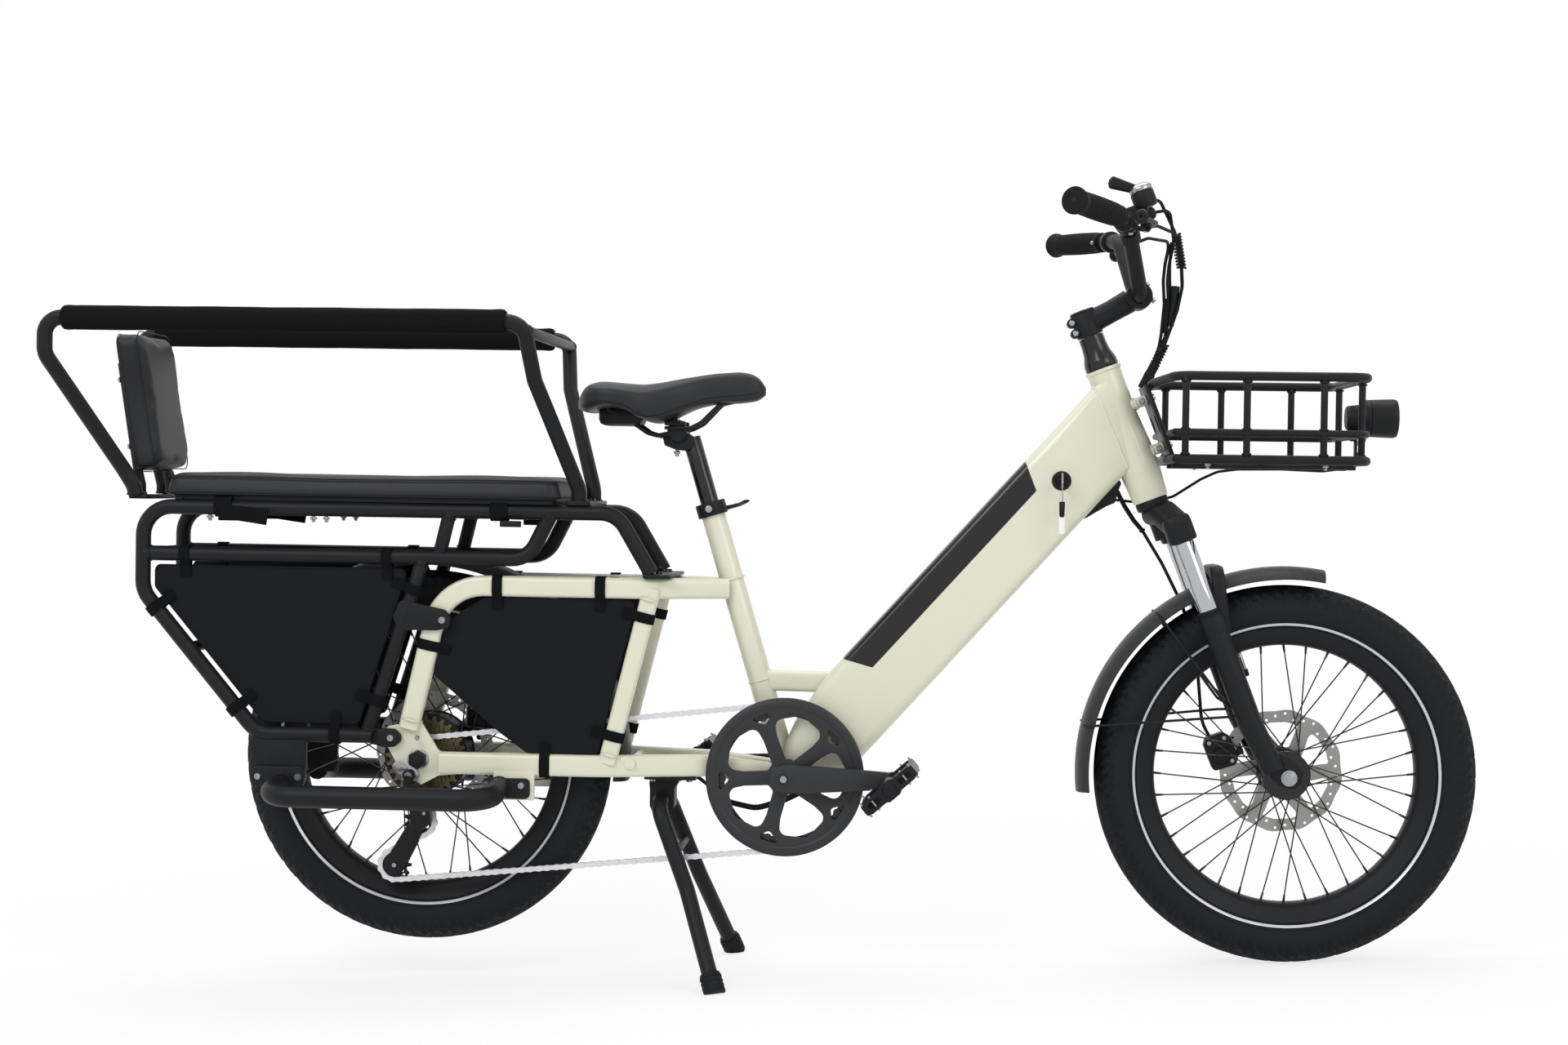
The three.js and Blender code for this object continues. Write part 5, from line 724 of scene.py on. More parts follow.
face_profile = [(0, 0), (14, 0), (14, -1), (12.6, -2.4), (8, -2.6), (7.4, -1.4), (0, -1.4)]
lock_body = [rod(at_lock(0, 10, 0), at_lock(0, 0, 0), 10), turned(face_profile, 40, at_lock(0, 0, 0))]
key_blade = block(at_lock(-1.1, -22, -4), at_lock(1.1, -1, 4), 0.4)
bow_plate = soft_plate([(-1.2, -11), (1.2, -11), (1.2, 11), (-1.2, 11)], 0.4, -33, -20)
bow = cut(bow_plate, rod((-4, -28, 6), (4, -28, 6), 2.4))
bow.transform(Matrix.Translation(at_lock(0, 0, 0)))
ring_path = [
    at_lock(0, -28 + 9 * math.sin(a), -4 + 9 * math.cos(a)) for a in [math.radians(i * 20) for i in range(19)]
]
split_ring = pipe(ring_path, 0.7, sides=8, side=(1, 0, 0))
tag_cord = pipe([at_lock(0, -28, -13), at_lock(1, -29, -24), at_lock(0, -30, -36)], 1.1, 8, sides=10)
sleeve = rod(at_lock(0, -30, -30), at_lock(0, -31, -52), 4.2, 3.6, edge=1)
tag = block(at_lock(-4.5, -32.4, -76), at_lock(4.5, -30, -50), 1)
piece(
    "ignition_key", "key",
    [
        (plastic, lock_body + [sleeve]), (silver, [key_blade, bow, split_ring, tag_cord]),
        (white_plastic, [tag])
    ], nodes="key"
)

# %% [markdown]
# Both wheels are alike: a fat tyre with a reflective line, a black rim, a hub and thirty-six crossed spokes.
# The tyre is turned in fine steps, so that its tread can be cut by moving some of its points inwards.
# %% Tyres
FRONT_WHEEL = STEER @ Matrix.Translation(FRONT_AXLE)
REAR_WHEEL = BIKE @ Matrix.Translation((0, 0, AXLE_HIGH))
TYRE_MIDDLE, TYRE_DEEP, TYRE_HALF = 238, 35, 38
TYRE_STEPS, GROOVE_DEEP = 432, 3.2


def tyre_spot(turn, inset=0.0):
    a = math.radians(turn)
    return (TYRE_MIDDLE + (TYRE_DEEP - inset) * math.cos(a), (TYRE_HALF - inset) * math.sin(a))


def tyre(name, body, place, node):
    turns = [-135, -125, -112, -100, -90, -80, -72, -64, -56, -48, -40, -32, -24, -16, -8, -2]
    turns += [2] + [-t for t in reversed(turns[:-1])]
    outer = [tyre_spot(t) for t in turns]
    inner = [tyre_spot(t, 5) for t in (135, 110, 80, 45, 0, -45, -80, -110, -135)]
    made = turned(outer + inner, TYRE_STEPS, closed=True)
    for vert in made.verts:
        radius = math.hypot(vert.co.x, vert.co.z)
        lean = math.degrees(math.atan2(vert.co.y / TYRE_HALF, (radius - TYRE_MIDDLE) / TYRE_DEEP))
        outside = ((radius - TYRE_MIDDLE) / TYRE_DEEP) ** 2 + (vert.co.y / TYRE_HALF) ** 2 > 0.95
        if not outside or abs(lean) > 74 or abs(lean) < 5:
            continue
        step = round(math.atan2(vert.co.z, vert.co.x) / (2 * math.pi) * TYRE_STEPS)
        slant = step + round(abs(lean) / 6)
        if slant % 8 < 2 or (abs(lean) > 38 and slant % 8 == 5) or 26 < abs(lean) < 34:
            size = 1 - GROOVE_DEEP / radius
            vert.co.x, vert.co.z, vert.co.y = vert.co.x * size, vert.co.z * size, vert.co.y * 0.97
    ridge_radius, ridge_y = tyre_spot(116)
    ridges, lines = [], []
    for side in (1, -1):
        ridges.append(turned(circle(0.9, 6, (ridge_radius, side * ridge_y)), 120, closed=True))
        band = [
            tyre_spot(t, inset)
            for t, inset in ((122.6, -0.5), (126, -0.7), (129.4, -0.5), (129.4, 1), (122.6, 1))
        ]
        lines.append(turned([(r, y * side) for r, y in band], 160, closed=True))
    return piece(
        name, body, [(rubber, [made, *ridges]), (stripe, lines)], nodes=node, place=place,
        corner=40
    )


tyre("tyre_front", "front_wheel", FRONT_WHEEL, "front_tyre")
tyre("tyre_rear", "rear_wheel", REAR_WHEEL, "rear_tyre")

# %% [markdown]
# The rim is a hollow black hoop with a shallow trough inside and a hooked edge that holds the tyre. Spokes
# cross each other on their way from a flange to the rim, and each ends in a nipple, a small nut that draws it
# tight.
# %% Rims
def rim(name, body, place, node):
    half = [
        (186, 0), (186.6, 9), (189, 14), (194, 18.5), (203, 22), (209, 25), (212.6, 26.6), (213.6, 25.6),
        (212.4, 24), (206, 20), (200, 10), (199, 0)
    ]
    outline = half + [(r, -y) for r, y in reversed(half[1:-1])]
    hoop = turned(outline, 144, closed=True)
    valve = rod((0, 0, 186), (0, 0, 158), 3.2, 2.6, sides=12)
    cap = rod((0, 0, 160), (0, 0, 150), 4, 3.2, sides=12)
    return piece(
        name, body, [(black, [hoop]), (plastic, [cap]), (silver, [valve])], nodes=node,
        place=place
    )


rim("rim_front", "front_wheel", FRONT_WHEEL, "front_rim")
rim("rim_rear", "rear_wheel", REAR_WHEEL, "rear_rim")


# %% Hubs and spokes
def spoke_set(flange_radius, flanges):
    wires, nipples = [], []
    for i in range(36):
        turn = i * 2 * math.pi / 36
        sense = 1 if i % 4 < 2 else -1
        lean = math.radians(42) * sense
        foot = Vector((
            flange_radius * math.cos(turn + lean), flanges[i % 2] + sense * 2,
            flange_radius * math.sin(turn + lean)
        ))
        tip = Vector((186.5 * math.cos(turn), 0, 186.5 * math.sin(turn)))
        way = (tip - foot).normalized()
        wires.append(rod(foot, tip, 1.05, sides=8, edge=0))
        nipples.append(rod(tip - way * 11, tip, 1.5, 2.0, sides=10, edge=0))
        wires.append(rod(foot - Vector((0, 2.6, 0)), foot + Vector((0, 2.6, 0)), 1.9, sides=8, edge=0))
    return wires, nipples


wires, nipples = spoke_set(31, (27, -27))
hub_half = [
    (0, -47), (12, -47), (14, -45.5), (17, -44), (17.5, -33), (21, -31.6), (34, -30.5), (35, -29.5),
    (35, -25.5), (34, -24), (22, -23), (17, -17), (15.5, 0)
]
front_hub = turned(hub_half + [(r, -y) for r, y in reversed(hub_half[:-1])], 72)
front_hub = cut(front_hub, rod((0, -60, 0), (0, 60, 0), 5.3))
piece(
    "hub_front", "front_wheel", [(gloss_black, [front_hub, *wires, *nipples])], nodes="front_hub",
    place=FRONT_WHEEL
)

wires, nipples = spoke_set(58, (30.5, -19.5))
motor_outline = [
    (8.6, -55), (17, -55), (17, -26), (40, -25), (58, -24), (62, -22.5), (62, -17), (60.5, -15.5), (60.5, 26),
    (62, 27.5), (62, 33), (58, 35), (44, 36), (38, 40), (30.5, 41.6), (21.7, 41.7), (21.7, 45.8), (8.6, 45.8)
]
motor = turned(motor_outline, 96, closed=True)
lid_bolts = bolt_circle(50, 35.4, 3, 2)
piece(
    "motor", "rear_wheel", [(black, [motor]), (gloss_black, wires + nipples), (silver, lid_bolts)],
    nodes="motor_hub", place=REAR_WHEEL
)

# %% [markdown]
# The brake rotors are pressed from steel: a waved ring with three rows of holes, held by curved arms. They
# show well between the spokes, so their outline and holes are real, and the plate's holes do the rest.
# %% Brake rotors
def brake_rotor(name, body, place, node, at_y):
    rim_line = []
    for i in range(144):
        a = 2 * math.pi * i / 144
        r = 88.6 + 1.3 * math.cos(a * 12)
        rim_line.append((r * math.cos(a), r * math.sin(a)))
    holes = [circle(22.3, 36)]
    for i in range(6):
        middle = 2 * math.pi * i / 6
        window = []
        for r, share in (
            (36, -0.34), (50, -0.52), (62, -0.66), (71, -0.80), (71.5, -0.3), (71.5, 0.3), (71, 0.62),
            (62, 0.70), (50, 0.64), (36, 0.44)
        ):
            a = middle + share * math.pi / 6 + (r - 36) * 0.006
            window.append((r * math.cos(a), r * math.sin(a)))
        holes.append(soft_outline(window, 5, 30))
    for i in range(36):
        a = 2 * math.pi * (i + 0.5) / 36
        r = (84, 80, 76)[i % 3]
        holes.append(circle(2.1, 8, (r * math.cos(a), r * math.sin(a))))
    disc = plate(rim_line, at_y, at_y + 1.8, holes)
    bolts = bolt_circle(33, at_y + 1.8, 3.1, 2)
    return piece(name, body, [(steel, [disc]), (silver, bolts)], nodes=node, place=place)


brake_rotor("rotor_front", "front_wheel", FRONT_WHEEL, "front_rotor", 34)
brake_rotor("rotor_rear", "rear_wheel", REAR_WHEEL, "rear_rotor", 42)

# %% [markdown]
# Chain wheels have teeth that are spaced by half an inch. One outline function makes all of them, from the
# big chainring to the small pulleys: four points for each tooth, with the tip narrower than the root.
# %% Toothed wheels
PITCH, CHAIN_Y = 12.7, -50


def pitch_radius(teeth):
    return teeth * PITCH / (2 * math.pi)


def toothed(teeth, tip=3.0, root=3.6):
    line = []
    for i in range(teeth):
        for share, rise in ((-0.30, -root), (-0.13, tip), (0.13, tip), (0.30, -root)):
            a = 2 * math.pi * (i + share) / teeth
            r = pitch_radius(teeth) + rise
            line.append((r * math.cos(a), r * math.sin(a)))
    return line


cogs = []
for i, teeth in enumerate((28, 24, 22, 20, 18, 16, 14)):
    y = -26 - 4 * i
    spots = [circle(3.2, 10, spot) for spot in circle(pitch_radius(teeth) - 12, 9)] if teeth > 21 else []
    cogs.append(plate(toothed(teeth, 2.6 if teeth < 28 else 3), y - 0.9, y + 0.9, [circle(17.6, 28), *spots]))
carrier = turned([(17.6, -24), (26, -24), (26, -52), (23, -54.6), (17.6, -54.6)], 48, closed=True)
piece(
    "freewheel_cogs", "freewheel", [(bronze, [*cogs, carrier])], nodes="freewheel",
    place=REAR_WHEEL
)

# %% [markdown]
# The chain wraps the chainring, the smallest cog and the two pulleys. The loop is found as straight runs that
# touch each wheel, then cut into steps of one pitch, and every second link is an outer one.
# %% The chain's loop
GUIDE, TENSION = Vector((-2, CHAIN_Y, 180)), Vector((-38, CHAIN_Y, 115))
stops = [
    (BRACKET, pitch_radius(52), 1), (Vector((0, 0, AXLE_HIGH)), pitch_radius(14), 1),
    (GUIDE, pitch_radius(11), -1), (TENSION, pitch_radius(11), 1)
]
headings = []
for (here, radius, sense), (after, next_radius, next_sense) in zip(stops, stops[1:] + stops[:1]):
    dx, dz = after.x - here.x, after.z - here.z
    headings.append(
        math.atan2(dz, dx) + math.asin((sense * radius - next_sense * next_radius) / math.hypot(dx, dz))
    )
loop = []
for i, (middle, radius, sense) in enumerate(stops):
    turn = headings[i] - headings[i - 1]
    while turn * sense < 0:
        turn += sense * 2 * math.pi
    while turn * sense > 2 * math.pi:
        turn -= sense * 2 * math.pi
    for k in range(41):
        heading = headings[i - 1] + turn * k / 40
        reach = sense * radius
        loop.append(
            Vector((middle.x + reach * math.sin(heading), CHAIN_Y, middle.z - reach * math.cos(heading)))
        )
long = sum((b - a).length for a, b in zip(loop, loop[1:] + loop[:1]))
links = 2 * round(long / PITCH / 2)
print("chain of", links, "links")


# %% Its links
def along_loop(distance):
    for a, b in zip(loop, loop[1:] + loop[:1]):
        step = (b - a).length
        if distance <= step:
            return a.lerp(b, distance / step if step else 0)
        distance -= step
    return loop[0]


joints = [along_loop(long * i / links) for i in range(links)]
chain_parts, wide = [], 4.1
for i, (a, b) in enumerate(zip(joints, joints[1:] + joints[:1])):
    gap = (b - a).length
    lens_line = [
        (-wide * 0.8, -2.6), (0, -wide), (gap * 0.5, -3.0), (gap, -wide), (gap + wide * 0.8, -2.6),
        (gap + wide * 0.8, 2.6), (gap, wide), (gap * 0.5, 3.0), (0, wide), (-wide * 0.8, 2.6)
    ]
    spin = Matrix.Translation(a) @ Matrix.Rotation(-math.atan2(b.z - a.z, b.x - a.x), 4, "Y")
    out = 2.9 if i % 2 else 1.7
    for side in (1, -1):
        chain_parts.append(moved(plate(lens_line, side * out, side * (out + 1.0)), spin))
    chain_parts.append(rod(a + Vector((0, -3.5, 0)), a + Vector((0, 3.5, 0)), 2.6, sides=8, edge=0))
piece("chain_links", "frame", [(chain_steel, chain_parts)], nodes="chain")

# %% [markdown]
# The crankset has an outer guard that hides most of the chainring. Its five windows are narrow near the
# middle and wide outside, and a small three-sided hole sits between each two. All corners are round, as in a
# casting.
# %% Crankset
CRANKS = BIKE @ Matrix.Translation(BRACKET)


def polar(radius, degrees):
    a = math.radians(degrees)
    return (radius * math.cos(a), radius * math.sin(a))


guard_holes = []
for k in range(5):
    middle = 75 + 72 * k
    guard_holes.append(
        soft_outline(
            [
                polar(26, middle - 12), polar(60, middle - 26), polar(84, middle - 26), polar(93, middle),
                polar(84, middle + 26), polar(60, middle + 26), polar(26, middle + 12)
            ], 15, 15
        )
    )
    guard_holes.append(
        soft_outline([polar(80, middle + 36), polar(97, middle + 25.5), polar(97, middle + 46.5)], 5, 25)
    )
guard_disc = plate(circle(110, 120), -54.5, -58.5, guard_holes, edge=0.8)
guard_ring = turned(
    [
        (99.5, -54.5), (99.5, -57.6), (101.5, -59.4), (105, -60), (112, -59.4), (114.6, -57.4), (115, -54.8),
        (114.4, -52.5), (111, -51.6), (108, -54.4)
    ], 144, closed=True
)
chainring = plate(toothed(52, 2.8, 3.7), -48.9, -51.1, [circle(88, 72)])
spiders = [rod((x, -51, z), (x, -55, z), 6) for x, z in (polar(91.5, 39 + 72 * k) for k in range(5))]


def crank_arm(sign, forward):
    near, far = sign * 70, sign * 83
    outline = [
        (-12, 17), (-19.5, 9), (-19.5, -9), (-12, -17), (0, -19), (40, -19), (120, -13.5), (152, -12.5),
        (165, -9), (168, 0), (165, 9), (152, 12.5), (120, 14.5), (40, 19), (0, 19)
    ]
    arm = plate([(forward * x, z) for x, z in soft_outline(outline, 7, 20)], near, far, edge=2.6)
    axle_pin = rod((forward * 155, near, 0), (forward * 155, sign * 100, 0), 5, sides=24)
    dust = turned(
        [
            (0, sign * 82.6), (11.5, sign * 82.6), (11.5, sign * 84.2), (10.4, sign * 85), (8.4, sign * 85),
            (8, sign * 83.6), (0, sign * 83.6)
        ], 48
    )
    nut_face = bolt((0, sign * 83.2, 0), (0, sign, 0), 6.6, 2.6)
    return [arm, dust], [axle_pin, nut_face]


boss = rod((0, -54.5, 0), (0, -74, 0), 21, 18, sides=48, edge=2)
spindle = rod((0, -70, 0), (0, 70, 0), 8.4)
right_arm, right_bright = crank_arm(-1, 1)
piece(
    "crankset", "crank",
    [
        (guard_plastic, [guard_disc, guard_ring, boss, *right_arm]), (gloss_black, [chainring, *spiders]),
        (silver, [spindle, *right_bright])
    ], nodes="crankset_right", place=CRANKS
)
left_arm, left_bright = crank_arm(1, -1)
piece(
    "left_crank", "crank", [(black, left_arm), (silver, left_bright)], nodes="crank_left",
    place=CRANKS
)

# %% [markdown]
# The cables to the rear wheel leave the down tube's foot, hang in a shallow loop below the bracket and follow
# the stays. They run side by side, so one list of places makes both, with a small sag between them.
# %% Rear cable loops
loops = [
    pipe(
        [
            (604, y, 292 - sag), (580, y, 246 - sag), (531, y, 221 - sag), (488, y, 207 - sag),
            (445, y, 216 - sag), (404, y + 6, 246), (372, y + 10, 262)
        ], 2.3, 40, 12
    ) for y, sag in ((-12, 0), (-4, 5))
]
piece("rear_cable_loops", "frame", [(rubber, loops)])

# %% [markdown]
# The crank turns in two cups that are screwed into the bracket shell, one from each side. Each is a short
# turned ring.
# %% Bearing cups
cups = [
    turned(
        [(9, s * 33.4), (24, s * 33.4), (24.5, s * 35), (24, s * 38), (17.2, s * 38.4), (9, s * 38)], 40,
        closed=True
    ) for s in (1, -1)
]
piece("bearing_cups", "frame", [(anodised, cups)], nodes="bottom_bracket", place=CRANKS)

# %% [markdown]
# Each pedal is a cage: two long side plates with slots, joined by bars round a barrel, with pins that grip
# the shoe.
# %% Pedals
def pedal(name, body, sign, forward, node):
    low, high = sorted((sign * 97, sign * 186))
    parts, pins = [], []
    for y0, y1 in ((low, low + 7), (high - 7, high)):
        slots = [
            soft_outline([(s * 17, -5), (s * 38, -5), (s * 38, 5), (s * 17, 5)][::s], 3, 30) for s in (1, -1)
        ]
        end = soft_outline(
            [
                (46, -7), (46, 7), (38, 10), (14, 10), (9, 13), (-9, 13), (-14, 10), (-38, 10), (-46, 7),
                (-46, -7), (-38, -10), (-14, -10), (-9, -13), (9, -13), (14, -10), (38, -10)
            ], 3, 25
        )
        parts.append(plate(end, y0, y1, slots, edge=0.8))
    for x in (-42.5, 42.5):
        bar, bar_hole = [
            (x - 3.4, -9), (x + 3.4, -9), (x + 3.4, 9), (x - 3.4, 9)
        ], [(x - 1.6, -5), (x + 1.6, -5), (x + 1.6, 5), (x - 1.6, 5)]
        parts.append(plate(soft_outline(bar, 2, 30), low + 4, high - 4, [soft_outline(bar_hole, 1, 30)]))
    middle = (low + high) / 2
    parts.append(
        cut(
            rod((0, low, 0), (0, high, 0), 11.5, sides=36, edge=1.5),
            rod((0, sign * 90, 0), (0, sign * 181.5, 0), 5.4)
        )
    )
    for s in (1, -1):
        rib = plate(
            soft_outline([(s * 8, -8), (s * 40, -8), (s * 40, 8), (s * 8, 8)][::s], 2, 30), middle - 3,
            middle + 3
        )
        parts.append(rib)
    for x in (-42.5, -28, 28, 42.5):
        for y in (low + 3.5, high - 3.5):
            pins.append(rod((x, y, -12.6), (x, y, 12.6), 1.6, sides=10, edge=0.4))
    cap = rod((0, sign * 186, 0), (0, sign * 189, 0), 10.4, 9, edge=1)
    place = CRANKS @ Matrix.Translation((forward * 155, 0, 0)) @ Matrix.Rotation(-math.radians(41.5), 4, "Y")
    return piece(
        name, body, [(anodised, parts), (plastic, [cap]), (silver, pins)], nodes=node,
        place=place
    )


pedal("right_pedal", "pedal_right", -1, 1, "pedal_right")
pedal("left_pedal", "pedal_left", 1, -1, "pedal_left")

# %% [markdown]
# The derailleur hangs from the dropout: a bright knuckle, a black sprung body and a cage with two toothed
# pulleys.
# %% Pulleys and derailleur
for name, spot in (("guide_pulley", GUIDE), ("tension_pulley", TENSION)):
    windows = [circle(3.4, 12, polar(13, 36 + 72 * k)) for k in range(5)]
    wheel = plate(toothed(11, 2.2, 4.2), -2.2, 2.2, [circle(4.4, 20), *windows], edge=0)
    collar = turned([(4.4, -3.4), (8.4, -3.4), (8.4, 3.4), (4.4, 3.4)], 28, closed=True)
    piece(
        name + "_wheel", name, [(plastic, [wheel, collar])], nodes=name,
        place=BIKE @ Matrix.Translation(spot)
    )
cage_parts, bright_parts = [], []
way = (GUIDE - TENSION).normalized()
across = Vector((way.z, 0, -way.x))
for y, side in ((-55.4, -1), (-44.6, 1)):
    ends = []
    for middle, sense, size in ((TENSION, -1, 15), (GUIDE, 1, 12)):
        for k in range(7):
            a = math.radians(-90 + 30 * k)
            spot = middle + (way * math.cos(a) + across * math.sin(a)) * sense * size
            ends.append((spot.x, spot.z))
    cage_parts.append(plate(ends, y - 1, y + 1, edge=0.4))
for spot in (GUIDE, TENSION):
    bright_parts.append(bolt(spot + Vector((0, -6.2, 0)), (0, -1, 0), 4.2, 2.4))
    cage_parts.append(rod(spot + Vector((0, -5.5, 0)), spot + Vector((0, 5.5, 0)), 3.9))
hanger = [(-24, 258), (-14, 266), (-4, 262), (3, 250), (-2, 240), (-14, 236), (-23, 243)]
bright_parts.append(soft_plate(hanger, 5, -75.4, -79.5, 0.8))
hanger_bolt = rod((-12, -79, 250), (-12, -88, 250), 9.5, 8.6, edge=1.2)
hanger_face = turned([(0, -88), (5.4, -88), (5.4, -88.9), (0, -88.9)], 30, (-12, 0, 250))
body_line = [(-22, 236), (2, 240), (20, 204), (22, 182), (6, 172), (-6, 188)]
body_plate = soft_plate(body_line, 6, -73, -88, 2.2)
knuckle = rod((2, -56, 181), (2, -84, 181), 12, 11, edge=1.6)
link_bar = pipe([(-12, -84, 250), (-14, -84, 238), (-8, -82, 226)], 7, 6, sides=18)
pivot_pins = [bolt(p, (0, -1, 0), 3.2, 1.6) for p in ((-10, -88, 228), (12, -88, 196), (2, -84, 181))]
arm = soft_plate([(-26, 250), (-38, 262), (-33, 270), (-12, 262)], 4, -77, -80.5, 0.6)
piece(
    "derailleur_body", "frame",
    [
        (plastic, [*cage_parts, hanger_bolt, body_plate, knuckle, link_bar]),
        (silver, [*bright_parts, hanger_face, *pivot_pins, arm])
    ], nodes="derailleur"
)

# %% [markdown]
# The rear axle is a plain rod through both dropouts, with a washer and a plastic nut cover at each end. Two
# spacers keep the wheel in the middle. One helper makes them all, because every part is a rod on the same
# line.
# %% Rear axle
def on_axle(near, far, *sizes, **more):
    return rod((0, near, AXLE_HIGH), (0, far, AXLE_HIGH), *sizes, **more)


axle_parts = [on_axle(-90, 90, 6), *[on_axle(s * 75.4, s * 78, 15.5, sides=36, edge=0.6) for s in (1, -1)]]
axle_caps = []
for s in (1, -1):
    axle_caps += [
        on_axle(s * 78, s * 90, 14.5, 13, sides=6, edge=1.6), on_axle(s * 89, s * 92, 9, 7.5, edge=1)
    ]
spacers = [on_axle(47.8, 68, 10.5), on_axle(-56, -68, 10.5)]
piece(
    "wheel_axle_rear", "frame", [(silver, axle_parts + spacers), (plastic, axle_caps)], nodes="rear_axle",
)

# %% [markdown]
# The rack is bent from round tube. Its rails run level, turn down behind the rear wheel and slant forward to
# the footrest plates. It widens a little towards the rear, so every place on it asks one function how far out
# it sits.
# %% Cargo rack
def rack_half(x):
    return 78 + 14 * min(max((286 - x) / 692, 0), 1)


def on_rack(x, side, z):
    return Vector((x, side * rack_half(x), z))


RACK_BAR, RACK_HIGH, RACK_SECOND, RACK_FOOT, RACK_END = 11, 635, 567, 307, -406
rack_tubes, rack_beads, rack_plates, rack_bolts = [], [], [], []
for side in (1, -1):
    outer = [
        (337, 549), (286, RACK_HIGH), (RACK_END, RACK_HIGH), (RACK_END, 512), (-235, RACK_FOOT),
        (-66, RACK_FOOT)
    ]
    second = [(RACK_END, RACK_SECOND), (158, RACK_SECOND), (192, RACK_HIGH)]
    for line, bend in ((outer, 42), (second, 38)):
        rack_tubes.append(pipe([on_rack(x, side, z) for x, z in line], RACK_BAR, bend, 24))
    rack_tubes.append(rod(on_rack(28, side, RACK_SECOND), on_rack(44, side, RACK_HIGH), 10))
    rack_tubes.append(rod(on_rack(6, side, RACK_SECOND), on_rack(-74, side, RACK_FOOT), 10))
    for foot, way, size in (
        ((RACK_END, RACK_SECOND), (1, 0, 0), 11), ((28, RACK_SECOND), (16, 0, 68), 10),
        ((44, RACK_HIGH), (-16, 0, -68), 10), ((6, RACK_SECOND), (-80, 0, -260), 10),
        ((-74, RACK_FOOT), (80, 0, 260), 10), ((190, RACK_HIGH), (-34, 0, -68), 11)
    ):
        way = Vector(way).normalized()
        rack_beads.append(bead(on_rack(foot[0], side, foot[1]) + way * 11, way, size, 1.5))
    high_lug = [(-26, 506), (-36, 480), (-29, 462), (28, 461.8), (46, 466), (49, 480), (40, 491.8), (10, 498)]
    rack_plates.append(soft_plate(high_lug, 9, side * 86.3, side * 93, 1.4))
    low_lug = [
        (-84, 299), (-50, 290.5), (-34, 291), (-25, 299), (-25, 309), (-34, 317), (-50, 317.5), (-84, 313)
    ]
    rack_plates.append(soft_plate(low_lug, 7, side * 75.4, side * 84, 1.2))
    hang = [(-241, 308), (-239, 240), (-234, 233), (-167, 233), (-162, 240), (-160, 308)]
    rack_plates.append(soft_plate(hang, 7, side * 88, side * 95, 1.2))
    rack_bolts.append(bolt((36, side * 93, 477), (0, side, 0), 6.4, 3.6))
    rack_bolts.append(bolt((-39.5, side * 84, 304), (0, side, 0), 6.2, 3.6))
    for x in (-352, -96):
        rack_tubes.append(rod(on_rack(x, side, 646), on_rack(x, side, 648.6), 4.4, sides=16))
slant_share = 0.4
slant_spot = (RACK_END + 171 * slant_share, 512 - 205 * slant_share)
crossbars = [*[(x, RACK_HIGH) for x in (-372, -150, 70, 236)], (RACK_END, RACK_SECOND), slant_spot]
for x, z in crossbars:
    rack_tubes.append(rod(on_rack(x, -1, z), on_rack(x, 1, z), 8))
    for side in (1, -1):
        rack_beads.append(bead(on_rack(x, side, z) - Vector((0, side * RACK_BAR, 0)), (0, 1, 0), 8, 1.4))
rack_base = block((326, -90, 542.4), (366, 90, 547.6), 1.2)
rack_feet = [bolt((346, y, 547.6), (0, 0, 1), 6.4, 4) for y in (-58, 58)]
deck = [rod((331, side * 62, 546), (331, side * 78, 552), 8) for side in (1, -1)]
piece(
    "rack_frame", "frame",
    [
        (black, [*rack_tubes, *rack_beads, *rack_plates, rack_base, *deck]), (silver, rack_bolts),
        (gloss_black, rack_feet)
    ], nodes="cargo_rack"
)

# %% [markdown]
# Each footrest is one thick tube bent into a long handle shape. It ends at two plates that are bolted to the
# rack's hanger and to a tab under the stay.
# %% Footrests
for side, name in ((1, "left"), (-1, "right")):
    loop_path = [
        (-196, side * 99, 236), (-196, side * 178, 228), (122, side * 178, 228), (122, side * 88, 236)
    ]
    tube_form = pipe(loop_path, 16, 44, 32, side=(0, 0, 1))
    rear_end = soft_plate(
        [(-239, 231.4), (-162, 231.4), (-162, 261), (-239, 261)], 7, side * 95.4, side * 101, 1.2
    )
    front_end = soft_plate([(97, 220.4), (166, 220.4), (166, 250), (97, 250)], 7, side * 84.4, side * 90, 1.2)
    rests = [
        bead((-196, side * 101.4, 235.8), (0, 1, 0), 15.6, 1.9),
        bead((122, side * 90.6, 235.8), (0, 1, 0), 15.6, 1.9)
    ]
    tops = [bolt((x, side * 101, 246), (0, side, 0), 6, 3.4) for x in (-230, -171)]
    tops += [bolt((x, side * 90, 240), (0, side, 0), 6, 3.4) for x in (154, 103)]
    piece(
        "footrest_bar_" + name, "frame", [(black, [tube_form, rear_end, front_end, *rests]), (silver, tops)],
        nodes="footrest_" + name
    )

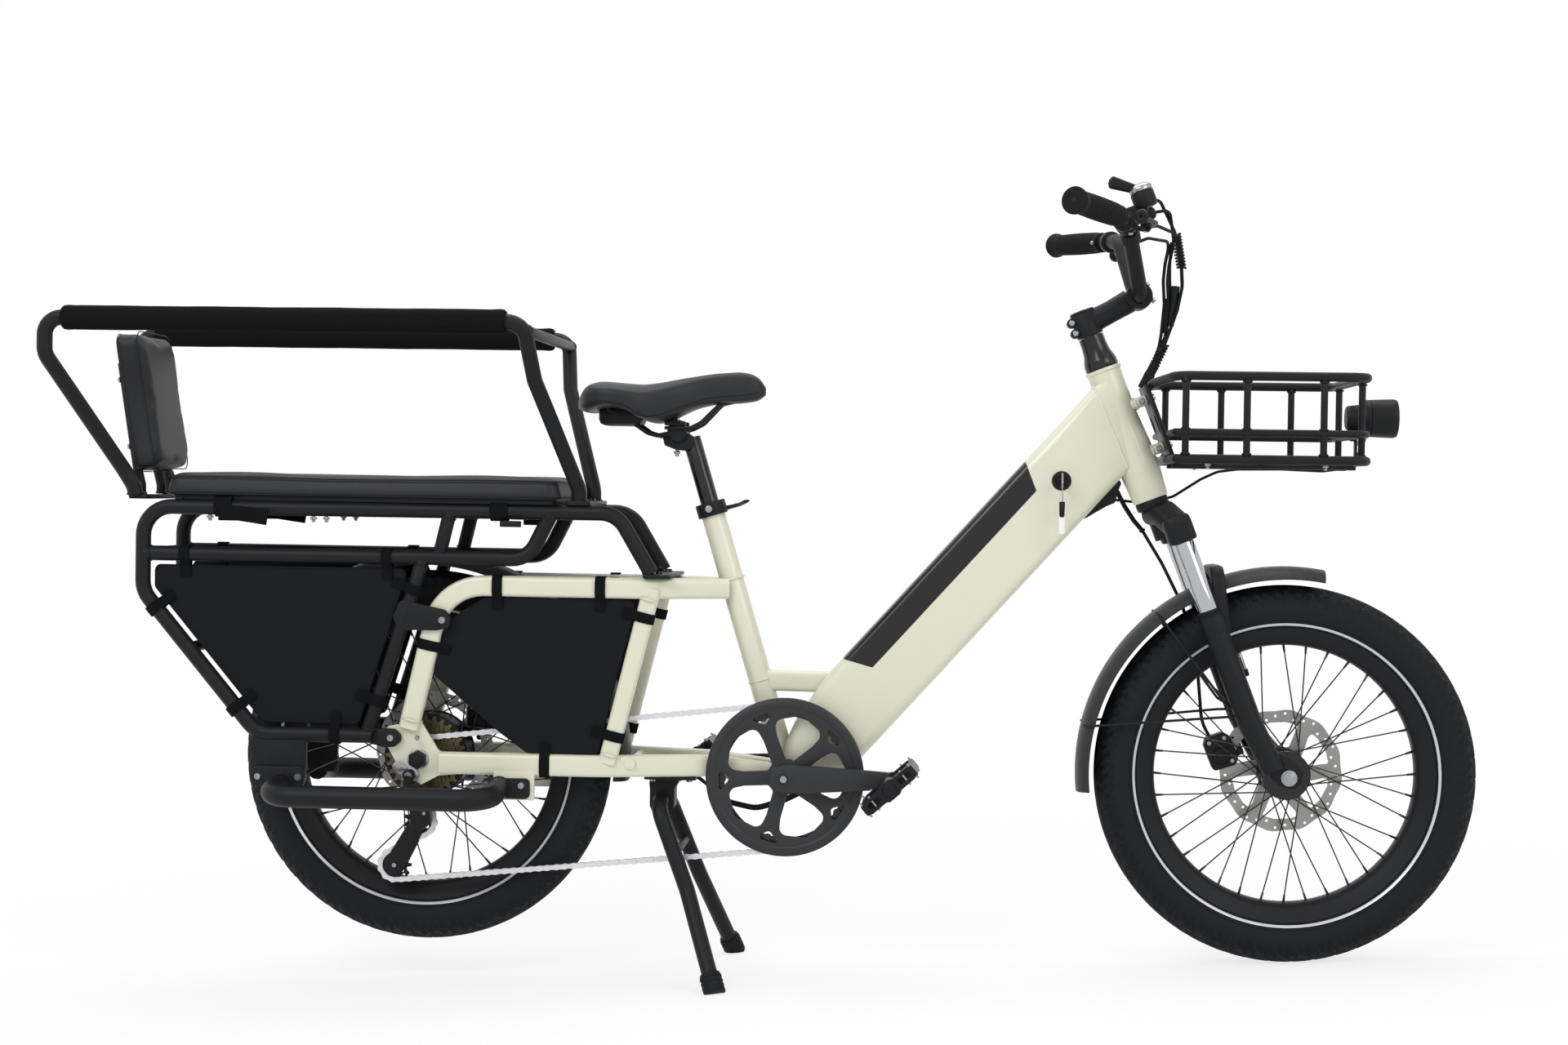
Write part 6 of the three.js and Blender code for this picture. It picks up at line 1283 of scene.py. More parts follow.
# %% [markdown]
# The hand rail runs round the rear seat. Its feet stand on plates across the rack, and its rear corners lean
# out and back. Foam sleeves cover the long sides; their ends bulge a little where the foam was pushed on.
# %% Hand rail
RACK_TOP = RACK_HIGH + RACK_BAR * math.cos(math.pi / 8) + 0.3
HAND_OUT, HAND_HIGH = 203, 901
rail_parts, rail_bolts = [], []
for side in (1, -1):
    rail_parts.append(
        pipe(
            [
                (-420, side * 84, RACK_TOP + 5), (-424, side * 86, RACK_TOP + 20),
                (-436, side * 92, RACK_TOP + 42), (-514, side * HAND_OUT, 850),
                (-514, side * HAND_OUT, HAND_HIGH), (168, side * HAND_OUT, HAND_HIGH),
                (178, side * 160, RACK_TOP + 176), (230, side * 72, RACK_TOP + 22),
                (230, side * 72, RACK_TOP + 4)
            ], 11, 26, 24
        )
    )
    rail_parts.append(bead((230, side * 72, RACK_TOP + 7), (0, 0, 1), 11, 1.8))
    rail_parts.append(bead((-421, side * 84.6, RACK_TOP + 8), (-0.1, 0, 1), 11.2, 1.8))
    rail_parts.append(bead((172, side * 193, 889), (0, 1, 0), 8, 1.4))
    for x in (-420, 230):
        rail_bolts.append(bolt((x, side * 52, RACK_TOP + 6.4), (0, 0, 1), 6, 3.6))
rail_parts.append(rod((172, -196, 889), (172, 196, 889), 8))
for x, behind in ((-420, 11), (230, 18)):
    corners = [(x - behind, -88), (x + 18, -88), (x + 18, 88), (x - behind, 88)]
    rail_parts.append(laid(corners, 6, RACK_TOP + 0.1, RACK_TOP + 6.4, 1))
piece(
    "rail_tubes", "frame", [(black, rail_parts), (gloss_black, rail_bolts)], nodes="hand_rail",
)
for side, name in ((1, "left"), (-1, "right")):
    sleeve = [(11.4, -487), (14.6, -487.6), (17, -485), (17.8, -479), (17.2, -470)]
    for k in range(31):
        share = k / 30
        sleeve.append((
            17.3 + 0.22 * math.sin(share * 23) + 0.12 * math.sin(share * 61 + 1), -465 + share * 587
        ))
    sleeve += [(17.2, 127), (17.8, 136), (17, 142), (14.6, 144.6), (11.4, 144)]
    along_rail = Matrix.Translation((0, side * HAND_OUT, HAND_HIGH)) @ Matrix.Rotation(-math.pi / 2, 4, "Z")
    soft = moved(turned(sleeve, 40, closed=True), along_rail)
    piece("foam_" + name, "frame", [(foam, [soft])], nodes="rail_foam_" + name)

# %% [markdown]
# The stand has a bracket under the stays and one bent double leg, with a rubber shoe on each foot. A peg on
# the bracket is where the spring would hook on.
# %% Stand bracket and legs
PIVOT_X, PIVOT_Z = 350, 217
STAY_LOW = 247.7
top_plate = laid([(326, -46), (402, -46), (402, 46), (326, 46)], 6, STAY_LOW, STAY_LOW + 5, 0.8)
drop_side = [(332, 199.5), (368, 199.5), (368, 232), (378, 247.9), (330, 247.9), (332, 230)]
pivot_hole = rod((PIVOT_X, -30, PIVOT_Z), (PIVOT_X, 30, PIVOT_Z), 8.7)
drop = cut(soft_plate(drop_side, 8, -17.6, 17.6, 1.4), pivot_hole)
plate_bolts = [bolt((x, y, STAY_LOW), (0, 0, -1), 5.6, 3.4) for x in (338, 392) for y in (-34, 34)]
spring_peg = [rod((364, 17, 238), (364, 27, 238), 3), bolt((364, 26.6, 238), (0, 1, 0), 4.6, 2)]
piece(
    "stand_mount", "frame", [(black, [top_plate, drop]), (silver, plate_bolts + spring_peg)],
    nodes="stand_bracket"
)


def ground(x):
    """How high the floor is in the bicycle's own drawing, where it slopes"""
    return AXLE_HIGH - AXLE_HIGH / math.cos(NOSE_DOWN) - (WHEELBASE - x) * math.tan(NOSE_DOWN)


FOOT_X = 446
legs, shoes, leg_bright = [rod((PIVOT_X, -34, PIVOT_Z), (PIVOT_X, 34, PIVOT_Z), 8)], [], []
floor_cut = moved(
    block((-160, -400, -160), (160, 400, 0), 0),
    Matrix.Translation((FOOT_X, 0, ground(FOOT_X))) @ Matrix.Rotation(-NOSE_DOWN, 4, "Y")
)
for side in (1, -1):
    knee, end = Vector((396, side * 82, 94)), Vector((FOOT_X, side * 160, ground(FOOT_X)))
    way = (knee - end).normalized()
    legs.append(
        pipe(
            [(PIVOT_X, side * 31.5, PIVOT_Z), (352, side * 66, 205), knee, end + way * 6], 11.5, 26, 24,
            side=(1, 0, 0)
        )
    )
    legs.append(bead(Vector((351, side * 52, 210)), (0, 1, -0.3), 11.6, 1.5))
    shoes.append(rod(end, end + way * 30, 15.9, 14.8, sides=40, edge=1.2))
    for k in range(3):
        shoes.append(
            moved(
                turned([(14.8, 0), (16, 0.8), (16, 3.2), (14.8, 4)], 40, closed=True),
                towards(end + way * (8 + k * 7), end + way * 30) @ Matrix.Rotation(math.pi / 2, 4, "X")
            )
        )
    leg_bright.append(bolt((PIVOT_X, side * 34, PIVOT_Z), (0, side, 0), 6, 2.4))
trimmed = [cut(shoe, floor_cut.copy()) for shoe in shoes]
floor_cut.free()
brace = rod((377, -72, 146), (377, 72, 146), 6)
piece(
    "stand_leg_pair", "stand", [(black, [*legs, brace]), (rubber, trimmed), (silver, leg_bright)],
    nodes="stand_legs"
)

# %% [markdown]
# A mudguard is a thin sheet, rolled to follow the tyre, with its edges turned towards the wheel. Its section
# is a shallow arch of two layers, swept along an arc, and the front wheel's guard uses the same helper.
# %% Rear mudguard
def guard_sheet(tail, tip, middle, steps=64):
    section = [(43 * s, -16 * abs(s) ** 3) for s in [k / 12 - 1 for k in range(25)]]
    section += [(42.2 * s, -16 * abs(s) ** 3 - 2.2) for s in [1 - k / 12 for k in range(25)]]
    angles = [math.radians(tail + (tip - tail) * i / steps) for i in range(steps + 1)]
    sheet = sweep(section, [(300 * math.cos(a), 0, 300 * math.sin(a)) for a in angles])
    return moved(sheet, Matrix.Translation(middle))


rear_guard = guard_sheet(146, -6, (0, 0, AXLE_HIGH))
guard_bolts = [bolt((0, y, 571.4), (0, 0, 1), 5, 2.6) for y in (-14, 14)]
piece(
    "guard_rear", "frame", [(guard_plastic, [rear_guard]), (silver, guard_bolts)], nodes="rear_mudguard",
)

# %% [markdown]
# A brake caliper is a cast block astride the rotor. The slot that the rotor runs in is cut from it with a
# wide turned disc, and a low dome, a knob and three bolts sit on its outer face. Both wheels use the same
# helper.
# %% Rear brake caliper
def caliper_parts(spot, rotor_y, axle):
    def at_spot(x, y, z):
        return Vector(spot) + Vector((x, rotor_y + y, z))

    outline = [(-20, -24), (14, -25.5), (20.5, -18), (20.5, 16), (12, 25.5), (-14, 25.5), (-20.5, 16)]
    side = moved(soft_plate(outline, 6, rotor_y - 4.4, rotor_y + 17.4, 1.8), Matrix.Translation(spot))
    slot_profile = [(0, rotor_y - 1.2), (92, rotor_y - 1.2), (92, rotor_y + 3), (0, rotor_y + 3)]
    body = cut(side, turned(slot_profile, 64, axle))
    dome = rod(at_spot(-2, -4.2, -6), at_spot(-2, -8.4, -6), 13, 11, sides=32, edge=1)
    knob = rod(at_spot(-2, -8.2, -6), at_spot(-2, -10.4, -6), 6.4, sides=18, edge=0.6)
    fixings = [bolt(at_spot(x, -4.4, z), (0, -1, 0), 4, 2.6) for x, z in ((11, 17), (-12, 17), (11, -18))]
    return [body, dome, knob], fixings


shell_parts, fixings = caliper_parts((68.4, 0, 323.4), 42, (0, 0, AXLE_HIGH))
foot = soft_plate([(60.6, 290), (76.2, 290), (76.2, 318), (60.6, 318)], 4, 47.8, 61.5, 0.9)
piece(
    "caliper_rear", "frame", [(plastic, [*shell_parts, foot]), (silver, fixings)], nodes="rear_caliper",
)

# %% [markdown]
# The seat collar is a split ring that a quick-release lever draws tight. The lever is one flattened bar that
# curls round from the pin's head.
# %% Seat collar
collar_band = cut(
    rod(on_seat(393), on_seat(413), 22.2, sides=48, edge=1.2),
    rod(on_seat(380), on_seat(420), 17.9, sides=48, edge=0)
)
lever_line = [on_seat(403) + Vector(spot) for spot in ((4, 19, 0), (22, 24.4, 2.5), (42, 9, 8), (50, -2, 12))]
quick = pipe(lever_line, 4, 12, 18, sizes=lambda s: (1.1 + 0.7 * s, 1.0 - 0.35 * s))
skewer = rod(on_seat(403) + Vector((-2, -20, 0)), on_seat(403) + Vector((-2, -26, 0)), 6, 5, edge=0.8)
piece(
    "collar_clamp", "frame", [(black, [collar_band, quick]), (silver, [skewer])], nodes="seat_collar",
)

# %% [markdown]
# The rear seat's cushions are foam in a sewn cover. Each starts as a rounded box that is slightly too small.
# It is remeshed evenly, blown up as cloth with a little pressure, and held back where a board or a limit
# keeps it. Seams are laid on afterwards, where the cover's pieces meet.
# %% Blowing up a cushion
def slab_form(low, high, corner, lip, place=Matrix()):
    """A box with round corners seen from above and softened upper and lower edges"""
    low, high = Vector(low), Vector(high)
    size, middle = high - low, (high + low) / 2
    rings = []
    for share, inset in ((0, lip), (0.12, lip * 0.35), (0.26, 0), (0.74, 0), (0.88, lip * 0.35), (1, lip)):
        ring = rounded(size.x - 2 * inset, size.y - 2 * inset, corner - inset * 0.5, 15)
        rings.append([place @ (middle + Vector((x, y, (share - 0.5) * size.z))) for x, y in ring])
    return stack(rings)


def blown(form, cap, hold, size=5, pressure=4.0):
    """The form as cloth under pressure; hold says how free a point is, and cap is the most it may move"""
    mesh = bpy.data.meshes.new("cover")
    bmesh.ops.recalc_face_normals(form, faces=form.faces)
    form.transform(Matrix.Scale(0.001, 4))
    form.to_mesh(mesh)
    form.free()
    cover = bpy.data.objects.new("cover", mesh)
    bpy.context.collection.objects.link(cover)
    even = cover.modifiers.new("even", "REMESH")
    even.mode, even.voxel_size = "VOXEL", size / 1000
    view_layer = bpy.context.view_layer
    view_layer.update()
    cover.data = bpy.data.meshes.new_from_object(cover.evaluated_get(bpy.context.evaluated_depsgraph_get()))
    cover.modifiers.clear()
    starts = [v.co * 1000 for v in cover.data.vertices]
    ends = starts
    cloth = cover.modifiers.new("air", "CLOTH")
    cloth.settings.quality = 4
    cloth.settings.use_pressure = True
    cloth.settings.uniform_pressure_force = pressure
    cloth.settings.effector_weights.gravity = 0
    cloth.point_cache.frame_start, cloth.point_cache.frame_end = 1, 20
    for number in range(1, 21):
        bpy.context.scene.frame_set(number)
    seen = cover.evaluated_get(bpy.context.evaluated_depsgraph_get())
    ends = [v.co * 1000 for v in seen.data.vertices]
    bpy.context.scene.frame_set(1)
    made = bmesh.new()
    made.from_mesh(cover.data)
    moved_most = 0
    for vert, start, end in zip(made.verts, starts, ends):
        step = end - start
        limit = cap * hold(start)
        if step.length > limit:
            step *= limit / step.length
        moved_most = max(moved_most, step.length)
        vert.co = start + step
    bmesh.ops.smooth_vert(
        made, verts=made.verts[:], factor=0.5, use_axis_x=True, use_axis_y=True, use_axis_z=True
    )
    old = cover.data
    bpy.data.objects.remove(cover)
    bpy.data.meshes.remove(old)
    print("cover points", len(made.verts), "moved at most", round(moved_most, 1), "mm")
    return made


def sewn(made):
    """One subdivision, so that the cover's curves stay smooth up close"""
    finer = made.modifiers.new("finer", "SUBSURF")
    finer.levels = finer.render_levels = 1
    return made


# %% [markdown]
# The seat pad is one long cushion on a board. Its upper edge and its lower edge have a sewn seam, and the
# cover is a little slack between the corners, so the long seams wave by about a millimetre.
# %% Seat pad
PAD_LOW, PAD_FORM_TOP, PAD_CROWN = 651.5, 681.1, 668
PAD_CORNERS = (-375, -99.5), (208, 99.5)
seat_form = slab_form((*PAD_CORNERS[0], PAD_LOW), (*PAD_CORNERS[1], PAD_FORM_TOP), 19, 4)
seat_cover = blown(seat_form, 4.5, lambda p: min(max((p.z - PAD_LOW - 3) / 16, 0.0), 1.0))
for vert in seat_cover.verts:
    if vert.co.z > PAD_CROWN:
        lift = 0.9 * math.sin(vert.co.x / 61) + 0.6 * math.sin(vert.co.x / 27 + vert.co.y / 40)
        vert.co.z += lift * min((vert.co.z - PAD_CROWN) / 14, 1)


def seam_ring(low, high, corner, inset, up, thick=0.9, wave=0.0):
    size = (high[0] - low[0] - 2 * inset, high[1] - low[1] - 2 * inset)
    ring = rounded(*size, corner, 12)
    fine = []
    for (x0, y0), (x1, y1) in zip(ring, ring[1:] + ring[:1]):
        parts = max(1, round(math.hypot(x1 - x0, y1 - y0) / 12))
        fine += [(x0 + (x1 - x0) * k / parts, y0 + (y1 - y0) * k / parts) for k in range(parts)]
    middle = ((high[0] + low[0]) / 2, (high[1] + low[1]) / 2)
    spots = [(middle[0] + x, middle[1] + y, up + wave * math.sin((middle[0] + x) / 61)) for x, y in fine]
    return pipe([*spots, spots[0]], thick, sides=8, side=(0, 0, 1))


top_seam = seam_ring(*PAD_CORNERS, 23, 1.5, 679, 1.1, 0.9)
low_seam = seam_ring(*PAD_CORNERS, 22, 1.2, 654.4, 0.9)
pad_board = laid([(-365, -91), (198, -91), (198, 91), (-365, 91)], 16, RACK_TOP + 0.1, 652.6, 0.8)
seat = piece(
    "seat_cushion", "frame", [(leather, [seat_cover]), (piping, [top_seam, low_seam])], nodes="seat_pad",
    corner=60
)
sewn(seat)
piece("seat_board", "frame", [(plastic, [pad_board])])

# %% [markdown]
# The backrest is a smaller cushion that leans back, on a bracket bent from round bar. It is made lying flat,
# with its front upwards, and turned up into place.
# %% Backrest
BACK_LEAN, BACK_X = math.radians(9), -424
BACK_PLACE = (
    Matrix.Translation((BACK_X, 0, 788.5)) @ Matrix.Rotation(-BACK_LEAN, 4, "Y")
    @ Matrix.Rotation(math.pi / 2, 4, "Y")
)
back_form = slab_form((-103, -79.5, -19.5), (103, 79.5, 16.5), 17, 4)
back_cover = blown(back_form, 5.5, lambda p: min(max((p.z + 14) / 14, 0.08), 1.0))
back_seams = [
    seam_ring((-103, -79.5), (103, 79.5), 21, inset, up, 0.9) for inset, up in ((1.4, 14), (1.2, -16.6))
]
back = piece(
    "backrest_cushion", "frame",
    [(leather, [moved(back_cover, BACK_PLACE)]), (piping, [moved(s, BACK_PLACE) for s in back_seams])],
    nodes="backrest_pad", corner=60
)
sewn(back)


def back_line(up):
    return BACK_X - 22.8 / math.cos(BACK_LEAN) - (up - 786.5) * math.tan(BACK_LEAN)


brackets, bracket_bolts = [], []
for side in (1, -1):
    y = side * 45
    brackets.append(
        pipe(
            [
                (back_line(845), y, 845), (back_line(688), y, 688), (-426, y, RACK_TOP + 20.5),
                (-426, y, RACK_TOP + 6.9)
            ], 7, 16, 20
        )
    )
    brackets.append(bead((-426, y, RACK_TOP + 9), (0, 0, 1), 7, 1.5))
    for up in (722, 820):
        x = back_line(up)
        bracket_bolts.append(bolt((x - 6.8, y, up), (-1, 0, -0.16), 5, 3))
brackets.append(rod((back_line(728), -45, 728), (back_line(728), 45, 728), 7))
piece(
    "backrest_frame", "frame", [(black, brackets), (silver, bracket_bolts)], nodes="backrest_bracket",
)

# %% [markdown]
# The side panels are stiff cloth, tied to the tubes with strips of hook-and-loop tape. A strip starts on the
# panel's inner face, goes round the tube and ends on its own outer layer. It is swept along that path in a
# small frame of its own: the first direction runs along the tube and the third from the panel to the tube.
# %% Tape round a tube
def tape(x, z, turn, plane, tube_y, half_y, half_up, side, wide=15, thick=1.5, reach=30):
    """Tape from a panel at a plane round a tube centred at x, z; turn points from panel to tube"""
    t = tube_y - plane
    inner, outer = t - half_y - 1.4, t + half_y + 1.4
    spots = [
        (-2.4, -reach), (-2.6, -half_up - 2), (inner, -half_up * 0.4), (inner, half_up * 0.6),
        (t - half_y * 0.5, half_up + 1.4), (t + half_y * 0.5, half_up + 1.4), (outer, half_up * 0.6),
        (outer, -half_up * 0.5), (3 + thick, -half_up - 5), (2.6 + thick, -reach - 3)
    ]
    made = sweep(
        rounded(wide, thick, 0.5, 45), [(0, out, up) for out, up in spots], 4, side=(1, 0, 0), step=20
    )
    made.transform(Matrix.Rotation(math.radians(turn + 90), 4, "Y"))
    for vert in made.verts:
        vert.co = Vector((x + vert.co.x, side * (plane + vert.co.y), z + vert.co.z))
    return made


def cloth_panel(outline, plane, side, slope=0.0):
    """A stiff cloth panel with a bound edge, a little wavy where nothing holds it"""
    line = soft_outline(outline, 9, 15)
    sheet = bmesh.new()
    sheet.faces.new([sheet.verts.new((x, 0, z)) for x, z in line])
    xs, zs = [p[0] for p in line], [p[1] for p in line]
    for axis, low, high in ((0, min(xs), max(xs)), (2, min(zs), max(zs))):
        spot, normal = [0, 0, 0], [0, 0, 0]
        normal[axis] = 1
        for number in range(1, int((high - low) / 13)):
            spot[axis] = low + 13 * number
            geom = sheet.verts[:] + sheet.edges[:] + sheet.faces[:]
            bmesh.ops.bisect_plane(sheet, geom=geom, plane_co=spot, plane_no=normal)
    bmesh.ops.solidify(sheet, geom=sheet.faces[:], thickness=2.6)
    middle = sum(v.co.y for v in sheet.verts) / len(sheet.verts)
    rim = pipe([Vector((x, middle, z)) for x, z in [*line, line[0]]], 2.0, sides=8, side=(0, 1, 0))
    for form in (sheet, rim):
        for vert in form.verts:
            wave = 0.7 * math.sin(
                vert.co.x / 41 + vert.co.z / 57
            ) + 0.4 * math.sin(vert.co.x / 19 - vert.co.z / 31)
            vert.co.y = side * (plane + slope * vert.co.x + vert.co.y - middle + wave)
    return sheet, rim


# %% [markdown]
# The rear panels hang inside the rack's sides, and the front ones between the frame's rails, struts and
# stays.
# %% Side panels
REAR_SHAPE = [(-388, 549), (-18.4, 549), (-87.3, 325), (-226.8, 325), (-388, 518.5)]
FRONT_SHAPE = [
    (96, 508.5), (314, 508.5), (264, 300), (262, 287.5), (160, 287.5), (118, 318), (22.4, 398), (40, 470),
    (62, 488)
]
REAR_TIES = [
    (-343, 567, -90), (-47, 567, -90), (-8, 521, 17), (-58, 358, 17), (-386, 488, 140), (-266, 344, 140),
    (-120, 307, 90)
]
FRONT_TIES = [
    (114, 527, -90, 76, 10, 15), (264, 527, -90, 76, 10, 15), (327.7, 485, 13.7, 74, 8, 13),
    (286, 313, 13.7, 74, 8, 13), (13.4, 440, -167.3, 76, 10, 15), (186, 269, 90, 74, 10, 16)
]
SLOPE = rack_half(1) - rack_half(0)
for name, side in (("left", 1), ("right", -1)):
    sheet, rim = cloth_panel(REAR_SHAPE, rack_half(0) - 4, side, SLOPE)
    ties = [tape(x, z, turn, rack_half(x) - 4, rack_half(x), 11, 11, side) for x, z, turn in REAR_TIES]
    piece(
        "panel_rear_cloth_" + name, "frame", [(panel_cloth, [sheet, rim]), (strap_tape, ties)],
        nodes="panel_rear_" + name
    )
    sheet, rim = cloth_panel(FRONT_SHAPE, 76, side)
    ties = [
        tape(x, z, turn, 76, tube_y, half_y, half_up, side)
        for x, z, turn, tube_y, half_y, half_up in FRONT_TIES
    ]
    piece(
        "panel_front_cloth_" + name, "frame", [(panel_cloth, [sheet, rim]), (strap_tape, ties)],
        nodes="panel_front_" + name
    )

# %% [markdown]
# Two webbing straps on each side hold the seat pad to the top rails. The rear one has a loose tail, and the
# front one a ladder buckle. Carriage bolts hold the pad's board to the rails.
# %% Straps under the seat pad
webbing, buckles, board_bolts = [], [], []
for side in (1, -1):
    for x in (-287, 116):
        y = rack_half(x)
        spots = [
            (y - 26, 653.6), (y - 13, 650.4), (y - 12.6, 634), (y - 8, 622.6), (y + 1, 621.6),
            (y + 10.6, 627), (y + 12.8, 638), (y + 8, 650), (y - 4, 653.6)
        ]
        around = [(x, side * out, up) for out, up in spots]
        webbing.append(sweep(rounded(26, 1.5, 0.6, 45), around, 5, side=(1, 0, 0), step=20))
    y = rack_half(-250) + 12.6
    tail = [
        (-292, side * (y + 0.8), 627), (-262, side * (y + 2.4), 627), (-240, side * (y + 1.2), 624),
        (-219, side * (y + 4), 621)
    ]
    webbing.append(sweep(rounded(22, 1.4, 0.6, 45), tail, 12, side=(0, 0, 1), step=12))
    y = rack_half(130) + 13
    buckles.append(
        block((119, min(side * y, side * (y + 4)), 613), (150, max(side * y, side * (y + 4)), 622), 1.2)
    )
    for x in (-156, -137, -308):
        y = side * rack_half(x)
        board_bolts.append(rod((x, y, 619), (x, y, 624.5), 3.2, 2.6, 12))
        board_bolts.extend(nut((x, y, 622.5), (0, 0, -1), 5.2, 3))
piece(
    "pad_straps", "frame", [(strap_tape, webbing), (plastic, buckles), (steel, board_bolts)],
    corner=50
)

# %% [markdown]
# The saddle is a moulded shell under a stitched cover. Its rings come from three curves along it: how wide it
# is, and the heights of its crest and of its lower edge. A seam runs along each side where the top cover
# meets the side cover.
# %% Saddle
SADDLE_TOP = [
    (221, 794), (223.7, 808), (235.7, 822.6), (256, 827.5), (296, 824.5), (318.5, 823.2), (342.6, 827),
    (366.7, 832.5), (416.8, 841.7), (457, 844.8), (477, 840.4), (489, 829.6), (493, 818)
]
SADDLE_LOW = [
    (221, 786), (232, 780), (250, 784), (273.6, 789), (293.6, 784.5), (309.7, 773.9), (325.7, 767.2),
    (337.6, 766.4), (353.4, 770.6), (373, 780.7), (393, 789.8), (424.4, 797.1), (452, 797.4), (480, 801),
    (489, 807), (493, 812)
]
SADDLE_WIDE = [
    (221, 34), (224, 52), (230, 70), (240, 85), (256, 95), (275, 98), (296, 96), (318, 88), (332, 78),
    (343, 68), (367, 50), (393, 36), (417, 29), (440, 26), (457, 24), (477, 20), (488, 14), (493, 7)
]
SADDLE_SEAM = [
    (231, 790.5), (255, 795), (275, 794), (295, 786), (315, 776), (329, 774), (350, 780), (374, 791),
    (403.6, 802.4), (429, 807), (453, 808.5), (472.5, 811.5), (490, 816)
]


def height_at(curve, x):
    if x <= curve[0][0]:
        return curve[0][1]
    for (x0, z0), (x1, z1) in zip(curve, curve[1:]):
        if x <= x1:
            share = (x - x0) / (x1 - x0)
            return z0 + (z1 - z0) * share
    return curve[-1][1]


def eased(curve, x, reach=6):
    return sum(height_at(curve, x + step * reach) * part for step, part in ((-1, 0.25), (0, 0.5), (1, 0.25)))


def saddle_section(x):
    return eased(SADDLE_TOP, x, 4), eased(SADDLE_LOW, x, 4), eased(SADDLE_WIDE, x, 3)


def saddle_spot(x, angle):
    top, low, half = saddle_section(x)
    a = math.radians(angle)
    wide = math.copysign(abs(math.cos(a)) ** 0.62, math.cos(a))
    tall = math.copysign(abs(math.sin(a)) ** (0.8 if math.sin(a) > 0 else 0.45), math.sin(a))
    z = (top + low) / 2 + (top - low) / 2 * tall
    y = half * wide
    if tall > 0:
        groove = 2.2 * math.exp(-(y / 9) ** 2) * min(
            max((x - 235) / 40, 0), 1
        ) * min(max((470 - x) / 50, 0), 1)
        z -= groove * tall
    return Vector((x, y, z))


stops = [221, 222.5, 225, 229, 234, 240, *range(248, 472, 8), 474, 480, 485, 489, 491.5, 493]
saddle_cover = stack([[saddle_spot(x, 360 * k / 56) for k in range(56)] for x in stops])
bmesh.ops.smooth_vert(
    saddle_cover, verts=saddle_cover.verts[:], factor=0.4, use_axis_x=True, use_axis_y=True, use_axis_z=True
)
seams = []
for side in (1, -1):
    spots = []
    for x in range(233, 487, 6):
        z = height_at(SADDLE_SEAM, x)
        top, low, half = saddle_section(x)
        share = min(max((z - (top + low) / 2) / ((top - low) / 2), -0.98), 0.98)
        sine = abs(share) ** (1 / (0.8 if share > 0 else 0.45))
        spots.append(Vector((x, side * half * (1 - sine * sine) ** 0.31, z)))
    seams.append(pipe(spots, 0.8, 8, 8))
saddle_made = piece(
    "saddle_cover", "seat_post", [(saddle_skin, [saddle_cover]), (piping, seams)], nodes="saddle",
    corner=75
)
sewn(saddle_made)

# %% [markdown]
# Under the saddle are its two steel rails, a soft black box at the tail, and the post's head: a forging with
# a round cradle, a toothed clamp in two halves and one long bolt.
# %% Saddle rails and seat post
rails_made = []
for side in (1, -1):
    rails_made.append(
        pipe(
            [
                (262, side * 34, 787), (300, side * 24, 768), (322, side * 22, 753), (338, side * 22, 748.8),
                (384, side * 22, 759.8), (400, side * 20, 768), (428, side * 12, 797), (446, side * 8, 801)
            ], 3.5, 16, 14
        )
    )
box_under = block((250, -34, 763), (314, 34, 792), 9)
piece("saddle_rails", "seat_post", [(black, rails_made), (plastic, [box_under])])

shaft = rod(on_seat(222), on_seat(512), 13.6, sides=48)
head_side = [(343, 748), (346, 735), (362, 729), (378, 727), (391, 736), (387, 749), (372, 757), (352, 756)]
head = soft_plate(head_side, 5, -15, 15, 1.5)
cradle = turned([(0.1, -25), (12.4, -25), (14.4, -23), (14.4, 23), (12.4, 25), (0.1, 25)], 40, (365, 0, 754))
teeth = []
for k in range(11):
    (tip_x, tip_z), (root_x, root_z) = polar(14.9, 200 + 14 * k), polar(13, 200 + 14 * k)
    tooth = [(364.4 + tip_x, 754 + tip_z), (365.6 + tip_x, 754 + tip_z), (365 + root_x, 754 + root_z)]
    teeth.append(plate(tooth, -16, 16))
jaws = [
    block((347, side * 22 - 7, low), (378, side * 22 + 7, high), 1.6) for side in (1, -1)
    for low, high in ((764, 770), (758, 763))
]
yoke = block((356, -29, 765.5), (372, 29, 772), 2)
long_bolt = [rod((363, 0, 722), (363, 0, 776), 3), *nut((363, 0, 727), (0, 0, -1), 5.5, 4)]
piece(
    "seat_post_head", "seat_post",
    [(gloss_black, [shaft]), (black, [head, cradle, *teeth, *jaws, yoke]), (silver, long_bolt)],
    nodes="seat_post"
)
# %% [markdown]
# The fork is built in the steering frame, whose third axis runs up the steerer. The steerer, crown and chrome
# stanchions turn with the handlebar. The lower legs slide on the stanchions and carry the wheel, mudguard and
# brake.
# %% Fork crown and stanchions
LEG_X, LEG_OUT = 18, 62


def upright(profile, middle=(0, 0), count=48):
    """Rings of (radius, height) round a line that stands at a place of the ground plan"""
    return stack([[(x, y, up) for x, y in circle(radius, count, middle)] for radius, up in profile])


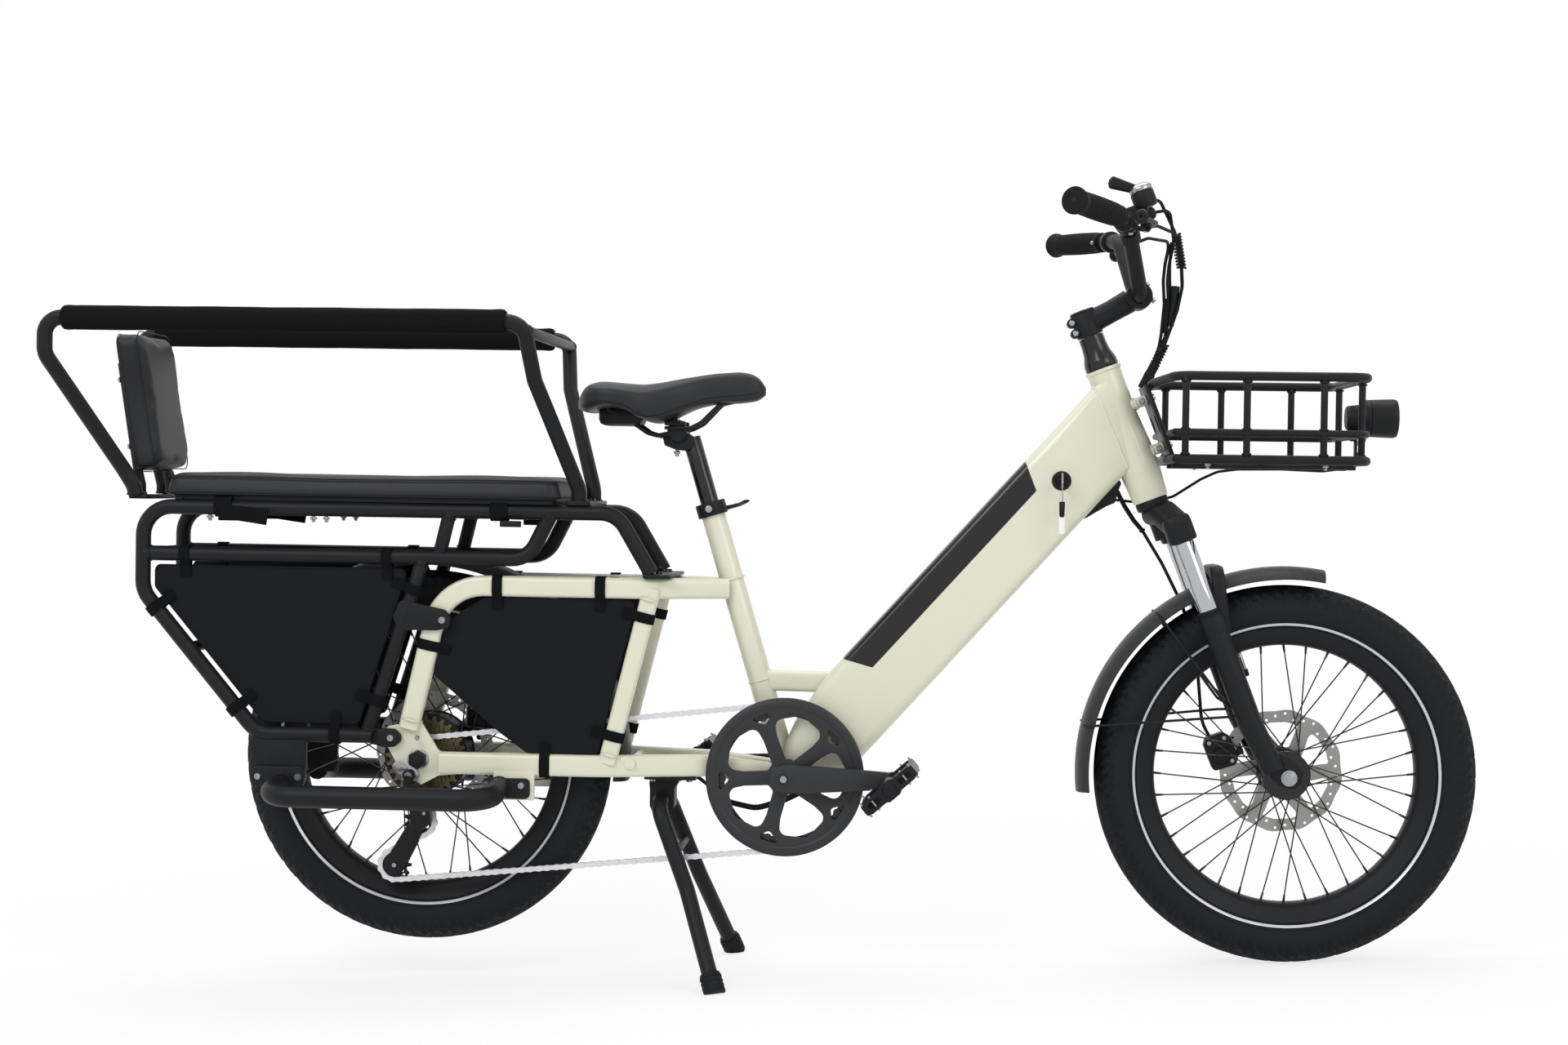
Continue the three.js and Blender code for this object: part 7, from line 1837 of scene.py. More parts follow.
crown_black, stanchions, crown_bits = [], [], []
crown_black.append(rod((0, 0, -60), (0, 0, 200), 14.2, sides=40))
crown_black.append(upright(((20, -14), (23.4, -12), (24, -9), (24, -2.2), (23, -0.4), (15, -0.35))))
for side in (1, -1):
    path = [(0, side * 2, -22), (7, side * 26, -24), (17, side * 56, -46)]
    crown_black.append(
        sweep(rounded(42, 28, 13, 15), path, 30, side=(1, 0, 0), sizes=lambda t: (1 - 0.08 * t, 1 + 0.1 * t))
    )
    cap_levels = (
        (-70.6, 0.9), (-69.4, 0.97), (-66, 1), (-42, 1), (-36, 0.95), (-33.4, 0.86), (-32.4, 0.72),
        (-32.3, 0.02)
    )
    cap_ring = rounded(41, 41, 15, 9)
    crown_black.append(
        stack([
            [(LEG_X + x * size, side * LEG_OUT + y * size, up) for x, y in cap_ring]
            for up, size in cap_levels
        ])
    )
    stanchions.append(rod((LEG_X, side * LEG_OUT, -300), (LEG_X, side * LEG_OUT, -50), 15, sides=48))
    crown_bits.append(rod((LEG_X, side * LEG_OUT, -35), (LEG_X, side * LEG_OUT, -30.6), 11, 10, 36))
piece(
    "fork_top", "steering", [(black, crown_black), (chrome, stanchions), (plastic, crown_bits)],
    nodes="fork_crown", place=STEER
)

# %% [markdown]
# Each lower leg is a cast tube with a wiper seal at its top. It bends forward at its foot into a flat
# dropout.
# %% Fork lowers
lowers, seals = [], []
for side in (1, -1):
    leg_line = [(LEG_X, side * LEG_OUT, -184), (LEG_X, side * LEG_OUT, -345), (27, side * 60, -420.5)]
    lowers.append(
        pipe(leg_line, 17.5, 75, 40, sizes=lambda t: (1 - 0.1 * max(0, t - 0.6), 1 - 0.1 * max(0, t - 0.6)))
    )
    collar = ((17.5, -210), (18.8, -206), (18.8, -190), (17.9, -184), (15.6, -183))
    lowers.append(upright(collar, (LEG_X, side * LEG_OUT), 44))
    wiper = (
        (17.2, -184), (18.1, -183.6), (18.1, -180.6), (16.6, -179.6), (16.6, -178.4), (17.3, -177.8),
        (17.1, -175.4), (15.3, -174)
    )
    seals.append(upright(wiper, (LEG_X, side * LEG_OUT), 44))
    outline = [
        (9.5, -396), (43, -399), (59, -417), (66, -436), (56, -452), (43, -455), (30, -448), (20, -432)
    ]
    low, high = sorted((side * 50.4, side * 61.9))
    axle_hole = rod(
        (FORK_RAKE, side * 40, -FORK_LONG), (FORK_RAKE, side * 75, -FORK_LONG), 5.1, sides=32, edge=0
    )
    lowers.append(cut(soft_plate(outline, 8, low, high, 1.6), axle_hole))
arch_line = [(26, -62, -214), (48, -60, -126), (48, 60, -126), (26, 62, -214)]
lowers.append(ease(sweep(rounded(18, 14, 5, 15), arch_line, 22, side=(1, 0, 0)), 0.8))
rib_line = [(x + 9.5, y * 0.97, z) for x, y, z in arch_line]
lowers.append(sweep(rounded(4, 6, 1.5, 15), rib_line, 20, side=(1, 0, 0)))
arch_bolts = [bolt((57, y, -126), (1, 0, 0), 4.4, 3) for y in (-11, 11)]
piece(
    "fork_legs", "fork_slider", [(black, lowers), (rubber, seals), (silver, arch_bolts)], nodes="fork_lowers",
    place=STEER
)
axle_parts = [rod((FORK_RAKE, -72, -FORK_LONG), (FORK_RAKE, 72, -FORK_LONG), 4.75)]
for side in (1, -1):
    washer_ends = [(FORK_RAKE, side * y, -FORK_LONG) for y in (62.4, 64.4)]
    axle_parts.append(rod(*washer_ends, 11.5, sides=36, edge=0.4))
    axle_parts.extend(nut((FORK_RAKE, side * 64.6, -FORK_LONG), (0, side, 0), 9.6, 5.4, 1.6))
piece("front_axle_nuts", "fork_slider", [(silver, axle_parts)], nodes="front_axle", place=STEER)

# %% [markdown]
# The front mudguard is a rolled sheet like the rear one. A bracket joins it to the brake arch, and two wire
# stays on each side run from its edge to the leg.
# %% Front mudguard
STAY_RADIUS, LEG_BACK = 293, 1.5
guard_parts = [guard_sheet(165, 59, FRONT_AXLE, 46)]
guard_parts.append(ease(block((42, -13, -141), (52, 13, -133), 1.5), 1))
guard_parts.append(plate([(41, -139), (55, -139), (57, -128), (41, -131)], -12, 12, edge=1))


def guard_edge(degrees, side):
    x, z = polar(STAY_RADIUS, degrees)
    return Vector((FORK_RAKE + x, side * 42, z - FORK_LONG))


stays = []
for side in (1, -1):
    start, foot = guard_edge(146, side), Vector((LEG_BACK, side * 61, -330))
    stays.append(
        pipe(
            [
                start + Vector((-4, side * -6, 3)), start + Vector((0, side * 2.4, 0)),
                start.lerp(foot, 0.1) + Vector((0, side * 2, 0)), foot + Vector((-12, side * 2, 4)), foot
            ], 1.9, 8, 12
        )
    )
    upper, end = guard_edge(108, side), Vector((LEG_BACK, side * 61, -318))
    stays.append(
        pipe(
            [
                upper + Vector((-3, side * -5, 4)), upper + Vector((-1, side * 2.4, 0)),
                end + Vector((-6, side * 2, 8)), end
            ], 1.9, 8, 12
        )
    )
piece(
    "front_guard", "fork_slider", [(guard_plastic, guard_parts), (black, stays)], nodes="front_mudguard",
    place=STEER
)

# %% [markdown]
# The front brake's caliper straddles its rotor behind the left leg. Its hose leaves the cover behind the head
# tube, hangs in an arc behind the crown and goes down to the caliper. It is made in two lengths that meet
# behind the crown.
# %% Front caliper
front_parts, front_fixings = caliper_parts((-28.5, 0, -382.2), 34, FRONT_AXLE)
front_parts.append(block((-20, 39, -398), (3.5, 60, -368), 2.5))
piece(
    "front_brake", "fork_slider", [(black, front_parts), (silver, front_fixings)], nodes="front_caliper",
    place=STEER
)
HOSE_JOINT = (-24, 44, -40)
low_line = [
    HOSE_JOINT, (-13, 53, -96), (-6, 53, -165), (-17, 53, -258), (-39, 52, -336), (-34, 51, -366),
    (-28.5, 50, -382)
]
low_hose = piece(
    "front_hose_low", None, [(rubber, [pipe(low_line, 2.5, 60, 14)])], place=STEER
)
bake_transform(low_hose)
neck_start = TURN_HEAD.inverted() @ on_down(630, 0, -66)
hose_end = Vector(HOSE_JOINT)
neck_line = [
    neck_start, *[neck_start.lerp(hose_end, share) + Vector((-2, 0, -3)) for share in (0.35, 0.7)], HOSE_JOINT
]
neck_hose = piece(
    "front_hose_top", None,
    [(rubber, [pipe(neck_line, 3.4, 20, 16), bead(HOSE_JOINT, (0.2, 0.3, -1), 3.2, 1.6)])],
    place=STEER
)
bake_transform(neck_hose)

# %% [markdown]
# The stem clamps on the steerer above the headset's tapered cover. Its rear is split and has two pinch bolts,
# and its face plate has four bolts.
# %% Stem
PINCH_LEVELS, BAR_X, BAR_Z = (263, 279), 84, 282
spacer_profile = (
    (15, 202.4), (23.6, 202.4), (24.4, 204), (24.4, 211), (23.4, 216), (20, 226), (18.6, 238), (18.4, 251.6),
    (15, 252)
)
spacer = upright(spacer_profile, count=56)
collar_part = upright(((15, 253), (18.6, 253), (19.4, 254), (19.4, 286), (18.6, 287.4), (15, 287.6)))
cap_part = upright(((0.2, 287.5), (18.2, 287.7), (18.4, 290), (16.4, 291.6), (5, 291.8), (0.2, 291.8)))
neck = ease(
    sweep(
        rounded(32, 34, 14, 15), [(4, 0, 271), (40, 0, 276), (70, 0, 281)],
        sizes=lambda t: (1 - 0.12 * math.sin(math.pi * t), 1 - 0.06 * math.sin(math.pi * t))
    ), 1
)
ears = block((-19, -13, 257), (-6, 13, 285), 3)
lobes = [
    cut(
        rod((-20, -14, up), (-20, 14, up), 6.6, sides=32, edge=1.2),
        block((-30, -1.2, up - 9), (-12, 1.2, up + 9), 0.1)
    ) for up in PINCH_LEVELS
]
jaw_profile = [(11.6, -23), (18, -23), (19.2, -21.8), (19.2, 21.8), (18, 23), (11.6, 23)]
jaw = turned(jaw_profile, 48, (BAR_X, 0, BAR_Z), closed=True)
plate_part = block((91, -21, 267.5), (101, 21, 296.5), 4)
stem_body = [
    collar_part, cap_part, neck, cut(ears, block((-30, -1.2, 250), (-17, 1.2, 290), 0.1)), *lobes, jaw,
    cut(plate_part, rod((BAR_X, -30, BAR_Z), (BAR_X, 30, BAR_Z), 17, sides=48, edge=0))
]
stem_bolts = [rod((0, 0, 291), (0, 0, 292.6), 4.6, 4.4, 24)]
for up in PINCH_LEVELS:
    stem_bolts.append(rod((-20, 13.8, up), (-20, 16.4, up), 4, 3.6, 24))
    stem_bolts.append(rod((-20, -16.4, up), (-20, -13.8, up), 4, 3.6, 24))
stem_bolts += [bolt((101, y, up), (1, 0, 0), 3.9, 3) for y in (-14, 14) for up in (270, 294)]
piece(
    "stem_clamp", "steering", [(gloss_black, [spacer]), (black, stem_body), (silver, stem_bolts)],
    nodes="stem", place=STEER
)

# %% [markdown]
# The riser handlebar is one bent tube. The display clamps ahead of its right rise.
# %% Handlebar and display
WING = [(BAR_X, 42, BAR_Z), (95, 100, 374), (84, 172, 385), (21, 300, 417)]
bar_line = [Vector((x, -y, z)) for x, y, z in reversed(WING)] + [Vector(spot) for spot in WING]
bar_tube = pipe(bar_line, 11.1, 34, 32, side=(0, 0, 1))


def wing_spot(first, share, side):
    start, end = (Vector((x, side * y, z)) for x, y, z in (WING[first], WING[first + 1]))
    return start.lerp(end, share), (end - start).normalized()


display_case = ease(block((114, -89, 374.6), (140, -55, 391.4), 5), 1)
display_face = moved(block((-12, -15.5, -0.6), (12, 15.5, 0.8), 0.6), Matrix.Translation((127, -72, 391.4)))
arm_place, arm_way = wing_spot(0, 0.86, -1)
display_arm = [
    pipe([(127, -72, 383), (108, -82, 378), (95, -92, 368)], 5, 8, 20),
    rod(arm_place - arm_way * 7, arm_place + arm_way * 7, 14.5, sides=40)
]
arm_bolt = bolt((102, -82, 384), (0, 0, 1), 3.6, 3)
piece(
    "handlebar_tube", "steering",
    [
        (black, [bar_tube]), (plastic, [display_case, *display_arm]), (lens, [display_face]),
        (silver, [arm_bolt])
    ], nodes="handlebar", place=STEER
)

# %% [markdown]
# The grips are rubber sleeves with raised ribs round them, a flared end and a clamp ring with a bolt at the
# inner end.
# %% Grips
for name, side in (("left", 1), ("right", -1)):
    start, way = wing_spot(2, 0.07, side)
    length = (Vector((21, side * 300, 417)) - start).length + 5
    across = way.cross(Vector((0, 0, 1))).normalized()
    upward = across.cross(way)
    profile = [(0, 12.2), (0.8, 15), (11, 15.2), (12, 13.4), (13, 15.4)]
    ribs = 22
    gap = (length - 40) / ribs
    for number in range(ribs):
        at_rib = 16 + number * gap
        swell = 0.7 * math.sin(math.pi * number / ribs)
        profile += [
            (at_rib, 15.1 + swell), (at_rib + gap * 0.2, 16 + swell), (at_rib + gap * 0.62, 16 + swell),
            (at_rib + gap * 0.82, 15.1 + swell)
        ]
    profile += [
        (length - 20, 15.6), (length - 12, 16.4), (length - 7, 18.6), (length - 3, 19), (length - 0.6, 18),
        (length, 15), (length + 0.2, 4)
    ]
    sleeve = stack([
        [start + way * along + across * x + upward * y for x, y in circle(radius, 48)]
        for along, radius in profile
    ])
    hub = rod(start + way * (length - 1), start + way * (length + 0.6), 3.6, sides=24, edge=0.3)
    clamp_bolt = bolt(start + way * 6 + upward * 4 - across * side * 14.6, -across * side, 3.2, 2.6)
    piece(
        "grip_rubber_" + name, "steering",
        [(grip_rubber, [sleeve]), (plastic, [hub]), (silver, [clamp_bolt])], nodes="grip_" + name,
        place=STEER
    )

# %% [markdown]
# Each brake lever turns on a pin in its perch. The lever's line is written from its pivot, in shares of its
# length, and the pivot droops forward of the bar.
# %% Brake perches and levers
LEVER_SHARES, LEVER_LONG = [(0, 0, 0), (0.07, 0.21, 0), (0.06, 0.58, -0.02), (-0.12, 1, -0.04)], 121


def perch_place(side):
    place, way = wing_spot(1, 0.68, side)
    return place, way, Matrix.Translation(place) @ Matrix.Rotation(math.radians(33), 4, "Y")


for name, side in (("left", 1), ("right", -1)):
    place, way, droop = perch_place(side)
    band = rod(place - way * 6.5, place + way * 6.5, 16, sides=48, edge=1)
    body_side = [(12, -9), (26, -9), (38, -8.5), (40, 0), (38, 8.5), (26, 9), (12, 9)]
    body = moved(soft_plate(body_side, 4, -6.5, 6.5, 1.2), droop)
    barrel = moved(rod((30, side * -6, 0), (30, side * -22, 0), 5, 4.4, 24), droop)
    hood = moved(rod((30, side * -20, 0), (30, side * -30, 0), 3.4, 2.6, 20), droop)
    slot_tool = moved(block((20, -9, -3.4), (44, 9, 3.4), 0.1), droop)
    band_bolt = moved(bolt((13, 0, -15), (0.2, 0, -1), 3.4, 3), droop)
    pin = moved(rod((31, 0, -9.8), (31, 0, 9.8), 3.2, sides=24, edge=0.4), droop)
    piece(
        "perch_" + name, "steering",
        [(black, [band, cut(body, slot_tool), barrel, hood]), (silver, [pin, band_bolt])],
        nodes="brake_perch_" + name, place=STEER
    )
    pivot = droop @ Matrix.Translation((31, 0, 0))
    line = [Vector((x, side * y, z)) * LEVER_LONG for x, y, z in LEVER_SHARES]
    blade = sweep(
        rounded(5.6, 12, 2.4, 15), line, 30, side=(0, 0, 1),
        sizes=lambda t: (1, 1 - 0.22 * math.sin(math.pi * t))
    )
    tip = bead(line[-1], (line[-1] - line[-2]).normalized(), 5.4, 5)
    eye = rod((0, 0, -2.9), (0, 0, 2.9), 7.4, sides=36, edge=0.6)
    lever = [moved(part, pivot) for part in (blade, tip, eye)]
    piece(
        "lever_" + name, "brake_lever_" + name, [(black, lever)], nodes="brake_lever_" + name,
        place=STEER
    )

# %% [markdown]
# The shifter's pod stands above its clamp ahead of the right rise, with its thumb paddle behind it under a
# silver cap.
# %% Shifter
spot, way = wing_spot(1, 0.36, -1)
pod_at = spot + Vector((35, 0, 0))
band = rod(spot - way * 7, spot + way * 7, 16, sides=44, edge=1)
pod_rings = ((0.2, 11), (13, 11.2), (16, 13), (16.6, 16), (16.6, 32), (15.6, 34.6), (0.2, 34.8))
pod = upright([(radius, spot.z + up) for radius, up in pod_rings], (pod_at.x, pod_at.y))
pod_neck = block((spot.x, spot.y - 7, spot.z + 5), (pod_at.x, spot.y + 7, spot.z + 20), 2.5)
outlet = rod(pod_at + Vector((0, 12, 22)), pod_at + Vector((4, 30, 22)), 4.4, 3.4, 24)
piece(
    "shifter_pod", "steering", [(plastic, [band, pod, pod_neck, outlet])], nodes="shifter_body",
    place=STEER
)


def paddle_size(t):
    """The thumb paddle widens towards its end, which is round"""
    end = math.sqrt(max(0.12, 1 - max(0, (t - 0.9) / 0.1) ** 2))
    return end, (0.75 + 0.5 * min(t, 0.9)) * end


low = spot.z + 35.3
CAP_RADIUS = 16.8
dome = [
    (CAP_RADIUS * math.cos(a), low + 3.2 + 8.6 * math.sin(a))
    for a in (math.radians(9 * k) for k in range(10))
]
cap = upright(
    ((0.2, low), (CAP_RADIUS - 0.5, low + 0.1), *dome[:-1], (0.2, low + 11.8)), (pod_at.x, pod_at.y)
)
blade_start, blade_end = Vector((pod_at.x, pod_at.y, low)), Vector((pod_at.x - 38, pod_at.y - 6, low + 28))
blade_line = [blade_start.lerp(blade_end, k / 20) for k in range(21)]
paddle = sweep(rounded(9, 15, 4, 15), blade_line, sizes=paddle_size)
piece(
    "shift_paddle", "shift_lever", [(silver, [cap]), (plastic, [paddle])], nodes="shift_lever",
    place=STEER
)

# %% [markdown]
# Five thin cables leave the handlebar and gather into a bundle under two spiral wraps, then enter the frame
# behind the head tube through a rubber sleeve.
# %% Cables
def on_bar(ahead, y, up):
    return BIKE.inverted() @ STEER @ Vector((ahead, y, up))


TRUNK = [
    (1084, -10, 1050), (1093, -4, 1003), (1095, 0, 976), (1088, 0, 940), (1072, 0, 894), (1057, 0, 861),
    (1044, 0, 834)
]
INNER = [
    (1079, 0, 1040), (1073, 4, 1008), (1071, 6, 984), (1073, 5, 950), (1069, 3, 905), (1066, 0, 888),
    (1057, 0, 861), (1044, 0, 834)
]
starts = [on_bar(140.5, -72, 383), on_bar(pod_at.x + 4, pod_at.y + 29, spot.z + 22)]
for side in (1, -1):
    starts.append(on_bar(*(perch_place(side)[2] @ Vector((30, side * -29, 0)))))
cables = []
for number, first in enumerate(starts):
    angle = 2 * math.pi * number / len(starts)
    shift = Vector((math.cos(angle) * 3, math.sin(angle) * 3, 0))
    out = first + Vector((22, -first.y * 0.3, 6))
    route = INNER if number in (0, 2) else TRUNK
    line = [first, out, *[Vector(spot) + shift for spot in route]]
    cables.append(pipe(line, 2.4, 26, 12))
fifth = [Vector(spot) + Vector((7 * math.sin(math.pi * n / 5), 5, 0)) for n, spot in enumerate(INNER[:6])]
cables.append(pipe(fifth, 2.4, 20, 12))
plugs = [rod((1075.5, 8, 958), (1071.5, 6, 908), 4.4, 4, 24), rod((1086, 4, 976), (1079, 3, 918), 6, 5, 24)]
trunk = [Vector(spot) for spot in TRUNK]
trunk_long = sum((b - a).length for a, b in zip(trunk, trunk[1:]))
WRAP_PITCH, WRAP_RADIUS, TURN_STEPS = 4.6, 5.8, 12


def trunk_at(share):
    want = share * trunk_long
    for a, b in zip(trunk, trunk[1:]):
        step = (b - a).length
        if want <= step:
            return a.lerp(b, want / step)
        want -= step
    return trunk[-1]


wraps = []
for top_share, low_share in ((0, 0.22), (0.72, 0.88)):
    coil = []
    steps = round((low_share - top_share) * trunk_long / WRAP_PITCH) * TURN_STEPS
    for number in range(steps + 1):
        share = top_share + (low_share - top_share) * number / steps
        ahead = (trunk_at(min(share + 0.02, 1)) - trunk_at(share - 0.02)).normalized()
        across = ahead.cross(Vector((0, 1, 0))).normalized()
        a = 2 * math.pi * number / TURN_STEPS
        coil.append(trunk_at(share) + (across * math.cos(a) + Vector((0, 1, 0)) * math.sin(a)) * WRAP_RADIUS)
    wraps.append(pipe(coil, 1.8, sides=8))
sleeve = pipe(
    [(1058, 0, 863), (1051, 0, 849), (1041, 0, 827)], 8, 10, 24,
    sizes=lambda t: (0.86 + 0.14 * t, 0.86 + 0.14 * t)
)
bundle_made = piece(
    "cables", None, [(rubber, [*cables, sleeve]), (plastic, [*wraps, *plugs])], nodes="cable_bundle",
)
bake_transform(bundle_made)
# %% [markdown]
# The basket is welded from round bar: a thick top hoop, a thinner one half way down and a thick one round the
# floor, joined by posts. Its back plate bolts to the bosses on the head tube, and two long bars carry the
# floor.
# %% Basket
REAR_X, FRONT_X, HALF_Y = 1076, 1338, 168
NECK_X, NECK_Y, NECK_HIGH = 1052, 62, 832.5
HOOP_HIGH, HOOP_MIDDLE, HOOP_LOW = 839, 761, 724
THICK_BAR, THIN_BAR = 6.5, 4.9


def hoop(z, radius, rear, neck=None, bend=26):
    half = [(rear, -HALF_Y, z), (FRONT_X, -HALF_Y, z), (FRONT_X, HALF_Y, z), (rear, HALF_Y, z)]
    path = [(neck, 2 - NECK_Y, z - THICK_BAR), *half, (neck, NECK_Y - 2, z - THICK_BAR)] if neck else half
    return pipe(path, radius, bend, 24, side=(0, 0, 1))


basket_bars = [
    hoop(HOOP_HIGH, THICK_BAR, REAR_X, NECK_X - 1), hoop(HOOP_MIDDLE, 5, REAR_X - 2),
    hoop(HOOP_LOW, THICK_BAR, REAR_X - 2)
]
basket_welds = []


def post(x, y, weld_levels):
    basket_bars.append(rod((x, y, HOOP_LOW - 2), (x, y, HOOP_HIGH + 2), THIN_BAR))
    for z, radius in weld_levels:
        basket_welds.append(bead((x, y, z), (0, 0, 1), radius, 1.5))


END_WELDS = ((731.5, 5.4), (831.5, 5.4))
for side in (1, -1):
    for share in (0.02, 0.34, 0.74):
        post(REAR_X + (FRONT_X - REAR_X) * share + THICK_BAR, side * HALF_Y, (*END_WELDS, (766, 5.2)))
for share in (-0.62, 0.62):
    post(FRONT_X, share * HALF_Y, END_WELDS)
for share in (0.2, 0.5, 0.8):
    x = REAR_X + (FRONT_X - REAR_X) * share
    basket_bars.append(rod((x, -HALF_Y, HOOP_LOW), (x, HALF_Y, HOOP_LOW), THIN_BAR))
basket_bars.append(rod((REAR_X, -HALF_Y - 2, HOOP_LOW), (REAR_X, HALF_Y + 2, HOOP_LOW), 6.2, sides=28))
for near, far in ((-HALF_Y - 2, -NECK_Y), (NECK_Y, HALF_Y + 2)):
    basket_bars.append(rod((REAR_X - 2, near, HOOP_MIDDLE), (REAR_X - 2, far, HOOP_MIDDLE), THIN_BAR))
basket_bars.append(
    rod((NECK_X, -NECK_Y - 2, NECK_HIGH), (NECK_X, NECK_Y + 2, NECK_HIGH), THICK_BAR, sides=28)
)
plate_corners = [on_head(43.3 + ahead, 0, up) for ahead, up in ((0, 40), (0, 158), (6, 158), (6, 40))]
back_plate = ease(plate([(p.x, p.z) for p in plate_corners], -NECK_Y, NECK_Y), 1.6)
slots = [rod(on_head(30, y, 99), on_head(60, y, 99), 14, sides=32, edge=0) for y in (-36, 36)]
back_plate = cut(back_plate, *slots)
foot_spot = on_head(46.3, 0, 40)
for side in (1, -1):
    y = side * NECK_Y * 0.7
    basket_bars.append(rod((foot_spot.x - 3, y, 717), (FRONT_X + 2, y, 717), THIN_BAR))
    plate_top = on_head(46.3, 0, 150)
    basket_bars.append(pipe([(plate_top.x, side * 56, plate_top.z), (NECK_X, side * 56, NECK_HIGH)], 4.6))
basket_bolts = []
ahead_way = (on_head(1, 0, 0) - on_head(0, 0, 0)).normalized()
for up in (66, 138):
    for y in (-8, 8):
        place = on_head(49.4, y * 2.2, up)
        basket_bolts.append(rod(place - ahead_way * 0.2, place + ahead_way * 1.4, 8.6, sides=30, edge=0.4))
        basket_bolts.append(bolt(place + ahead_way * 1.2, ahead_way, 6, 4.4))
for x, y in ((1126, -96), (1126, 96), (1290, -96), (1290, 96)):
    basket_bolts.extend(nut((x, y, 718.4), (0, 0, -1), 4.6, 3.4))
piece(
    "basket_bars", "frame", [(black, [*basket_bars, *basket_welds, back_plate]), (silver, basket_bolts)],
    nodes="basket"
)

# %% [markdown]
# The headlight is a tapered shell with a clear lens, on a bent strap that is bolted to the basket's front.
# %% Headlight
SHELL_X, LIGHT_Z = 1352.8, 788


def lamp_form(profile, count, capped=True):
    """Rings of (place ahead, radius) round the lamp's level axis"""
    rings = [
        [(SHELL_X + ahead, y, LIGHT_Z + z) for y, z in circle(radius, count)] for ahead, radius in profile
    ]
    return stack(rings, capped)


shell = lamp_form(
    (
        (-21, 0.3), (-21, 15), (-19.4, 17), (-17, 17.8), (1, 20), (2, 25), (4, 26.4), (12, 26.9),
        (12.8, 26.2), (13.6, 26.9), (30, 27.6), (44, 28), (47, 28), (50.6, 26.6), (51.4, 24.6), (48.6, 24),
        (48, 23.4), (47, 22.4)
    ), 56
)
reflector = lamp_form(((47.2, 22.3), (41, 20), (32, 14), (26, 6), (25, 0.3)), 40, capped=False)
glass = lamp_form(((47.4, 0.3), (47.4, 22.8), (48.8, 23), (49.8, 20), (50.6, 12), (50.9, 0.3)), 40)
strap_form = sweep(rounded(16, 3, 0.8, 45), [(1346.4, 0, 718), (1346.4, 0, 766), (1350.5, 0, 790)], 8)
clip = [rod((FRONT_X, 0, z), (1347, 0, z), radius) for z, radius in ((HOOP_LOW, 7.6), (HOOP_MIDDLE, 6.4))]
hinge = block((1348, -8, 778), (1357.4, 8, 798), 2)
light_bolts = [
    bolt((1348, 0, 752), (1, 0, 0), 3.8, 3), *nut((1354, 8, 788), (0, 1, 0), 4.2, 3),
    bolt((1354, -8, 788), (0, -1, 0), 4, 3)
]
lead = pipe(
    [
        (1354, 0, 776), (1362, 4, 760), (1352, 6, 738), (1336, 2, 716), (1300, 0, 711), (1240, 0, 713),
        (1178, 0, 712), (1150, 2, 708), (1127, 6, 697), (1107, 13, 683.5), on_head(33, 24, -8),
        on_head(18, 35, -6), on_head(-4, 37, -2), on_head(-24, 31, 5), on_head(-46, 8, 16)
    ], 2, 24, 12
)
piece(
    "headlight_lamp", "frame",
    [
        (plastic, [shell, strap_form, *clip, hinge]), (silver, [*light_bolts, reflector]), (lens, [glass]),
        (rubber, [lead])
    ], nodes="headlight"
)
# %% [markdown]
# The photograph was taken almost square to the bicycle's right side, from a little above the seat's height
# and about three and a half metres away. The camera stands there, with the same view angle and the same
# slight roll.
# %% Camera
yaw, pitch, roll = 0.071, 0.0147, -0.015
ahead = Vector((-math.sin(yaw) * math.cos(pitch), math.cos(yaw) * math.cos(pitch), -math.sin(pitch)))
right = Vector((math.cos(yaw), math.sin(yaw), 0))
down = ahead.cross(right)
right, down = (right * math.cos(roll) + down * math.sin(roll), down * math.cos(roll) - right * math.sin(roll))
turn = BIKE.to_3x3().normalized()
right, down, ahead = turn @ right, turn @ down, turn @ ahead
view = bpy.data.cameras.new("photo_view")
FOCAL_PIXELS, PICTURE_WIDE, SENSOR_WIDE = 2980, 1920, 36
view.sensor_width, view.lens = SENSOR_WIDE, SENSOR_WIDE * FOCAL_PIXELS / PICTURE_WIDE
camera = bpy.data.objects.new("photo_view", view)
camera.matrix_world = Matrix((right, -down, -ahead)).transposed().to_4x4()
camera.matrix_world.translation = BIKE @ Vector((775.3, -3560, 677))
bpy.context.collection.objects.link(camera)
bpy.context.scene.camera = camera
print("camera at", [round(v, 3) for v in camera.matrix_world.translation])

# %% [markdown]
# The floor is plain and pale, and shows white to the camera and in reflections, so that metal mirrors a
# bright studio. It still takes the soft shadow of the tyres and the stand, and beyond the bicycle it fades
# into the white of the sky. Three wide lamps and a pale sky light the bicycle from above and from the
# camera's side.
# %% Floor, sky and lamps
def shows_white(tree):
    """1 where the camera, a reflection or a ray through glass looks, and 0 for light on things"""
    sight = tree.nodes.new("ShaderNodeLightPath")
    level = sight.outputs["Is Camera Ray"]
    for other in ("Is Glossy Ray", "Is Transmission Ray"):
        either = tree.nodes.new("ShaderNodeMath")
        either.operation = "MAXIMUM"
        tree.links.new(level, either.inputs[0])
        tree.links.new(sight.outputs[other], either.inputs[1])
        level = either.outputs["Value"]
    return level


world = bpy.data.worlds.new("studio")
bpy.context.scene.world = world
world.use_nodes = True
sky, sky_links = world.node_tree.nodes, world.node_tree.links
base = sky["Background"]
put(base, Color=(1, 1, 1, 1))
level = sky.new("ShaderNodeMapRange")
put(level, To_Min=0.62, To_Max=1.0)
sky_links.new(shows_white(world.node_tree), level.inputs["Value"])
sky_links.new(level.outputs["Result"], base.inputs["Strength"])

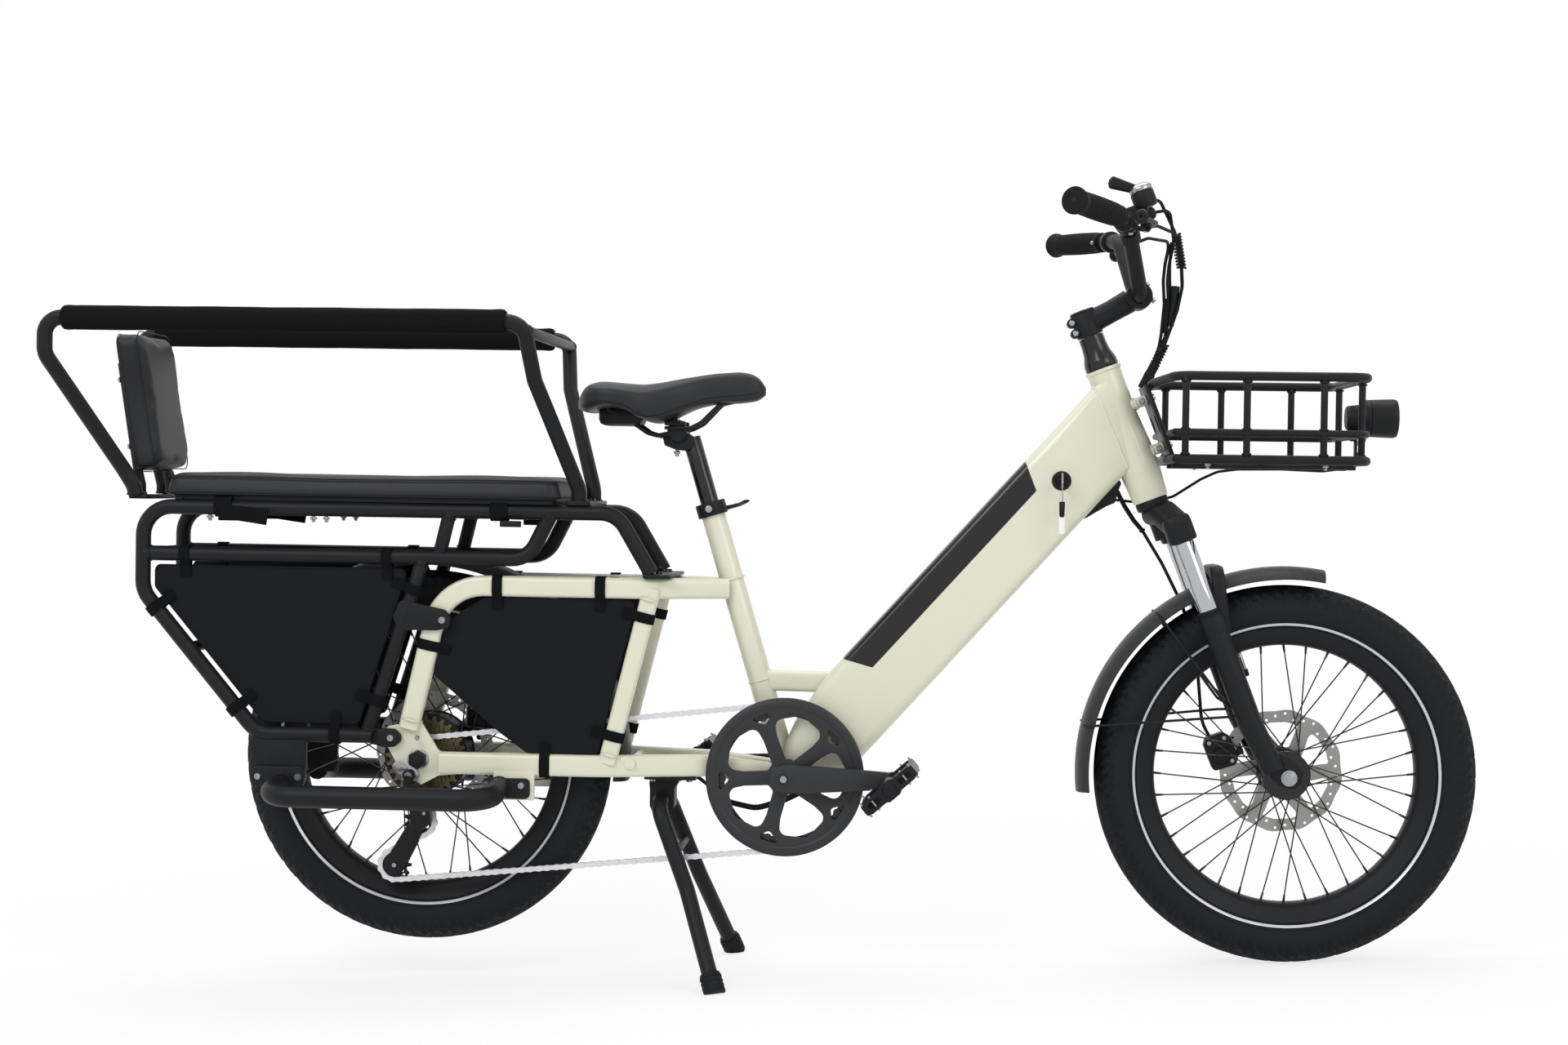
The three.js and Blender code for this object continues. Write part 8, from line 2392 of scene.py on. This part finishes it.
floor_form = bmesh.new()
bmesh.ops.create_grid(floor_form, x_segments=2, y_segments=2, size=12)
floor_mesh = bpy.data.meshes.new("studio_floor")
floor_form.to_mesh(floor_mesh)
floor_form.free()
floor = bpy.data.objects.new("studio_floor", floor_mesh)
bpy.context.collection.objects.link(floor)
pale = bpy.data.materials.new("pale_floor")
pale.use_nodes = True
floor_nodes, floor_links = pale.node_tree.nodes, pale.node_tree.links
cloth = floor_nodes["Principled BSDF"]
put(cloth, Base_Color=(0.93, 0.93, 0.93, 1), Roughness=0.9)
glow = floor_nodes.new("ShaderNodeEmission")
put(glow, Color=(1, 1, 1, 1))
mixed = floor_nodes.new("ShaderNodeMixShader")
spot = floor_nodes.new("ShaderNodeTexCoord")
reach = floor_nodes.new("ShaderNodeVectorMath")
reach.operation = "LENGTH"
fade = floor_nodes.new("ShaderNodeMapRange")
put(fade, From_Min=1.1, From_Max=1.9, To_Min=0.74, To_Max=1.0)
part_white = floor_nodes.new("ShaderNodeMath")
part_white.operation = "MULTIPLY"
floor_links.new(spot.outputs["Object"], reach.inputs[0])
floor_links.new(reach.outputs["Value"], fade.inputs["Value"])
floor_links.new(fade.outputs["Result"], part_white.inputs[0])
floor_links.new(shows_white(pale.node_tree), part_white.inputs[1])
floor_links.new(part_white.outputs["Value"], mixed.inputs["Fac"])
floor_links.new(cloth.outputs["BSDF"], mixed.inputs[1])
floor_links.new(glow.outputs["Emission"], mixed.inputs[2])
floor_links.new(mixed.outputs["Shader"], floor_nodes["Material Output"].inputs["Surface"])
floor_mesh.materials.append(pale)


def lamp(name, place, aim, size, power):
    light = bpy.data.lights.new(name, "AREA")
    light.shape, light.size, light.size_y, light.energy = "RECTANGLE", size[0], size[1], power
    made = bpy.data.objects.new(name, light)
    made.matrix_world = Matrix.Translation(place) @ (
        Vector(aim) - Vector(place)
    ).to_track_quat("-Z", "Y").to_matrix().to_4x4()
    bpy.context.collection.objects.link(made)


lamp("key_softbox", (-1.6, -3.2, 3.2), (0, 0, 0.5), (2.4, 1.6), 62)
lamp("fill_softbox", (2.8, -2.6, 2.2), (0.2, 0, 0.5), (1.8, 1.8), 30)
lamp("top_softbox", (0, 0.6, 3.4), (0, 0, 0.4), (3.4, 1.6), 46)
bpy.context.scene.view_settings.view_transform = "Standard"
